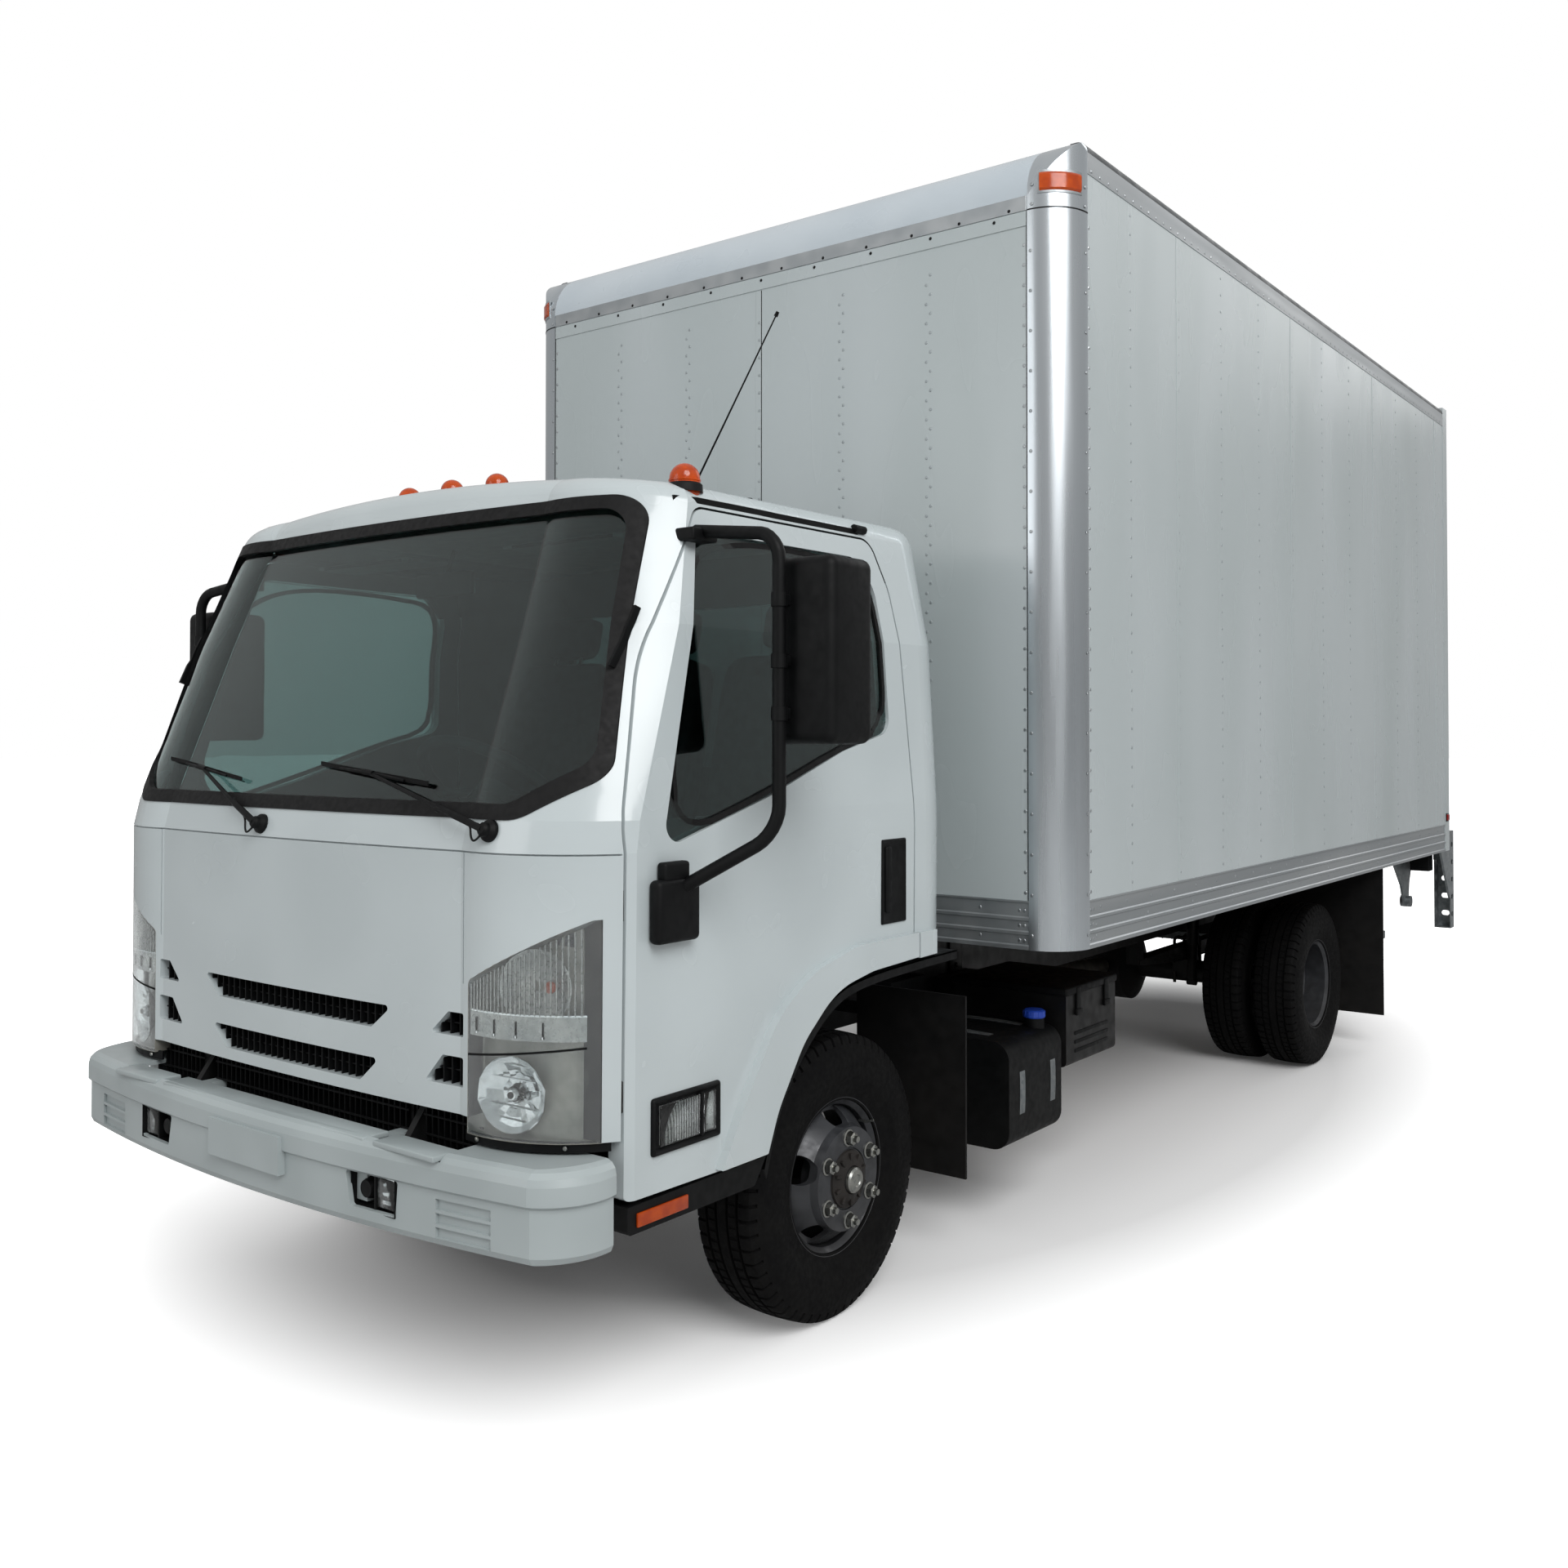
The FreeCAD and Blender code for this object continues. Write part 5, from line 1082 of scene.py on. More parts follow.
# ---------------------------------------------------------------- freight body
@dataclass
class FreightBody:
    """Rivets, sheet joints, corner lamps and rear hardware of the riveted box."""

    half: float = 1219
    front: float = 817
    rear: float = 5694
    bottom: float = 915
    rail_top: float = 1069
    wall_top: float = 3378
    top: float = 3486
    post_x: float = 1078
    post_y: float = 958
    cap_low: float = 3250
    strip_low: float = 3201
    front_columns: tuple[float, ...] = (355, 710)
    side_first: float = 1284
    side_pitch: float = 414
    pitch: float = 64
    rivet: float = 6
    rivet_rise: float = 2.2
    rivet_sides: int = 7
    marker_z: float = 3332
    marker_half_angle: float = math.radians(28)
    marker_rim_angle: float = 0.05
    tail_lamp_z: float = 977.5
    door_low: float = 1040
    door_panels: int = 7

    def build(self) -> None:
        """Makes everything fastened on the box."""
        self.front_rivets()
        self.side_rivets()
        self.post_rivets()
        self.rail_rivets()
        self.front_strips()
        self.side_joints()
        self.cap_lamps()
        self.rear_hardware()
        self.tail_lamps()
        form = Form()
        for z in (1380, 1780, 2180):
            form.mirror(form.block((self.half - 60, self.post_y + 60, z),
                (self.half - 43, self.rear - 120, z + 70), 3))
        form.piece("inner_wall_slats", "chassis", Paint.deck_wood, "deck_wood")

    def rivets(self, name: str, finish: "Finish", slot: str, both: Sequence[tuple],
            single: Sequence[tuple] = ()) -> None:
        """Makes a piece of straight rivet rows.

        Args:
            name: Name of the piece.
            finish: What it is made of.
            slot: The record's material slot.
            both: Rows on both sides of the truck: first rivet, outward direction, step and count, in mm.
            single: Rows that have no mirror image.
        """
        form = Form()
        for rows, mirrored in ((both, True), (single, False)):
            for start, way, step, count in rows:
                rivet = form.studs(at(*start), way, self.rivet, self.rivet_rise, self.rivet_sides)
                row = form.repeat(rivet, mm(*step), count) if count > 1 else rivet
                if mirrored:
                    form.mirror(row)
        form.piece(name, "chassis", finish, slot, outward=False)

    def front_rivets(self) -> None:
        """Staggered double rows up the front wall's posts, and a single row at its middle joint."""
        y, low = self.front + 2, self.rail_top + 30
        count = int((self.strip_low - 20 - low) / self.pitch)
        rows = [((side * x + dx, y, low + dz), -Axis.Y.way, (0, 0, self.pitch), count)
            for x in self.front_columns for side in Side for dx, dz in ((-8, 0), (8, self.pitch / 2))]
        rows.append(((-9, y - 1.2, low), -Axis.Y.way, (0, 0, self.pitch), count))
        self.rivets("front_wall_rivets", Paint.rivet_painted, "box_white", (), rows)

    def side_rivets(self) -> None:
        """Rivet rows up the side walls' posts."""
        low = self.rail_top + 30
        count = int((self.wall_top - 30 - low) / self.pitch) + 1
        posts = int((self.rear - 120 - self.side_first) / self.side_pitch) + 1
        self.rivets("side_wall_rivets", Paint.rivet_painted, "box_white",
            [((self.half - 2, self.side_first + post * self.side_pitch, low), Axis.X.way, (0, 0, self.pitch),
            count) for post in range(posts)])

    def post_rivets(self) -> None:
        """Rivets down both edges of the corner posts and the walls beside them."""
        wide, low = 127, self.bottom + 45
        ahead, aside = -Axis.Y.way, Axis.X.way
        rows = [((x, y, start), way, (0, 0, pitch), int((self.cap_low - 40 - start) / pitch) + 1)
            for x, y, way, pitch, start in ((self.post_x + 11, self.front, ahead, wide, low),
            (self.post_x - 12, self.front + 2, ahead, self.pitch, self.rail_top + 25),
            (self.half, self.post_y - 11, aside, wide, low),
            (self.half - 2, self.post_y + 12, aside, self.pitch, self.rail_top + 25))]
        rows += [((x, y, self.cap_low + 16), way, (0, 0, 62), 2)
            for x, y, way in ((self.post_x + 16, self.front, ahead), (self.half, self.post_y - 16, aside))]
        self.rivets("corner_post_rivets", Paint.cast_aluminium, "aluminium", rows)

    def rail_rivets(self) -> None:
        """Bolts and rivets of the lower and upper rails, and the dark screws of the nose."""
        ahead, aside = -Axis.Y.way, Axis.X.way
        length = self.rear - 90 - self.post_y
        rows = [((self.half - 5, self.post_y + start, z), aside, (0, pitch, 0),
            int((length - start) / pitch) + 1)
            for z, pitch, start in ((self.rail_top - 29, 200, 90), (self.bottom + 35, 400, 60),
            (self.bottom + 70, 400, 60))]
        for z in (self.bottom + 28, self.bottom + 75, self.bottom + 122):
            rows += [((self.half - 5, self.post_y + dy, z), aside, (0, 0, 0), 1) for dy in (18, 36)]
            rows += [((self.post_x - dx, self.front + 5, z), ahead, (0, 0, 0), 1) for dx in (18, 36)]
        rows.append(((self.half, self.post_y + 30, self.wall_top + 14), aside, (0, self.pitch, 0),
            int(length / self.pitch)))
        self.rivets("rail_rivets", Paint.cast_aluminium, "aluminium", rows,
            [((-900, self.front + 5, self.bottom + dz), ahead, (180, 0, 0), 11) for dz in (35, 122)])
        self.rivets("nose_screws", Paint.seal_rubber, "black_plastic", (),
            [((x, self.front - 1, self.cap_low + dz), ahead, (pitch, 0, 0), count)
            for x, dz, pitch, count in ((-1010, 9, 184, 12), (-960, -16, 240, 9))])

    def front_strips(self) -> None:
        """Skirt of the rounded nose sheet, the flat strip under it and the sheet joints in the wall."""
        x, y = self.post_x - 3, self.front
        seams = [((-1.6, y + 0.6, self.rail_top + 2), (1.6, y + 3, self.strip_low - 3))]
        seams += [((side * x, y - 0.6, self.rail_top), (side * (x + 2.5), y + 3, self.cap_low))
            for side in Side]
        for name, finish, slot, bevel, boxes in (("nose_skirt", Paint.mill_rail, "aluminium", 0.8,
                [((-x, y - 1, self.cap_low), (x, y + 3, self.top - 189))]),
                ("nose_strip", Paint.coil_sheet, "box_white", 0.8,
                [((-x, y - 0.5, self.strip_low), (x, y + 3, self.cap_low - 2))]),
                ("sealant_lines", Paint.seal_rubber, "rubber", 0.5, seams),
                ("front_sheet_lap", Paint.coil_sheet, "box_white", 0.5,
                [((-26, y + 0.9, self.rail_top + 2), (-1.6, y + 3, self.strip_low - 3))])):
            form = Form()
            for low, high in boxes:
                form.block(low, high, bevel, 1)
            form.piece(name, "chassis", finish, slot)

    def side_joints(self) -> None:
        """Laps where one side sheet covers the next, at every third post."""
        form = Form()
        y = self.side_first + self.side_pitch
        while y < self.rear - 200:
            form.mirror(form.block((self.half - 4, y - 22, self.rail_top + 2),
                (self.half - 0.7, y + 22, self.wall_top - 2), 0.6, 1))
            y += 3 * self.side_pitch
        form.piece("side_sheet_laps", "chassis", Paint.coil_sheet, "box_white")

    def cap_lamps(self) -> None:
        """Curved amber marker in its rim on each corner casting, and the seam under the casting."""
        for side in Side:
            for name, finish, slot, section, spread in (("lens", Paint.amber_lens, "amber_lens",
                    ((-29, 139), (-29, 144), (-22, 149), (22, 149), (29, 144), (29, 139)),
                    self.marker_half_angle), ("rim", Paint.cast_aluminium, "aluminium",
                    ((-37, 139), (-36, 143.5), (-30, 144), (30, 144), (36, 143.5), (37, 139)),
                    self.marker_half_angle + self.marker_rim_angle)):
                form = Form()
                start = Vector((side, -1, 0)).normalized()
                start.rotate(Matrix.Rotation(-spread, 3, "Z"))
                form.lathe(section, at(side * self.post_x, self.post_y, self.marker_z), Axis.Z.way, 16,
                    closed=True, angle=2 * spread, start=start)
                form.piece(f"{side.word}_corner_marker_{name}", "chassis", finish, slot)
        form = Form()
        for side, start in ((Side.LEFT, -Axis.Y.way), (Side.RIGHT, -Axis.X.way)):
            form.lathe(((-2, 138), (-2, 142), (2, 142), (2, 138)),
                at(side * self.post_x, self.post_y, self.cap_low + 0.5), Axis.Z.way, 20, closed=True,
                angle=FULL / 4, start=start)
        form.piece("casting_seams", "chassis", Paint.seal_rubber, "rubber")

    def rear_hardware(self) -> None:
        """Latch, pull handles, hinges and rollers of the roll-up door, and the frame's rivets."""
        face = self.rear - 32
        form = Form()
        form.block((-70, face, 1190), (70, face + 10, 1290), 3)
        form.block((-16, face + 8, 1070), (16, face + 20, 1340), 4)
        form.block((-90, face + 8, 1232), (90, face + 24, 1252), 5)
        for x in (-480, 480):
            for dx in (-60, 50):
                form.block((x + dx, face, 1150), (x + dx + 10, face + 26, 1170), 2)
            form.block((x - 64, face + 20, 1146), (x + 64, face + 30, 1174), 5)
        form.piece("rear_door_latch", "chassis", Paint.galvanised, "galvanised")
        form = Form()
        for row in range(1, self.door_panels):
            z = self.door_low + row * (self.top - 130 - self.door_low) / self.door_panels
            for x in (-1050, -525, 0, 525, 1050):
                for dz in (-34, 8):
                    form.block((x - 32, face + 0.5, z + dz), (x + 32, face + 3.5, z + dz + 26), 1)
                form.bar(at(x - 30, face + 5, z), at(x + 30, face + 5, z), 5, None, 10)
        form.piece("rear_door_hinges", "chassis", Paint.galvanised, "galvanised")
        self.rivets("rear_frame_rivets", Paint.cast_aluminium, "aluminium",
            [((self.half - 25, self.rear, 1100), Axis.Y.way, (0, 0, 127), 18)],
            [((-1080, self.rear, self.top - 22), Axis.Y.way, (127, 0, 0), 18)])
        form = Form()
        half = self.half - 82
        form.block((-half, face - 14, 1041), (half, face + 5, 1058), 4)
        for side in Side:
            form.block((side * half, face, 1060), (side * (half - 14), face + 6, self.top - 132), 2)
        form.piece("rear_door_seals", "chassis", Paint.seal_rubber, "rubber")

    def tail_lamps(self) -> None:
        """Red lenses in black rims; they stand for the plain lamps."""
        lens, rim = Form(), Form()
        y = self.rear
        for x in (self.half - 459, self.half - 319):
            for side in Side:
                foot = at(side * x, y, self.tail_lamp_z)
                lens.lathe([(0, 46), (6, 46), (10, 38), (12, 20), (12.6, 0)], foot, Axis.Y.way, 32)
                rim.lathe([(0, 55), (9, 54), (10, 46), (2, 46)], foot, Axis.Y.way, 32)
        for x in (-160, 0, 160):
            lens.block((x - 31, y, self.top - 77), (x + 31, y + 13, self.top - 53), 5, 3)
            rim.block((x - 37, y, self.top - 82), (x + 37, y + 5, self.top - 48), 2)
        for side in Side:
            lens.block((side * self.half, y - 78, 1091), (side * (self.half + 11), y - 32, 1127), 5, 3)
            rim.block((side * self.half, y - 83, 1086), (side * (self.half + 4), y - 27, 1132), 1.8)
        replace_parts(lens.piece("tail_lamp_lenses", "chassis", Paint.red_lens, "amber_lens"), "box_lamps")
        rim.piece("tail_lamp_rims", "chassis", Paint.seal_rubber, "rubber")


@dataclass
class Liftgate:
    """Grip ribs of the folded platform, its hinge knuckles, the ram and the control box."""

    pivot_y: float = 4950
    pivot_z: float = 560
    tip_y: float = 5680
    half: float = 850

    def build(self) -> None:
        """Makes the liftgate's fittings."""
        form = Form()
        rib = form.block((-self.half + 20, self.tip_y - 745, self.pivot_z - 195),
            (-self.half + 28, self.tip_y + 30, self.pivot_z - 189), 1.5, 1)
        form.repeat(rib, mm(60, 0, 0), 28)
        y, z = self.tip_y - 760, self.pivot_z - 142.5
        for x in (-780, -300, 300, 780):
            form.bar(at(x - 45, y, z), at(x + 45, y, z), 23)
        form.piece("platform_ribs", "liftgate_platform", Paint.galvanised, "galvanised")
        form = Form()
        for side in Side:
            low = at(side * 470, self.pivot_y + 30, self.pivot_z - 40)
            high = at(side * 470, self.pivot_y + 470, self.pivot_z - 5)
            form.bar(low, low.lerp(high, 0.6), 27, None, 20)
            form.bar(low.lerp(high, 0.55), high, 14, None, 16)
            form.bar(low.lerp(high, 0.58), low.lerp(high, 0.62), 30, None, 20)
        form.piece("lift_rams", "liftgate_arms", Paint.zinc_bolt, "galvanised")
        form = Form()
        form.block((1040, 5520, 800), (1150, 5600, 900), 8, 3)
        form.block((1060, 5600, 830), (1130, 5606, 880), 2)
        form.piece("lift_control_box", "chassis", Paint.moulded_black, "black_plastic")


# ---------------------------------------------------------------- cab outside
@dataclass
class Headlamps:
    """Corner lamps: a clear lens over a fluted indicator above and a faceted reflector below."""

    lens_mm: float = 2.5
    case_mm: float = 1.2
    inner_x: float = 676
    outer_x: float = 950
    split: Span = (873, 905)
    band: Span = (920, 974)
    upper_bowl: Span = (852, 1036)
    lower_bowl: Span = (792, 796)
    bowl_radius: float = 84
    slots: tuple[float, ...] = (700, 755, 812, 872)
    flute_pitch: float = 11
    bowl_setback: float = 15
    skin_facing: float = 0.45  # least cosine between a face of the skin and the way out of the cab

    def build(self) -> None:
        """Makes both lamps."""
        lens, case = self.shells()
        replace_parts(lens.piece("headlamp_lenses", "cab", Paint.clear_lens, "lamp_lens", outward=False),
            "cab_lamps")
        case.piece("headlamp_cases", "cab", Paint.lamp_case, "black_plastic", outward=False)
        chrome, flute, dark, amber = Form(), Form(), Form(), Form()
        for side in Side:
            self.lower(side, chrome, dark)
            self.upper(side, flute, chrome, amber, dark)
        chrome.piece("headlamp_reflectors", "cab", Paint.bright_chrome, "lamp_lens", smooth=8, outward=False)
        flute.piece("indicator_flutes", "cab", Paint.flute_silver, "lamp_lens")
        amber.piece("indicator_bulbs", "cab", Paint.amber_lens, "amber_lens")
        dark.piece("headlamp_dividers", "cab", Paint.moulded_black, "black_plastic")

    def surface(self, side: Side, x: float, z: float) -> tuple[Vector, Vector]:
        """The point and the normal of the lamp's outer surface straight ahead of a place in mm."""
        return hit("cab_lamps", at(side * x, AHEAD, z), Axis.Y.way)

    def shells(self) -> tuple[Form, Form]:
        """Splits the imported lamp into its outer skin, made a thin lens, and the case behind it.

        Returns:
            The lens and the case.
        """
        lens, case = Form(), Form()
        for form, keep_skin in ((lens, True), (case, False)):
            form.bm.from_mesh(bpy.data.objects["cab_lamps"].data)
            bmesh.ops.remove_doubles(form.bm, verts=form.bm.verts, dist=2e-5)
            drop = []
            for face in form.bm.faces:
                middle = face.calc_center_median()
                away = Vector((middle.x, middle.y - Datum.axle_y + 0.5, 0)).normalized()
                if (face.normal.dot(away) > self.skin_facing) != keep_skin:
                    drop.append(face)
            bmesh.ops.delete(form.bm, geom=drop, context="FACES")
        bmesh.ops.solidify(lens.bm, geom=list(lens.bm.faces), thickness=self.lens_mm * MM)
        bmesh.ops.recalc_face_normals(lens.bm, faces=lens.bm.faces)
        bmesh.ops.reverse_faces(case.bm, faces=case.bm.faces)
        bmesh.ops.solidify(case.bm, geom=list(case.bm.faces), thickness=self.case_mm * MM)
        return lens, case

    def bowl(self, form: Form, side: Side, place: Span, radius: float, deep: float, steps: int,
            ripple: float) -> tuple[Vector, Vector]:
        """Adds a round reflector facing out through the lens.

        Args:
            form: The mesh that it is added to.
            side: Side of the truck.
            place: x and z of its middle in mm.
            radius: Radius of its mouth in mm.
            deep: Its depth in mm.
            steps: Facets round it.
            ripple: How far its facets stand in and out, in mm.

        Returns:
            The middle of its mouth and the direction that it faces.
        """
        point, normal = self.surface(side, *place)
        mouth = point - normal * self.bowl_setback * MM
        curve = [(-deep * (1 - (r / radius) ** 2), r) for r in (radius * 0.85, radius * 0.62, radius * 0.4, 12)]
        section = [(0, radius + 3), (0, radius), *curve, (-deep - 1.5, 12), (-deep - 1.5, radius * 0.5),
            (-2, radius + 3)]
        verts = form.lathe(section, mouth, normal, steps, closed=True)
        for vert in verts:
            vert.co -= normal * ripple * MM * (1 + math.sin(vert.co.x * 900 + vert.co.z * 700))
        bmesh.ops.recalc_face_normals(form.bm, faces=list({f for v in verts for f in v.link_faces}))
        return mouth, normal

    def lower(self, side: Side, chrome: Form, dark: Form) -> None:
        """Faceted main beam reflector with its bulb shield, and the divider over it.

        Args:
            side: Side of the truck.
            chrome: Mesh of the bright pieces.
            dark: Mesh of the dark pieces.
        """
        mouth, normal = self.bowl(chrome, side, self.lower_bowl, self.bowl_radius, 25, 22, 3.5)
        across = normal.cross(Axis.Z.way).normalized() * MM
        for lift in (-60, -30, 30, 60):
            reach = across * math.sqrt(self.bowl_radius ** 2 - lift ** 2) * 0.9
            chrome.bar(mouth + mm(0, 0, lift) - reach - normal * 12 * MM,
                mouth + mm(0, 0, lift + 9) + reach - normal * 16 * MM, 2.2, 2.2, 5)
        chrome.lathe([(-22, 15), (-8, 14), (-3, 11), (0, 0)], mouth, normal, 16)
        dark.lathe([(-20, 17), (-15, 17.5), (-15, 14)], mouth, normal, 16)
        dark.bar(mouth - normal * 2 * MM, mouth + normal * 1.5 * MM, 8, 7, 14)
        ends = [at(side * x, AHEAD, z) for x, z in zip((self.inner_x - 4, self.outer_x), self.split)]
        dark.ribbon(traced("cab_lamps", ends, Axis.Y.way, 12, 0.4), mm(0, 0, 5), 3)

    def upper(self, side: Side, flute: Form, chrome: Form, amber: Form, dark: Form) -> None:
        """Fluted indicator with its round reflector and bulb, and the slotted band under it.

        Args:
            side: Side of the truck.
            flute: Mesh of the fluted pieces.
            chrome: Mesh of the bright pieces.
            amber: Mesh of the bulb.
            dark: Mesh of the dark pieces.
        """
        mouth, normal = self.bowl(flute, side, self.upper_bowl, self.bowl_radius - 2, 22, 40, 0)
        bulb = mouth + normal.cross(Axis.Z.way) * side * -30 * MM - normal * 14 * MM
        amber.lathe([(-6, 11), (4, 14), (10, 12), (13, 0)], bulb, normal, 16)
        first = self.inner_x + 2
        for index in range(math.ceil((self.outer_x - first) / self.flute_pitch)):
            x = first + self.flute_pitch * index
            low, out = self.surface(side, x, 1000)
            high, _ = self.surface(side, x, min(694 + x * 0.5, 1170))
            inward = out * 5.5 * MM
            flute.bar(Vector((low.x, low.y, 976 * MM)) - inward, high - inward, 2.2, None, 6)
        ends = [at(side * x, AHEAD, self.band[0]) for x in (self.inner_x, self.outer_x)]
        path = traced("cab_lamps", ends, Axis.Y.way, 12, -5)
        tall = mm(0, 0, self.band[1] - self.band[0])
        flute.ribbon(path, tall, 2)
        chrome.ribbon([point + tall for point in path], mm(0, 0, 4), 3)
        for x in self.slots:
            spot, out = self.surface(side, x, 950)
            low = Vector((spot.x, spot.y, 932 * MM)) - out * 4 * MM
            dark.bar(low, low + mm(0, 0, 30), 2.4, None, 6)
            chrome.bar(low - mm(0, 0, 6), low - mm(0, 0, 1), 4, None, 8)


@dataclass
class GrilleVanes:
    """Black vanes and backing behind the grille's openings, and the guard below it."""

    # left, right, bottom and top of each opening
    middle_cells: tuple[tuple[float, ...], ...] = ((-412, 412, 890, 959), (-367, 367, 759, 830))
    corner_cells: tuple[tuple[float, ...], ...] = ((534, 656, 904, 967), (516, 656, 791, 867))
    pitch: float = 27
    guard_y: float = -1016
    guard_pitch: int = 22
    nose_y: float = -1079
    nose_sweep: float = 19
    nose_half: float = 640

    def build(self) -> None:
        """Makes the vanes, the guard and the filler under the lamps."""
        form = Form()
        for cell in self.middle_cells:
            self.cell(form, *cell)
        for near, far, low, high in self.corner_cells:
            self.cell(form, near, far, low, high)
            self.cell(form, -far, -near, low, high)
        form.piece("grille_vanes", "cab", Paint.moulded_black, "black_plastic")
        self.guard()
        self.lamp_skirt()

    def nose(self, x: float) -> float:
        """How far forward the cab's nose is at x, in mm."""
        return self.nose_y + self.nose_sweep * (x / self.nose_half) ** 2

    def cell(self, form: Form, left: float, right: float, low: float, high: float) -> None:
        """One opening's vanes, with its backing.

        Args:
            form: The mesh that it is added to.
            left: Least x.
            right: Greatest x.
            low: Bottom.
            high: Top.
        """
        count = max(int((right - left) / self.pitch), 2)
        for x in [left + (right - left) * index / count for index in range(count + 1)]:
            form.block((x - 2, self.nose(x) + 12, low), (x + 2, self.nose(x) + 34, high), 0.8, 1)
        path = [at(x, self.nose(x) + 35, low) for x in [left + (right - left) * step / 12
            for step in range(13)]]
        form.ribbon(path, mm(0, 0, high - low), 3)
        form.ribbon([point + mm(0, -16, (high - low) * 0.5) for point in path], mm(0, 12, 0), 3)

    def guard(self) -> None:
        """Black mesh guard in the gap between the bumper and the grille."""
        form = Form()
        y = self.guard_y
        for left, right in ((-418, 418), (472, 684), (-684, -472)):
            form.block((left, y, 566), (right, y + 4, 744), 1.5)
            for x in range(left + 8, right - 6, self.guard_pitch):
                form.block((x - 2, y - 12, 572), (x + 2, y + 1, 738), 0.8, 1)
            for z in (610, 655, 700):
                form.block((left, y - 14, z), (right, y - 10, z + 5), 1, 1)
        form.piece("radiator_guard", "chassis", Paint.moulded_black, "black_plastic")

    def lamp_skirt(self) -> None:
        """Black filler under the lamps with its screws."""
        form, screws = Form(), Form()
        for side in Side:
            path = []
            for step in range(15):
                spot, out = hit(("cab_lamps", "grille", "front_panel"),
                    at(side * (650 + 335 * step / 14), AHEAD, 765), Axis.Y.way)
                path.append(Vector((spot.x, spot.y, 678 * MM)) - Vector((out.x, out.y, 0)) * 9 * MM)
            form.ribbon(path, mm(0, 0, 24), 5)
            for index in (2, 11):
                out = (path[index + 1] - path[index]).cross(Axis.Z.way).normalized()
                out = out if out.y < 0 else -out
                screws.studs(path[index] + mm(0, 0, 11) + out * 2 * MM, out, 6, 5, 8)
        form.piece("lamp_skirts", "cab", Paint.moulded_black, "black_plastic")
        screws.piece("lamp_skirt_screws", "cab", Paint.zinc_bolt, "aluminium")


@dataclass
class BumperLamps:
    """Fog lamps in the bumper's pockets, and the rear part of the bumper's shelf."""

    low: float = 508
    high: float = 596
    face: float = -1166

    def build(self) -> None:
        """Makes the pieces."""
        case, lens, chrome, shelf = Form(), Form(), Form(), Form()
        y, low, high = self.face, self.low, self.high
        for side in Side:
            case.recess(case.block((side * 384, y, low), (side * 546, y + 70, high), 1, 1), -Axis.Y.way, 0.004,
                6, -34)
            lens.block((side * 474, y + 8, low + 12), (side * 536, y + 13, high - 10))
            chrome.block((side * 474, y + 24, low + 12), (side * 536, y + 29, high - 10))
            for z in (low + 20, low + 36, low + 52, low + 68):
                chrome.block((side * 476, y + 19, z), (side * 534, y + 25, z + 9))
            case.bar(at(side * 430, y + 8, 552), at(side * 430, y + 26, 552), 20, 26, 24)
            case.block((side * 466, y + 4, low + 6), (side * 473, y + 30, high - 4), 1.5)
        case.piece("fog_lamp_cases", "chassis", Paint.moulded_black, "black_plastic")
        for left, right in ((-684, -470), (-434, 434), (470, 684)):
            shelf.block((left, -1170, 658), (right, -1098, 671.5), 3, 3)
        shelf.piece("bumper_shelf", "chassis", Paint.bumper_enamel, "white_paint")
        lens.piece("fog_lamp_lenses", "chassis", Paint.clear_lens, "lamp_lens")
        chrome.piece("fog_lamp_reflectors", "chassis", Paint.bright_chrome, "lamp_lens")


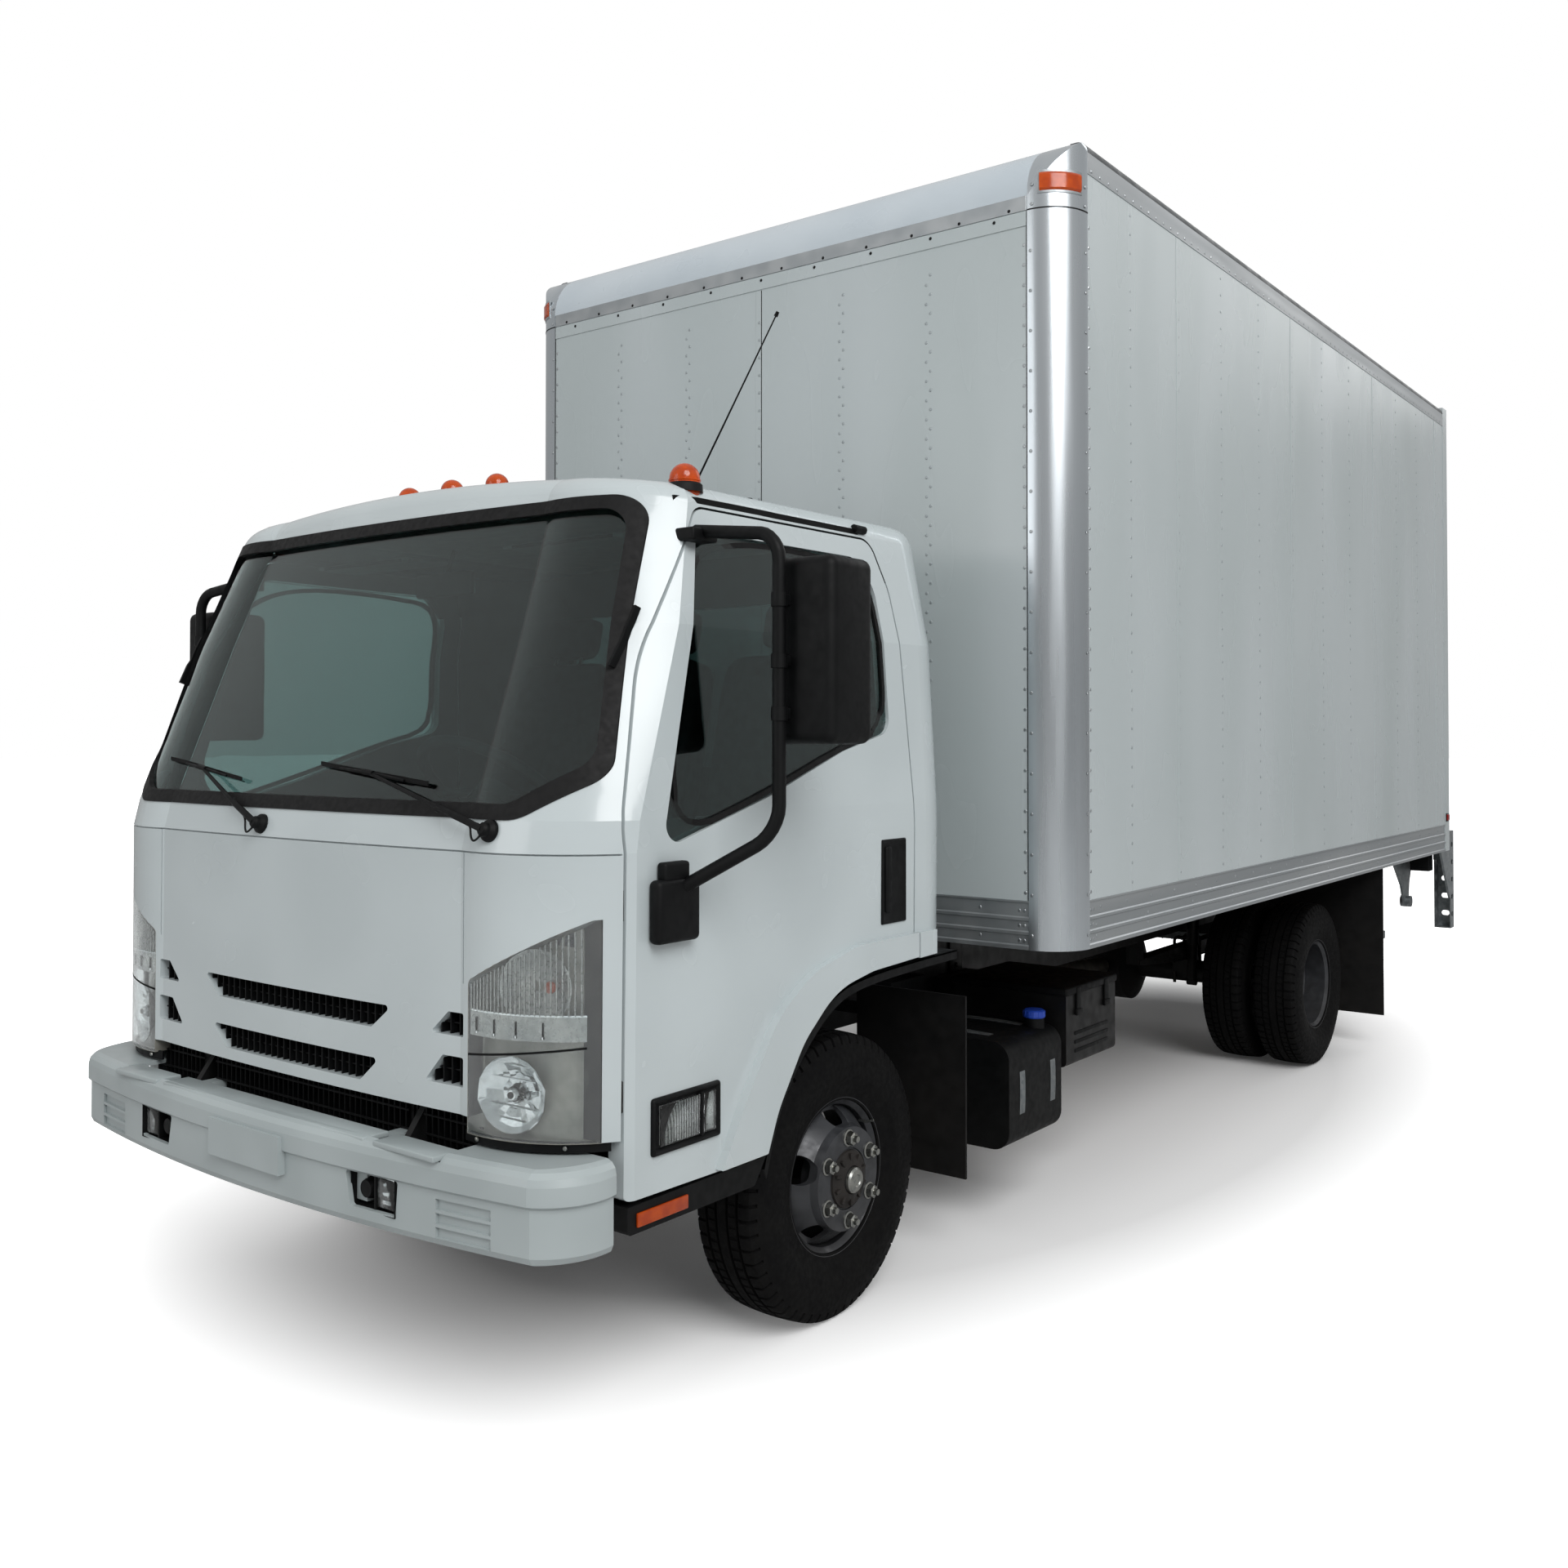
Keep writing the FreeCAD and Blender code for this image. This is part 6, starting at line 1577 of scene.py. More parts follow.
@dataclass
class Wipers:
    """Parked wipers: pivots, sprung arms, bridged blades and their washer hoses."""

    panes: tuple[str, ...] = ("cab_glass", "windshield_seal", "cab_pillars", "front_panel")
    pivots: tuple[Span, ...] = ((-136, 1361), (731, 1377))
    blades: tuple[tuple[Span, Span], ...] = (((-700, 1516), (-290, 1466)), ((50, 1512), (478, 1470)))

    def build(self) -> None:
        """Makes both wipers."""
        for index, (pivot, blade) in enumerate(zip(self.pivots, self.blades)):
            self.wiper(index, pivot, blade)

    def glass(self, x: float, z: float, lift: float) -> Vector:
        """A point lift mm off the windshield, in metres."""
        point, normal = hit(self.panes, at(x, AHEAD, z), Axis.Y.way)
        return point + normal * lift * MM

    def wiper(self, index: int, pivot: Span, blade: tuple[Span, Span]) -> None:
        """One wiper.

        Args:
            index: Its number.
            pivot: x and z of its spindle in mm.
            blade: x and z of the blade's ends in mm.
        """
        form = Form()
        root = self.glass(*pivot, 0)
        out = (self.glass(*pivot, 10) - root).normalized()
        form.lathe([(0, 26), (8, 25), (16, 17), (24, 16), (30, 11), (31, 0)], root, out, 24)
        a, b = [self.glass(*end, 9) for end in blade]
        middle = self.glass((blade[0][0] + blade[1][0]) / 2, (blade[0][1] + blade[1][1]) / 2, 26)
        knee = root + out * 24 * MM
        elbow = knee.lerp(middle, 0.35) + out * 5 * MM
        form.bar(knee, elbow, 9, 8, 8)
        form.bar(elbow, middle, 6.5, 4.5, 8)
        form.bar(elbow - out * 3 * MM, elbow + out * 3 * MM, 12, 10, 12)
        spine = traced(self.panes, [at(x, AHEAD, z) for x, z in blade], Axis.Y.way, 10, 3)
        form.ribbon(spine, out * 9 * MM, 2.4)
        form.ribbon([point + out * 11 * MM for point in spine], mm(0, 0, 9), 3)
        for claw in (spine[2], spine[8]):
            form.bar(claw + out * 12 * MM, middle, 3.5, 5, 6)
        saddle = (b - a).normalized() * 22 * MM
        form.bar(middle - saddle, middle + saddle, 7, None, 8)
        piece = form.piece(f"wiper_{index}", "cab", Paint.moulded_black, "black_plastic")
        if index == 0:
            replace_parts(piece, "wipers")
        loop = [knee - out * 8 * MM, knee + mm(-12, -12, -28), knee + mm(-34, -4, -22), knee + mm(-46, 4, 12),
            elbow + out * 6 * MM]
        tube(f"washer_hose_{index}", "cab", loop, 2.6, Paint.seal_rubber, "rubber", 16)


@dataclass(frozen=True)
class CabSide:
    """What is fastened to one side of the cab: handle, side lamp, rubbers, mirror, rails, arch and step."""

    side: Side
    arch: tuple[Span, ...] = ((-418, 520), (-372, 665), (-268, 800), (-128, 905), (22, 934), (300, 945),
        (505, 948))
    window: tuple[Span, ...] = ((-800, 1330), (-400, 1440), (-80, 1548), (145, 1600), (140, 1850), (135, 2005),
        (60, 2085), (-600, 2085), (-693, 1850))
    bow: tuple[Span3, ...] = ((1030, -760, 1240), (1215, -625, 1370), (1215, -625, 2050), (950, -610, 2080))

    @property
    def door(self) -> str:
        """The door of this side."""
        return f"{self.side.word}_door"

    def build(self) -> None:
        """Makes every trim piece of this side."""
        self.handle()
        self.side_lamp()
        self.window_rubber()
        self.mirror_parts()
        self.rails()
        self.arch_trim()
        self.step_parts()

    def box(self, form: Form, low: Point, high: Point, bevel: float = 2, segments: int = 2) -> list:
        """Adds a block given for the left side to this side."""
        return form.block((self.side * low[0], *low[1:]), (self.side * high[0], *high[1:]), bevel, segments)

    def black(self, form: Form, name: str, body: str = "cab") -> Solid:
        """Turns a mesh into a piece of moulded black plastic; its name follows that of the door or the side."""
        owner = self.side.word if body == "cab" else body
        return form.piece(f"{owner}_{name}", body, Paint.moulded_black, "black_plastic")

    def handle(self) -> None:
        """Recessed upright door handle with its lock."""
        form = Form()
        verts = self.box(form, (1009, 84, 1068), (1020, 206, 1302), 5, 3)
        form.recess(verts, Axis.X.way * self.side, 0.01, 12, -3)
        self.box(form, (1011, 100, 1100), (1024, 128, 1282), 6, 3)
        form.bar(at(self.side * 1011, 162, 1106), at(self.side * 1016, 162, 1106), 12, 11, 20)
        self.black(form, "handle", self.door)

    def side_lamp(self) -> None:
        """Side indicator in a black surround low on the door."""
        form, lens, back = Form(), Form(), Form()
        verts = self.box(form, (1004, -830, 648), (1021, -596, 778), 9, 3)
        form.recess(verts, Axis.X.way * self.side, 0.01, 12, -8)
        self.box(form, (1012, -672, 664), (1024, -662, 764))
        self.black(form, "indicator_case", self.door)
        for y0, y1 in ((-808, -674), (-660, -618)):
            self.box(lens, (1018, y0, 668), (1022, y1, 760))
        lens.piece(f"{self.door}_indicator_lens", self.door, Paint.clear_lens, "lamp_lens")
        for y in range(-804, -676, 8):
            self.box(back, (1012, y, 670), (1016, y + 5, 758), 1.2, 1)
        self.box(back, (1011, -656, 672), (1015, -622, 756), 3)
        back.piece(f"{self.door}_indicator_reflector", self.door, Paint.flute_silver, "lamp_lens")

    def window_rubber(self) -> None:
        """Black rubber channel round the door glass, and the trim along its sill."""
        path = []
        middle = Vector((-300, 1780, 0))
        for spot in rounded([Vector((y, z, 0)) for y, z in self.window], 3, closed=True):
            inside = spot.lerp(middle, 0.012)
            outside = spot + (spot - middle).normalized() * 16
            point, _ = hit((self.door, self.door + "_window"), at(self.side * ASIDE, outside.x, outside.y),
                -Axis.X.way * self.side)
            path.append(Vector((point.x - self.side * 4 * MM, at(0, inside.x, 0).y, inside.y * MM)))
        form = Form()
        form.ribbon([*path, path[0]], mm(self.side * -14, 0, 0), 13)
        form.piece(f"{self.door}_window_rubber", self.door, Paint.seal_rubber, "rubber")

    def mirror_parts(self) -> None:
        """The mirror: its bow, head and glass in place of the plain ones, with clamps and a rounded foot."""
        s, node_name = self.side, f"{self.side.word}_mirror"
        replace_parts(tube(f"{self.door}_mirror_bow", self.door, [at(s * x, y, z) for x, y, z in self.bow], 16,
            Paint.moulded_black, "black_plastic", 60), node_name)
        head = Form()
        outline = [at(s * x, y, 1570) for x, y in ((1165, -600), (1345, -600), (1345, -430), (1165, -410))]
        verts = head.plate(outline, mm(0, 0, 430), 26, 5)
        bmesh.ops.recalc_face_normals(head.bm, faces=head.bm.faces)
        head.recess(verts, Axis.Y.way, 0.01, 8, -8)
        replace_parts(self.black(head, "mirror_head", self.door), node_name)
        glass = Form()
        glass.plate([at(s * x, y, z) for x, y, z in ((1198, -420, 1602), (1312, -433, 1602), (1312, -433, 1968),
            (1198, -420, 1968))], mm(0, 3.5, 0), 1)
        glass.piece(f"{self.door}_mirror_glass", self.door, Paint.mirror_silver, "window_glass")
        form = Form()
        for z in (1640, 1760, 1900):
            form.bar(at(s * 1215, -625, z - 16), at(s * 1215, -625, z + 16), 19, None, 20)
            self.box(form, (1203, -625, z - 13), (1229, -598, z + 13), 3)
        self.box(form, (1015, -846, 1124), (1052, -704, 1268), 14, 4)
        self.box(form, (1018, -820, 1262), (1046, -735, 1306), 8, 3)
        self.box(form, (925, -660, 2052), (985, -570, 2084), 6, 3)
        self.black(form, "mirror_clamps", self.door)

    def rails(self) -> None:
        """Black drain cover on the windscreen pillar and the rail over the door."""
        s, inward = self.side, -Axis.X.way * self.side
        form = Form()
        path = traced(("cab_pillars", "windshield_seal"), [at(s * 1400, -846, 1743), at(s * 1400, -772, 1884)],
            inward, 8, 3)
        form.ribbon(path, mm(0, -18, 6), 8)
        self.black(form, "pillar_vent")
        form = Form()
        path = traced("cab_pillars", [at(s * 1400, -640, 2166), at(s * 1400, 100, 2166)], inward, 12, 5)
        form.ribbon(path, mm(0, 0, -15), 9)
        form.bar(path[-1] - mm(0, 20, 0), path[-1] + mm(0, 30, 0), 13, 12, 12)
        self.black(form, "drip_rail")

    def arch_trim(self) -> None:
        """Black arch edge and the liner inside it."""
        s = self.side
        form = Form()
        path = rounded([at(s * 1004, y, z) for y, z in self.arch], 3)
        near = rounded([at(s * 1004, y + 12 * (y < 0), z - 26) for y, z in self.arch], 3)
        form.ribbon(path, mm(s * -240, 0, 0), 4)
        rims = [[form.bm.verts.new(point) for point in loop] for loop in (path, near)]
        edges = [form.bm.edges.new(pair) for rim in rims for pair in zip(rim, rim[1:])]
        faces = bmesh.ops.bridge_loops(form.bm, edges=edges)["faces"]
        bmesh.ops.recalc_face_normals(form.bm, faces=faces)
        bmesh.ops.solidify(form.bm, geom=faces, thickness=5 * MM)
        self.black(form, "arch_liner")

    def step_parts(self) -> None:
        """Amber reflector and grip ribs of the step."""
        form = Form()
        self.box(form, (1003, -868, 502), (1010, -700, 534), 3)
        form.piece(f"{self.side.word}_step_reflector", "cab", Paint.amber_lens, "amber_lens")
        form = Form()
        for y in range(-870, -480, 26):
            self.box(form, (830, y, 549), (990, y + 8, 555), 1.5, 1)
        self.black(form, "step_ribs")


@dataclass
class CabTrim:
    """Both sides of the cab, the roof lamps, the aerial and the door hinges."""

    # each roof lamp: x, radius, height of its dome's foot
    roof_lamps: tuple[Span3, ...] = ((0, 32, 2279), (190, 32, 2276), (-190, 32, 2276), (879, 38, 2219),
        (-879, 38, 2219))
    roof_lamp_y: float = -572

    def build(self) -> None:
        """Makes every trim piece of the cab."""
        for side in Side:
            CabSide(side).build()
        self.lamps()
        self.aerial()
        form = Form()
        for side in Side:
            for z in (760, 1180):
                form.block((side * 972, -905, z), (side * 996, -880, z + 70), 3)
        form.piece("door_hinge_leaves", "cab", Paint.cast_iron, "frame_black")

    def lamps(self) -> None:
        """Amber domes of the roof lamps in place of the plain ones, and the rubber ring under each."""
        bases, domes = Form(), Form()
        for x, radius, level in self.roof_lamps:
            ring = radius if radius > 32 else radius - 1
            point, _ = hit("cab_roof", at(x, self.roof_lamp_y - ring - 6, ABOVE), -Axis.Z.way)
            foot = Vector((*at(x, self.roof_lamp_y, 0).xy, point.z))
            bases.lathe([(-16, ring + 7), (3, ring + 6), (7, ring + 2), (7, ring - 4)], foot, Axis.Z.way, 32)
            turns = [turn * math.pi / 16 for turn in range(9)]
            domes.lathe([(-58, radius), (-8, radius), (-7, radius + 2), (-3, radius + 2), (-2, radius),
                *((radius * math.sin(turn), radius * math.cos(turn)) for turn in turns)],
                at(x, self.roof_lamp_y, level), Axis.Z.way, 32)
        bases.piece("roof_lamp_bases", "cab", Paint.seal_rubber, "rubber")
        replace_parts(domes.piece("roof_lamp_domes", "cab", Paint.amber_lens, "amber_lens"), "roof_lamps")

    def aerial(self) -> None:
        """Whip aerial on the left pillar, and two plugs in the roof."""
        base, tip = at(834, -500, 2196), at(1108, -500, 2599)
        way = (tip - base).normalized() * MM
        form = Form()
        form.bar(base - way * 30, base + way * 35, 12, 7, 16)
        form.bar(base + way * 30, tip, 2.6, 1.7, 8)
        form.bar(tip - way * 4, tip + way * 8, 5, 4, 10)
        for x, y in ((700, -330), (770, -190)):
            point, _ = hit("cab_roof", at(x, y, ABOVE), -Axis.Z.way)
            form.lathe([(-3, 15), (8, 14), (16, 8), (17, 0)], point, Axis.Z.way, 16)
        form.piece("roof_aerial", "cab", Paint.moulded_black, "black_plastic")


# ---------------------------------------------------------------- cab interior
@dataclass(frozen=True)
class Pad:
    """One upholstered pad: a crowned closed form with sewn channels."""

    name: str
    middle: Point
    half: Point
    lean: float
    crown: float
    channels: tuple[float, ...]
    cuts: int = 22
    bulge: float = 7
    groove: float = 7
    seam: float = -0.55
    seam_width: float = 0.05
    waist: float = 0.035

    def build(self) -> Solid:
        """Makes the pad: a rounded block swollen on its face and drawn in along its seams.

        Returns:
            The padded object.
        """
        form = Form()
        verts = bmesh.ops.create_cube(form.bm, size=2)["verts"]
        edges = list({edge for vert in verts for edge in vert.link_edges})
        bmesh.ops.subdivide_edges(form.bm, edges=edges, cuts=self.cuts, use_grid_fill=True)
        turn = Matrix.Rotation(math.radians(-self.lean), 3, "X")
        for vert in form.bm.verts:
            vert.co = at(*self.middle) + turn @ (self.shaped(vert.co) * MM)
        piece = form.piece(self.name, "cab", Paint.cloth, "seat_cloth", smooth=180)
        return piece

    def shaped(self, place: Vector) -> Vector:
        """Where a point of the unit cube ends up on the pad.

        Args:
            place: The point, each coordinate from -1 to 1; +Z is the face that is sat on.

        Returns:
            The place from the pad's middle, in mm, before it leans.
        """
        span = sum(abs(c) ** self.bulge for c in place) ** (1 / self.bulge)
        soft = place / span
        fade = max(1 - place.x ** 2, 0) * max(1 - place.y ** 2, 0)
        rise = self.crown * fade if soft.z > 0.5 else 0
        if soft.z > 0.5:
            for channel in self.channels:
                for away in (abs(abs(place.x) - channel), abs(place.y - self.seam)):
                    rise -= self.groove * math.exp(-(away / self.seam_width) ** 2) * min(fade * 4, 1)
        waist = 1 - self.waist * (1 - abs(soft.z)) * (1 - soft.x ** 2 * soft.y ** 2)
        return Vector((soft.x * self.half[0] * waist, soft.y * self.half[1] * waist,
            soft.z * self.half[2] + rise))


@dataclass
class Seats:
    """Driver's seat and the two passenger places: padded cushions, backs and headrests on plastic bases."""

    # middle and width of each place
    places: tuple[Span, ...] = ((500, 500), (-30, 400), (-500, 500))
    lean: float = 78
    floor: float = 1035

    def build(self) -> None:
        """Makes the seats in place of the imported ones."""
        base, metal, trim = Form(), Form(), Form()
        for index, (x, width) in enumerate(self.places):
            half = width / 2
            for pad in (Pad(f"seat_cushion_{index}", (x, -95, 1194), (half - 2, 283, 58), 3, 10, (0.6,)),
                    Pad(f"seat_back_{index}", (x, 285, 1536), (half - 6, 308, 54), -self.lean, 8, (0.6,)),
                    Pad(f"seat_headrest_{index}", (x, 370, 1932), (118, 76, 32), -self.lean, 6, (), 12, 5)):
                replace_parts(pad.build(), "seats")
            self.base(base, metal, trim, x, half)
        base.piece("seat_bases", "cab", Paint.moulded_black, "black_plastic")
        metal.piece("seat_runners", "cab", Paint.zinc_bolt, "aluminium")
        trim.piece("seat_side_trims", "cab", Paint.vinyl, "black_plastic")

    def base(self, base: Form, metal: Form, trim: Form, x: float, half: float) -> None:
        """One seat's pedestal, runners, headrest posts, recliner cover and belt buckle.

        Args:
            base: Mesh of the plastic pieces.
            metal: Mesh of the metal pieces.
            trim: Mesh of the vinyl pieces.
            x: Middle of the seat in mm.
            half: Half of its width in mm.
        """
        base.block((x - half + 30, -298, self.floor + 22), (x + half - 30, 118, 1138), 18, 3)
        for side in Side:
            rail, post, flank = x + side * (half - 70), x + side * 62, x + side * (half - 8)
            metal.block((rail - 14, -296, self.floor), (rail + 14, 118, self.floor + 24), 3)
            metal.bar(at(post, 322, 1810), at(post, 352, 1876), 6)
            trim.block((flank, 96, 1140), (flank - side * 26, 236, 1262), 22, 3)
            metal.bar(at(flank - side * 2, 196, 1216), at(flank + side * 3, 196, 1216), 16, 14, 20)
        base.block((x - half + 14, 150, 1244), (x - half + 40, 186, 1330), 6)
        base.block((x + half - 26, -240, 1120), (x + half - 12, -60, 1142), 6)


@dataclass
class Dashboard:
    """Binnacle, dials, vents, radio and switches on the dashboard; column shroud and stalks."""

    wheel: Point = (430, -770, 1440)
    tilt: float = 50

    def build(self) -> None:
        """Makes the dashboard's details."""
        dark, rings, knobs = Form(), Form(), Form()
        for x, width in ((430, 190), (0, 150)):
            dark.block((x - width, -905, 1318), (x + width, -838, 1372), 16, 3)
            dark.block((x - width + 16, -846, 1240), (x + width - 16, -812, 1334), 8, 3)
        for x, radius in ((358, 44), (502, 44), (430, 22)):
            rings.lathe([(-2, radius), (4, radius), (4, radius - 4), (0, radius - 6), (0, 0), (-2, 0)],
                at(x, -812, 1288), Axis.Y.way, 32, closed=True)
        for x in (-820, -250, 250, 820):
            rings.lathe([(-4, 44), (5, 44), (5, 37), (-4, 37)], at(x, -838, 1268), Axis.Y.way, 28, closed=True)
            for z in range(1240, 1305, 13):
                dark.block((x - 34, -846, z), (x + 34, -832, z + 4), 1.5)
        dark.block((-110, -826, 1160), (110, -794, 1232), 6)
        for x in range(-72, 73, 36):
            knobs.bar(at(x, -800, 1196), at(x, -780, 1196), 11, 9, 18)
        dark.block((-760, -814, 1150), (-340, -806, 1248), 6)
        knobs.block((-575, -812, 1226), (-525, -796, 1240), 4)
        dark.piece("dash_binnacle", "cab", Paint.moulded_black, "black_plastic")
        rings.piece("dash_rings", "cab", Paint.flute_silver, "dash_plastic")
        knobs.piece("dash_knobs", "cab", Paint.vinyl, "black_plastic")
        self.column()

    def column(self) -> None:
        """Shroud and stalks below the wheel, and the pad over its hub."""
        shroud, pad = Form(), Form()
        angle = math.radians(self.tilt)
        way = Vector((0, -math.cos(angle), -math.sin(angle)))
        hub = at(*self.wheel)
        shroud.lathe([(75, 0), (75, 44), (110, 52), (190, 40), (190, 0)], hub, way, 28)
        root = hub + way * 98 * MM
        for near, far in ((30, 150), (-30, -140)):
            shroud.bar(root + mm(near, 0, 0), root + mm(far, 0, 0) - way * 14 * MM, 5, 7.5, 12)
        shroud.piece("column_shroud", "cab", Paint.moulded_black, "black_plastic")
        pad.lathe([(44, 62), (30, 60), (22, 48), (19, 0)], hub, way, 36)
        pad.piece("wheel_hub_pad", "steering_wheel", Paint.vinyl, "black_plastic")


@dataclass
class CabLining:
    """Sun visors, inside mirror and door cards."""

    # each moulding on a door: low and high corner in y and z, depth, radius of its edges
    mouldings: tuple[tuple, ...] = ((-560, 1180, 60, 1236, 46, 16), (-560, 930, 20, 1060, 30, 12))

    def build(self) -> None:
        """Makes the pieces."""
        soft, dark, bright = Form(), Form(), Form()
        for x in (430, -430):
            soft.block((x - 230, -560, 2098), (x + 230, -420, 2112), 6)
            dark.bar(at(x - 190, -556, 2104), at(x + 190, -556, 2104), 5)
        dark.bar(at(0, -560, 2110), at(0, -590, 2040), 7, 5)
        dark.block((-120, -604, 1978), (120, -584, 2046), 10, 3)
        bright.block((-114, -584, 1984), (114, -581, 2040), 2)
        soft.piece("sun_visors", "cab", Paint.headlining, "seat_cloth")
        dark.piece("inside_mirror_case", "cab", Paint.moulded_black, "black_plastic")
        bright.piece("inside_mirror", "cab", Paint.mirror_silver, "aluminium")
        for side in Side:
            self.card(side, f"{side.word}_door")

    def card(self, side: Side, body: str) -> None:
        """One door's inner trim: armrest, pocket, pull and window crank.

        Args:
            side: Side of the truck.
            body: The door.
        """
        form = Form()
        way = Axis.X.way * side
        for y0, z0, y1, z1, deep, radius in self.mouldings:
            spot, _ = hit(body, at(0, (y0 + y1) / 2, (z0 + z1) / 2), way)
            x = spot.x / MM
            form.block((x + side * 4, y0, z0), (x - side * deep, y1, z1), radius, 3)
        spot, _ = hit(body, at(0, -120, 1120), way)
        root, inward, arm = spot + mm(side * 2, 0, 0), way * -MM, mm(0, 60, -50)
        form.bar(root, root + inward * 26, 13, 11, 20)
        form.bar(root + inward * 24, root + inward * 30 + arm, 7, 5, 12)
        form.bar(root + inward * 26 + arm, root + inward * 56 + arm, 9, 10, 16)
        form.piece(f"{body}_card", body, Paint.vinyl, "black_plastic")


ASSEMBLIES = (Tyres, WheelTrim, Undercarriage, FreightBody, Liftgate, Headlamps, GrilleVanes, BumperLamps,
    Wipers, CabTrim, Seats, Dashboard, CabLining)


# ---------------------------------------------------------------- studio
@dataclass(frozen=True)
class Studio:
    """Floor with a painted shadow round the truck, level light and the camera."""

    eye: Point = (3202, -3157, 1595)
    yaw: float = 36.94
    pitch: float = 0.96
    lens_mm: float = 32.53
    shift: Span = (-0.0156, -0.0474)
    floor_half_m: float = 90
    # painted shadow on the floor: these set the oval round the truck inside which the floor's glow is cut
    shade_oval: Span3 = (1.9, 1, 1)  # how much faster the floor pales across the truck than along it
    shade_near: float = 2.6
    shade_far: float = 5
    sensor_mm: float = 36
    # each lamp in metres: name, place, what it is aimed at, size and power
    lights: tuple[tuple, ...] = (("key", (10.5, -8, 10), (0.5, -1, 1.2), 9, 1350),
        ("fill", (-4, -14, 4.5), (0, -1.5, 1.2), 7, 190), ("back", (2, 12, 9), (0, 1, 1.6), 8, 300))

    def build(self) -> None:
        """Makes the floor, the lamps, the world and the camera."""
        self.floor()
        for lamp in self.lights:
            self.lamp(*lamp)
        self.world()
        self.camera()
        bpy.context.scene.view_settings.view_transform = "Standard"

    @staticmethod
    def seen(tree: Tree) -> Node:
        """Tells what the camera sees, straight or through glass, from what lights the truck.

        Args:
            tree: The material's node tree.

        Returns:
            The node whose first output is 1 for what the camera sees.
        """
        path = node(tree, "LightPath").outputs
        return node(tree, "Math", {0: path["Is Camera Ray"], 1: path["Is Transmission Ray"]},
            operation="MAXIMUM")

    @staticmethod
    def placed(name: str, data: bpy.types.ID) -> Solid:
        """Puts an object with the given data in the scene.

        Args:
            name: Its name.
            data: What it shows.

        Returns:
            The object.
        """
        made = bpy.data.objects.new(name, data)
        bpy.context.scene.collection.objects.link(made)
        return made

    def floor(self) -> None:
        """A large plane, white far off, with a painted shadow: its glow fades out in an oval round the truck.
        """
        bm = bmesh.new()
        bmesh.ops.create_grid(bm, x_segments=4, y_segments=4, size=self.floor_half_m)
        mesh = bpy.data.meshes.new("floor")
        bm.to_mesh(mesh)
        bm.free()
        ground = self.placed("floor", mesh)
        material = bpy.data.materials.new("studio_floor")
        material.use_nodes = True
        tree = material.node_tree
        tree.nodes.clear()
        rays = self.seen(tree)
        pale = node(tree, "BsdfDiffuse", {"Color": (0.5, 0.5, 0.5, 1)})
        place = node(tree, "TexCoord").outputs["Object"]
        oval = node(tree, "VectorMath", {0: place, 1: self.shade_oval}, operation="MULTIPLY")
        far = node(tree, "VectorMath", {0: oval}, operation="LENGTH").outputs["Value"]
        # painted shadow: the glow falls from full far off to almost none in an oval round the truck, darkening
        # the floor there beyond its real shadow
        lift = node(tree, "MapRange", {"Value": far, "From Min": self.shade_near, "From Max": self.shade_far,
            "To Min": 0.02, "To Max": 1})
        white = node(tree, "BsdfDiffuse", {"Color": (0.95, 0.95, 0.95, 1)})
        painted_shadow_glow = node(tree, "Emission", {"Strength": lift})
        bright = node(tree, "AddShader", {0: white, 1: painted_shadow_glow})
        mix = node(tree, "MixShader", {0: rays, 1: pale, 2: bright})
        node(tree, "OutputMaterial", {"Surface": mix})
        mesh.materials.append(material)

    def lamp(self, name: str, place: Point, aim: Point, size: float, power: float) -> None:
        """Makes one round lamp.

        Args:
            name: Its name.
            place: Where it is, in metres.
            aim: Where it points, in metres.
            size: Its diameter in metres.
            power: Its power in watts.
        """
        lamp = bpy.data.lights.new(name, "AREA")
        lamp.shape = "DISK"
        lamp.size = size
        lamp.energy = power
        holder = self.placed(name, lamp)
        holder.location = place
        holder.rotation_euler = (Vector(aim) - Vector(place)).to_track_quat("-Z", "Y").to_euler()

    def world(self) -> None:
        """White to the camera, a level pale grey to everything it lights."""
        world = bpy.data.worlds.new("studio")
        bpy.context.scene.world = world
        world.use_nodes = True
        tree = world.node_tree
        tree.nodes.clear()
        rays = self.seen(tree)
        place = node(tree, "TexCoord").outputs["Generated"]
        height = node(tree, "SeparateXYZ", {"Vector": place}).outputs["Z"]
        level = node(tree, "MapRange", {"Value": height, "From Min": -0.15, "From Max": 0.55, "To Min": 0.25,
            "To Max": 0.57})
        strength = node(tree, "Mix", {0: rays, 2: level, 3: 1}, data_type="FLOAT")
        back = node(tree, "Background", {"Color": (1, 1, 1, 1), "Strength": strength})
        node(tree, "OutputWorld", {"Surface": back})

    def camera(self) -> None:
        """The camera ahead of the truck's left front corner."""
        data = bpy.data.cameras.new("camera")
        data.sensor_width = self.sensor_mm
        data.lens = self.lens_mm
        data.shift_x, data.shift_y = self.shift
        data.clip_end = 400
        yaw, pitch = math.radians(self.yaw), math.radians(self.pitch)
        ahead = Vector((-math.sin(yaw) * math.cos(pitch), math.cos(yaw) * math.cos(pitch), math.sin(pitch)))
        camera = self.placed("camera", data)
        camera.location = at(*self.eye)
        camera.rotation_euler = ahead.to_track_quat("-Z", "Y").to_euler()
        bpy.context.scene.camera = camera


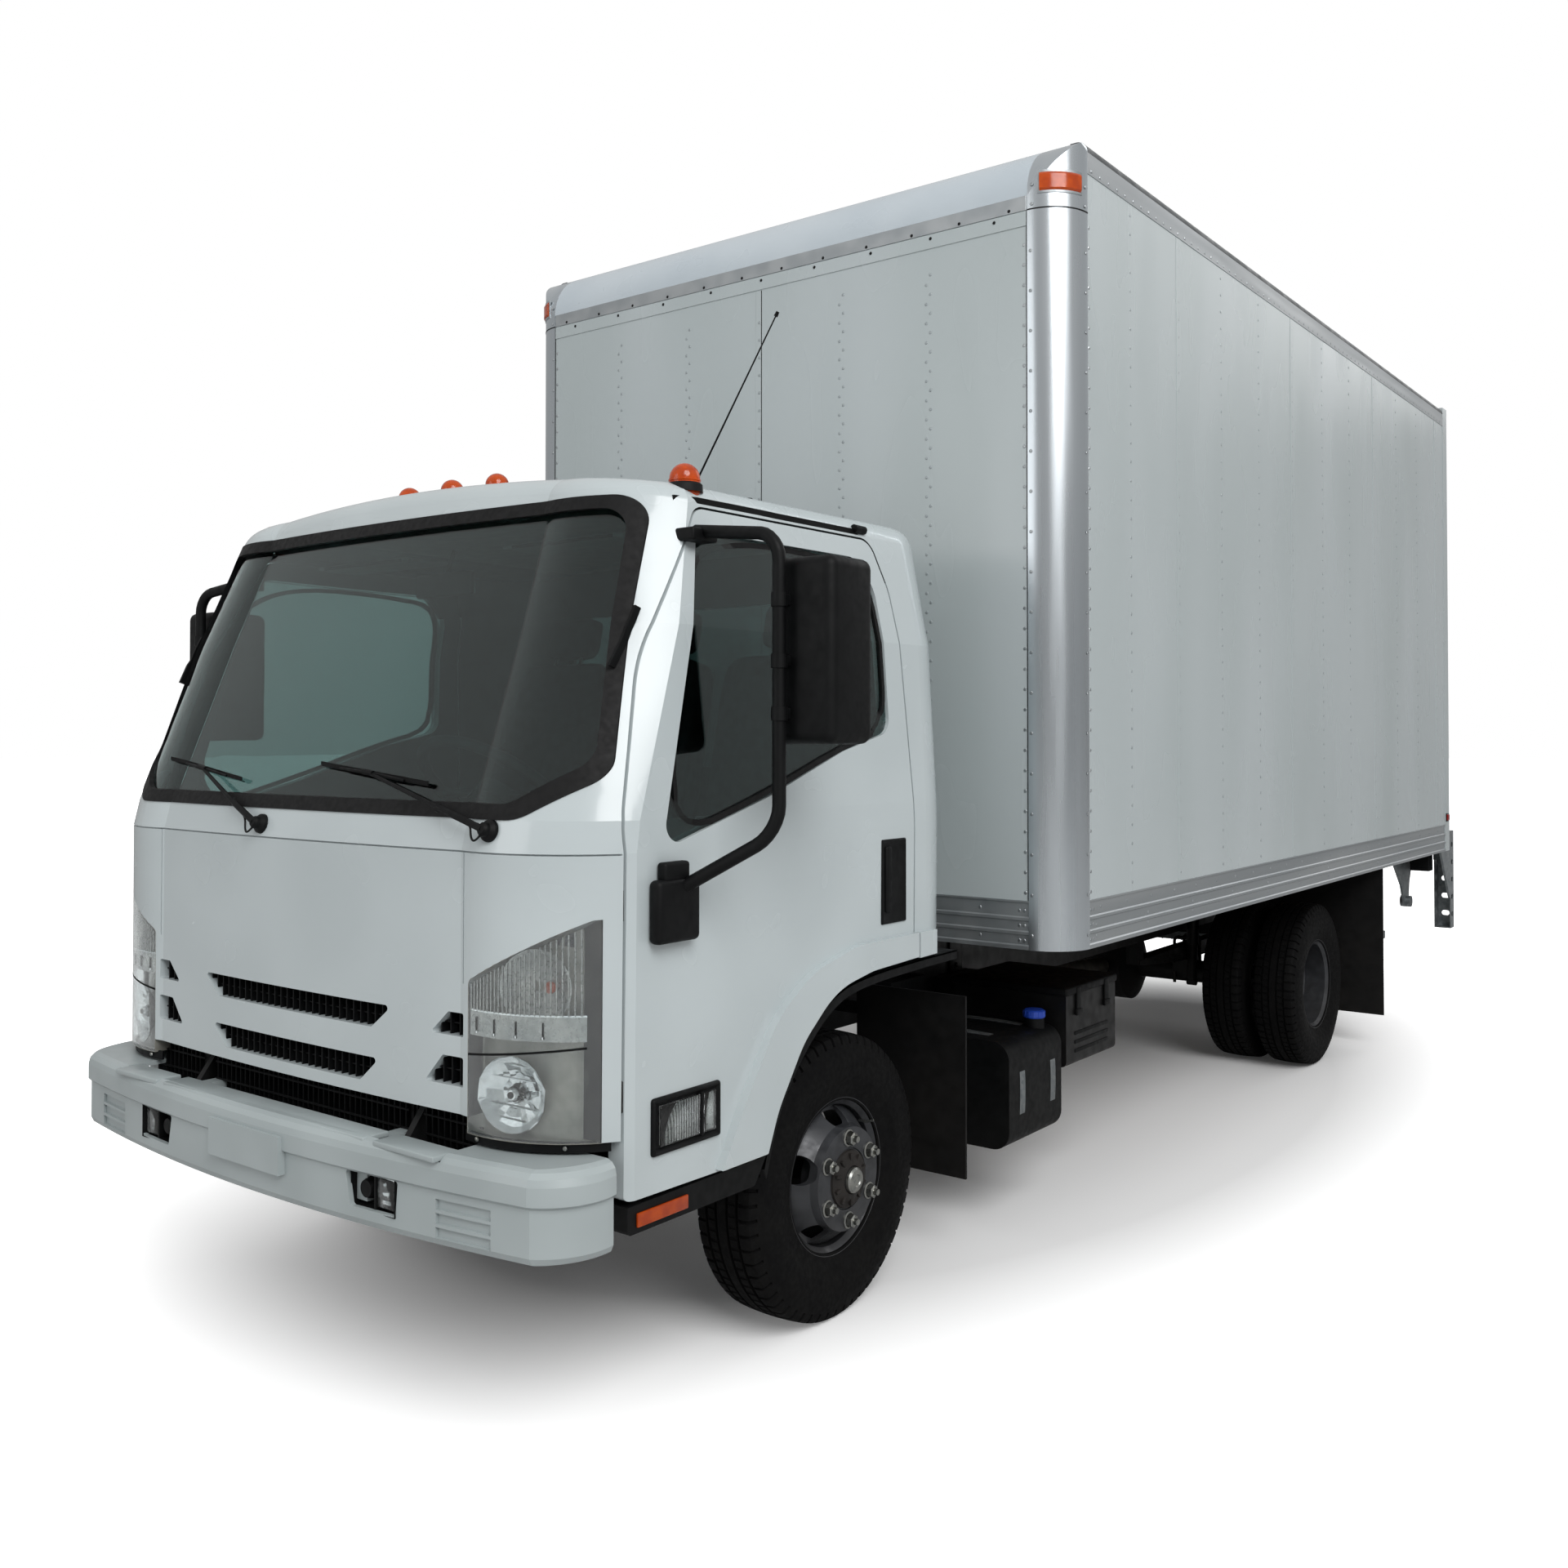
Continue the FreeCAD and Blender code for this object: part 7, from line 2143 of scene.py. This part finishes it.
# ---------------------------------------------------------------- CAD nodes
@dataclass
class Bodywork:
    """Dresses the CAD nodes that keep their shape."""

    by_slot: dict[str, Finish] = field(default_factory=lambda: {"frame_black": Paint.chassis_black,
        "cast_iron": Paint.cast_iron, "tube_steel": Paint.aluminised, "black_plastic": Paint.moulded_black,
        "white_paint": Paint.cab_enamel, "box_white": Paint.coil_sheet, "aluminium": Paint.mill_rail,
        "deck_wood": Paint.deck_wood, "galvanised": Paint.galvanised, "rubber": Paint.seal_rubber,
        "tyre": Paint.tyre_rubber, "wheel_silver": Paint.wheel_enamel, "window_glass": Paint.tinted_glass,
        "lamp_lens": Paint.clear_lens, "amber_lens": Paint.amber_lens, "seat_cloth": Paint.cloth,
        "dash_plastic": Paint.dash_plastic})
    by_node: dict[str, Finish] = field(default_factory=lambda: {"corner_posts": Paint.corner_sheet,
        "mudflaps": Paint.flap_rubber, "front_bumper": Paint.bumper_enamel})
    linings: dict[str, Finish] = field(default_factory=lambda: {"cab_pillars": Paint.trim_panel,
        "cab_back": Paint.trim_panel, "cab_roof": Paint.headlining, "left_door": Paint.trim_panel,
        "right_door": Paint.trim_panel})
    cab_middle: Point = (0, -300, 1500)
    inward: float = 0.55  # least cosine between a lined face and the way to the cab's middle
    nose_low: float = 3200
    nose_back: float = 955
    roof_edge: float = 1100
    roof_low: float = 3444

    def dress(self, frame: dict) -> None:
        """Puts each node's finish in its material slots.
        """
        slots = {part["node"]: part["material_slot"] for part in frame["record"]["subparts"]}
        for name, obj in frame["nodes"].items():
            finish = self.by_node.get(name, self.by_slot[slots[name]])
            obj.data.materials.clear()
            obj.data.materials.append(finish.material())
            LOG.info("%s wears %s", name, finish.name)
        middle = at(*self.cab_middle)
        for name, lining in self.linings.items():
            self.part_of(frame["nodes"][name], lining,
                lambda spot, out: (spot - middle).normalized().dot(out) < -self.inward)
        # painted sky reflection: the rails' nose ahead of the corner posts gets the lighter, bluer sheet
        nose = at(0, self.nose_back, self.nose_low)
        self.part_of(frame["nodes"]["body_rails"], Paint.nose_sheet,
            lambda spot, out: spot.y < nose.y and spot.z > nose.z)
        # dark grey band along the top of the side rails, behind the nose
        edge = at(self.roof_edge, self.nose_back, self.roof_low)
        self.part_of(frame["nodes"]["body_rails"], Paint.weathered_rail,
            lambda spot, out: spot.y >= nose.y and spot.z > edge.z and abs(spot.x) > edge.x)

    @staticmethod
    def part_of(obj: Solid, finish: Finish, wanted: Callable[[Vector, Vector], bool]) -> None:
        """Gives some of a node's faces a second finish.

        Args:
            obj: The CAD node.
            finish: What those faces are covered with.
            wanted: Says yes to such a face, from its middle and its normal.
        """
        obj.data.materials.append(finish.material())
        for face in obj.data.polygons:
            if wanted(face.center, face.normal):
                face.material_index = len(obj.data.materials) - 1


# ---------------------------------------------------------------- whole truck
def main() -> None:
    """Builds the whole scene, sub-assembly by sub-assembly."""
    logging.basicConfig(level=logging.INFO, format="%(message)s")
    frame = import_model()
    Datum.fix()
    Studio().build()
    Bodywork().dress(frame)
    for maker in ASSEMBLIES:
        maker().build()


if __name__ == "__main__":
    main()
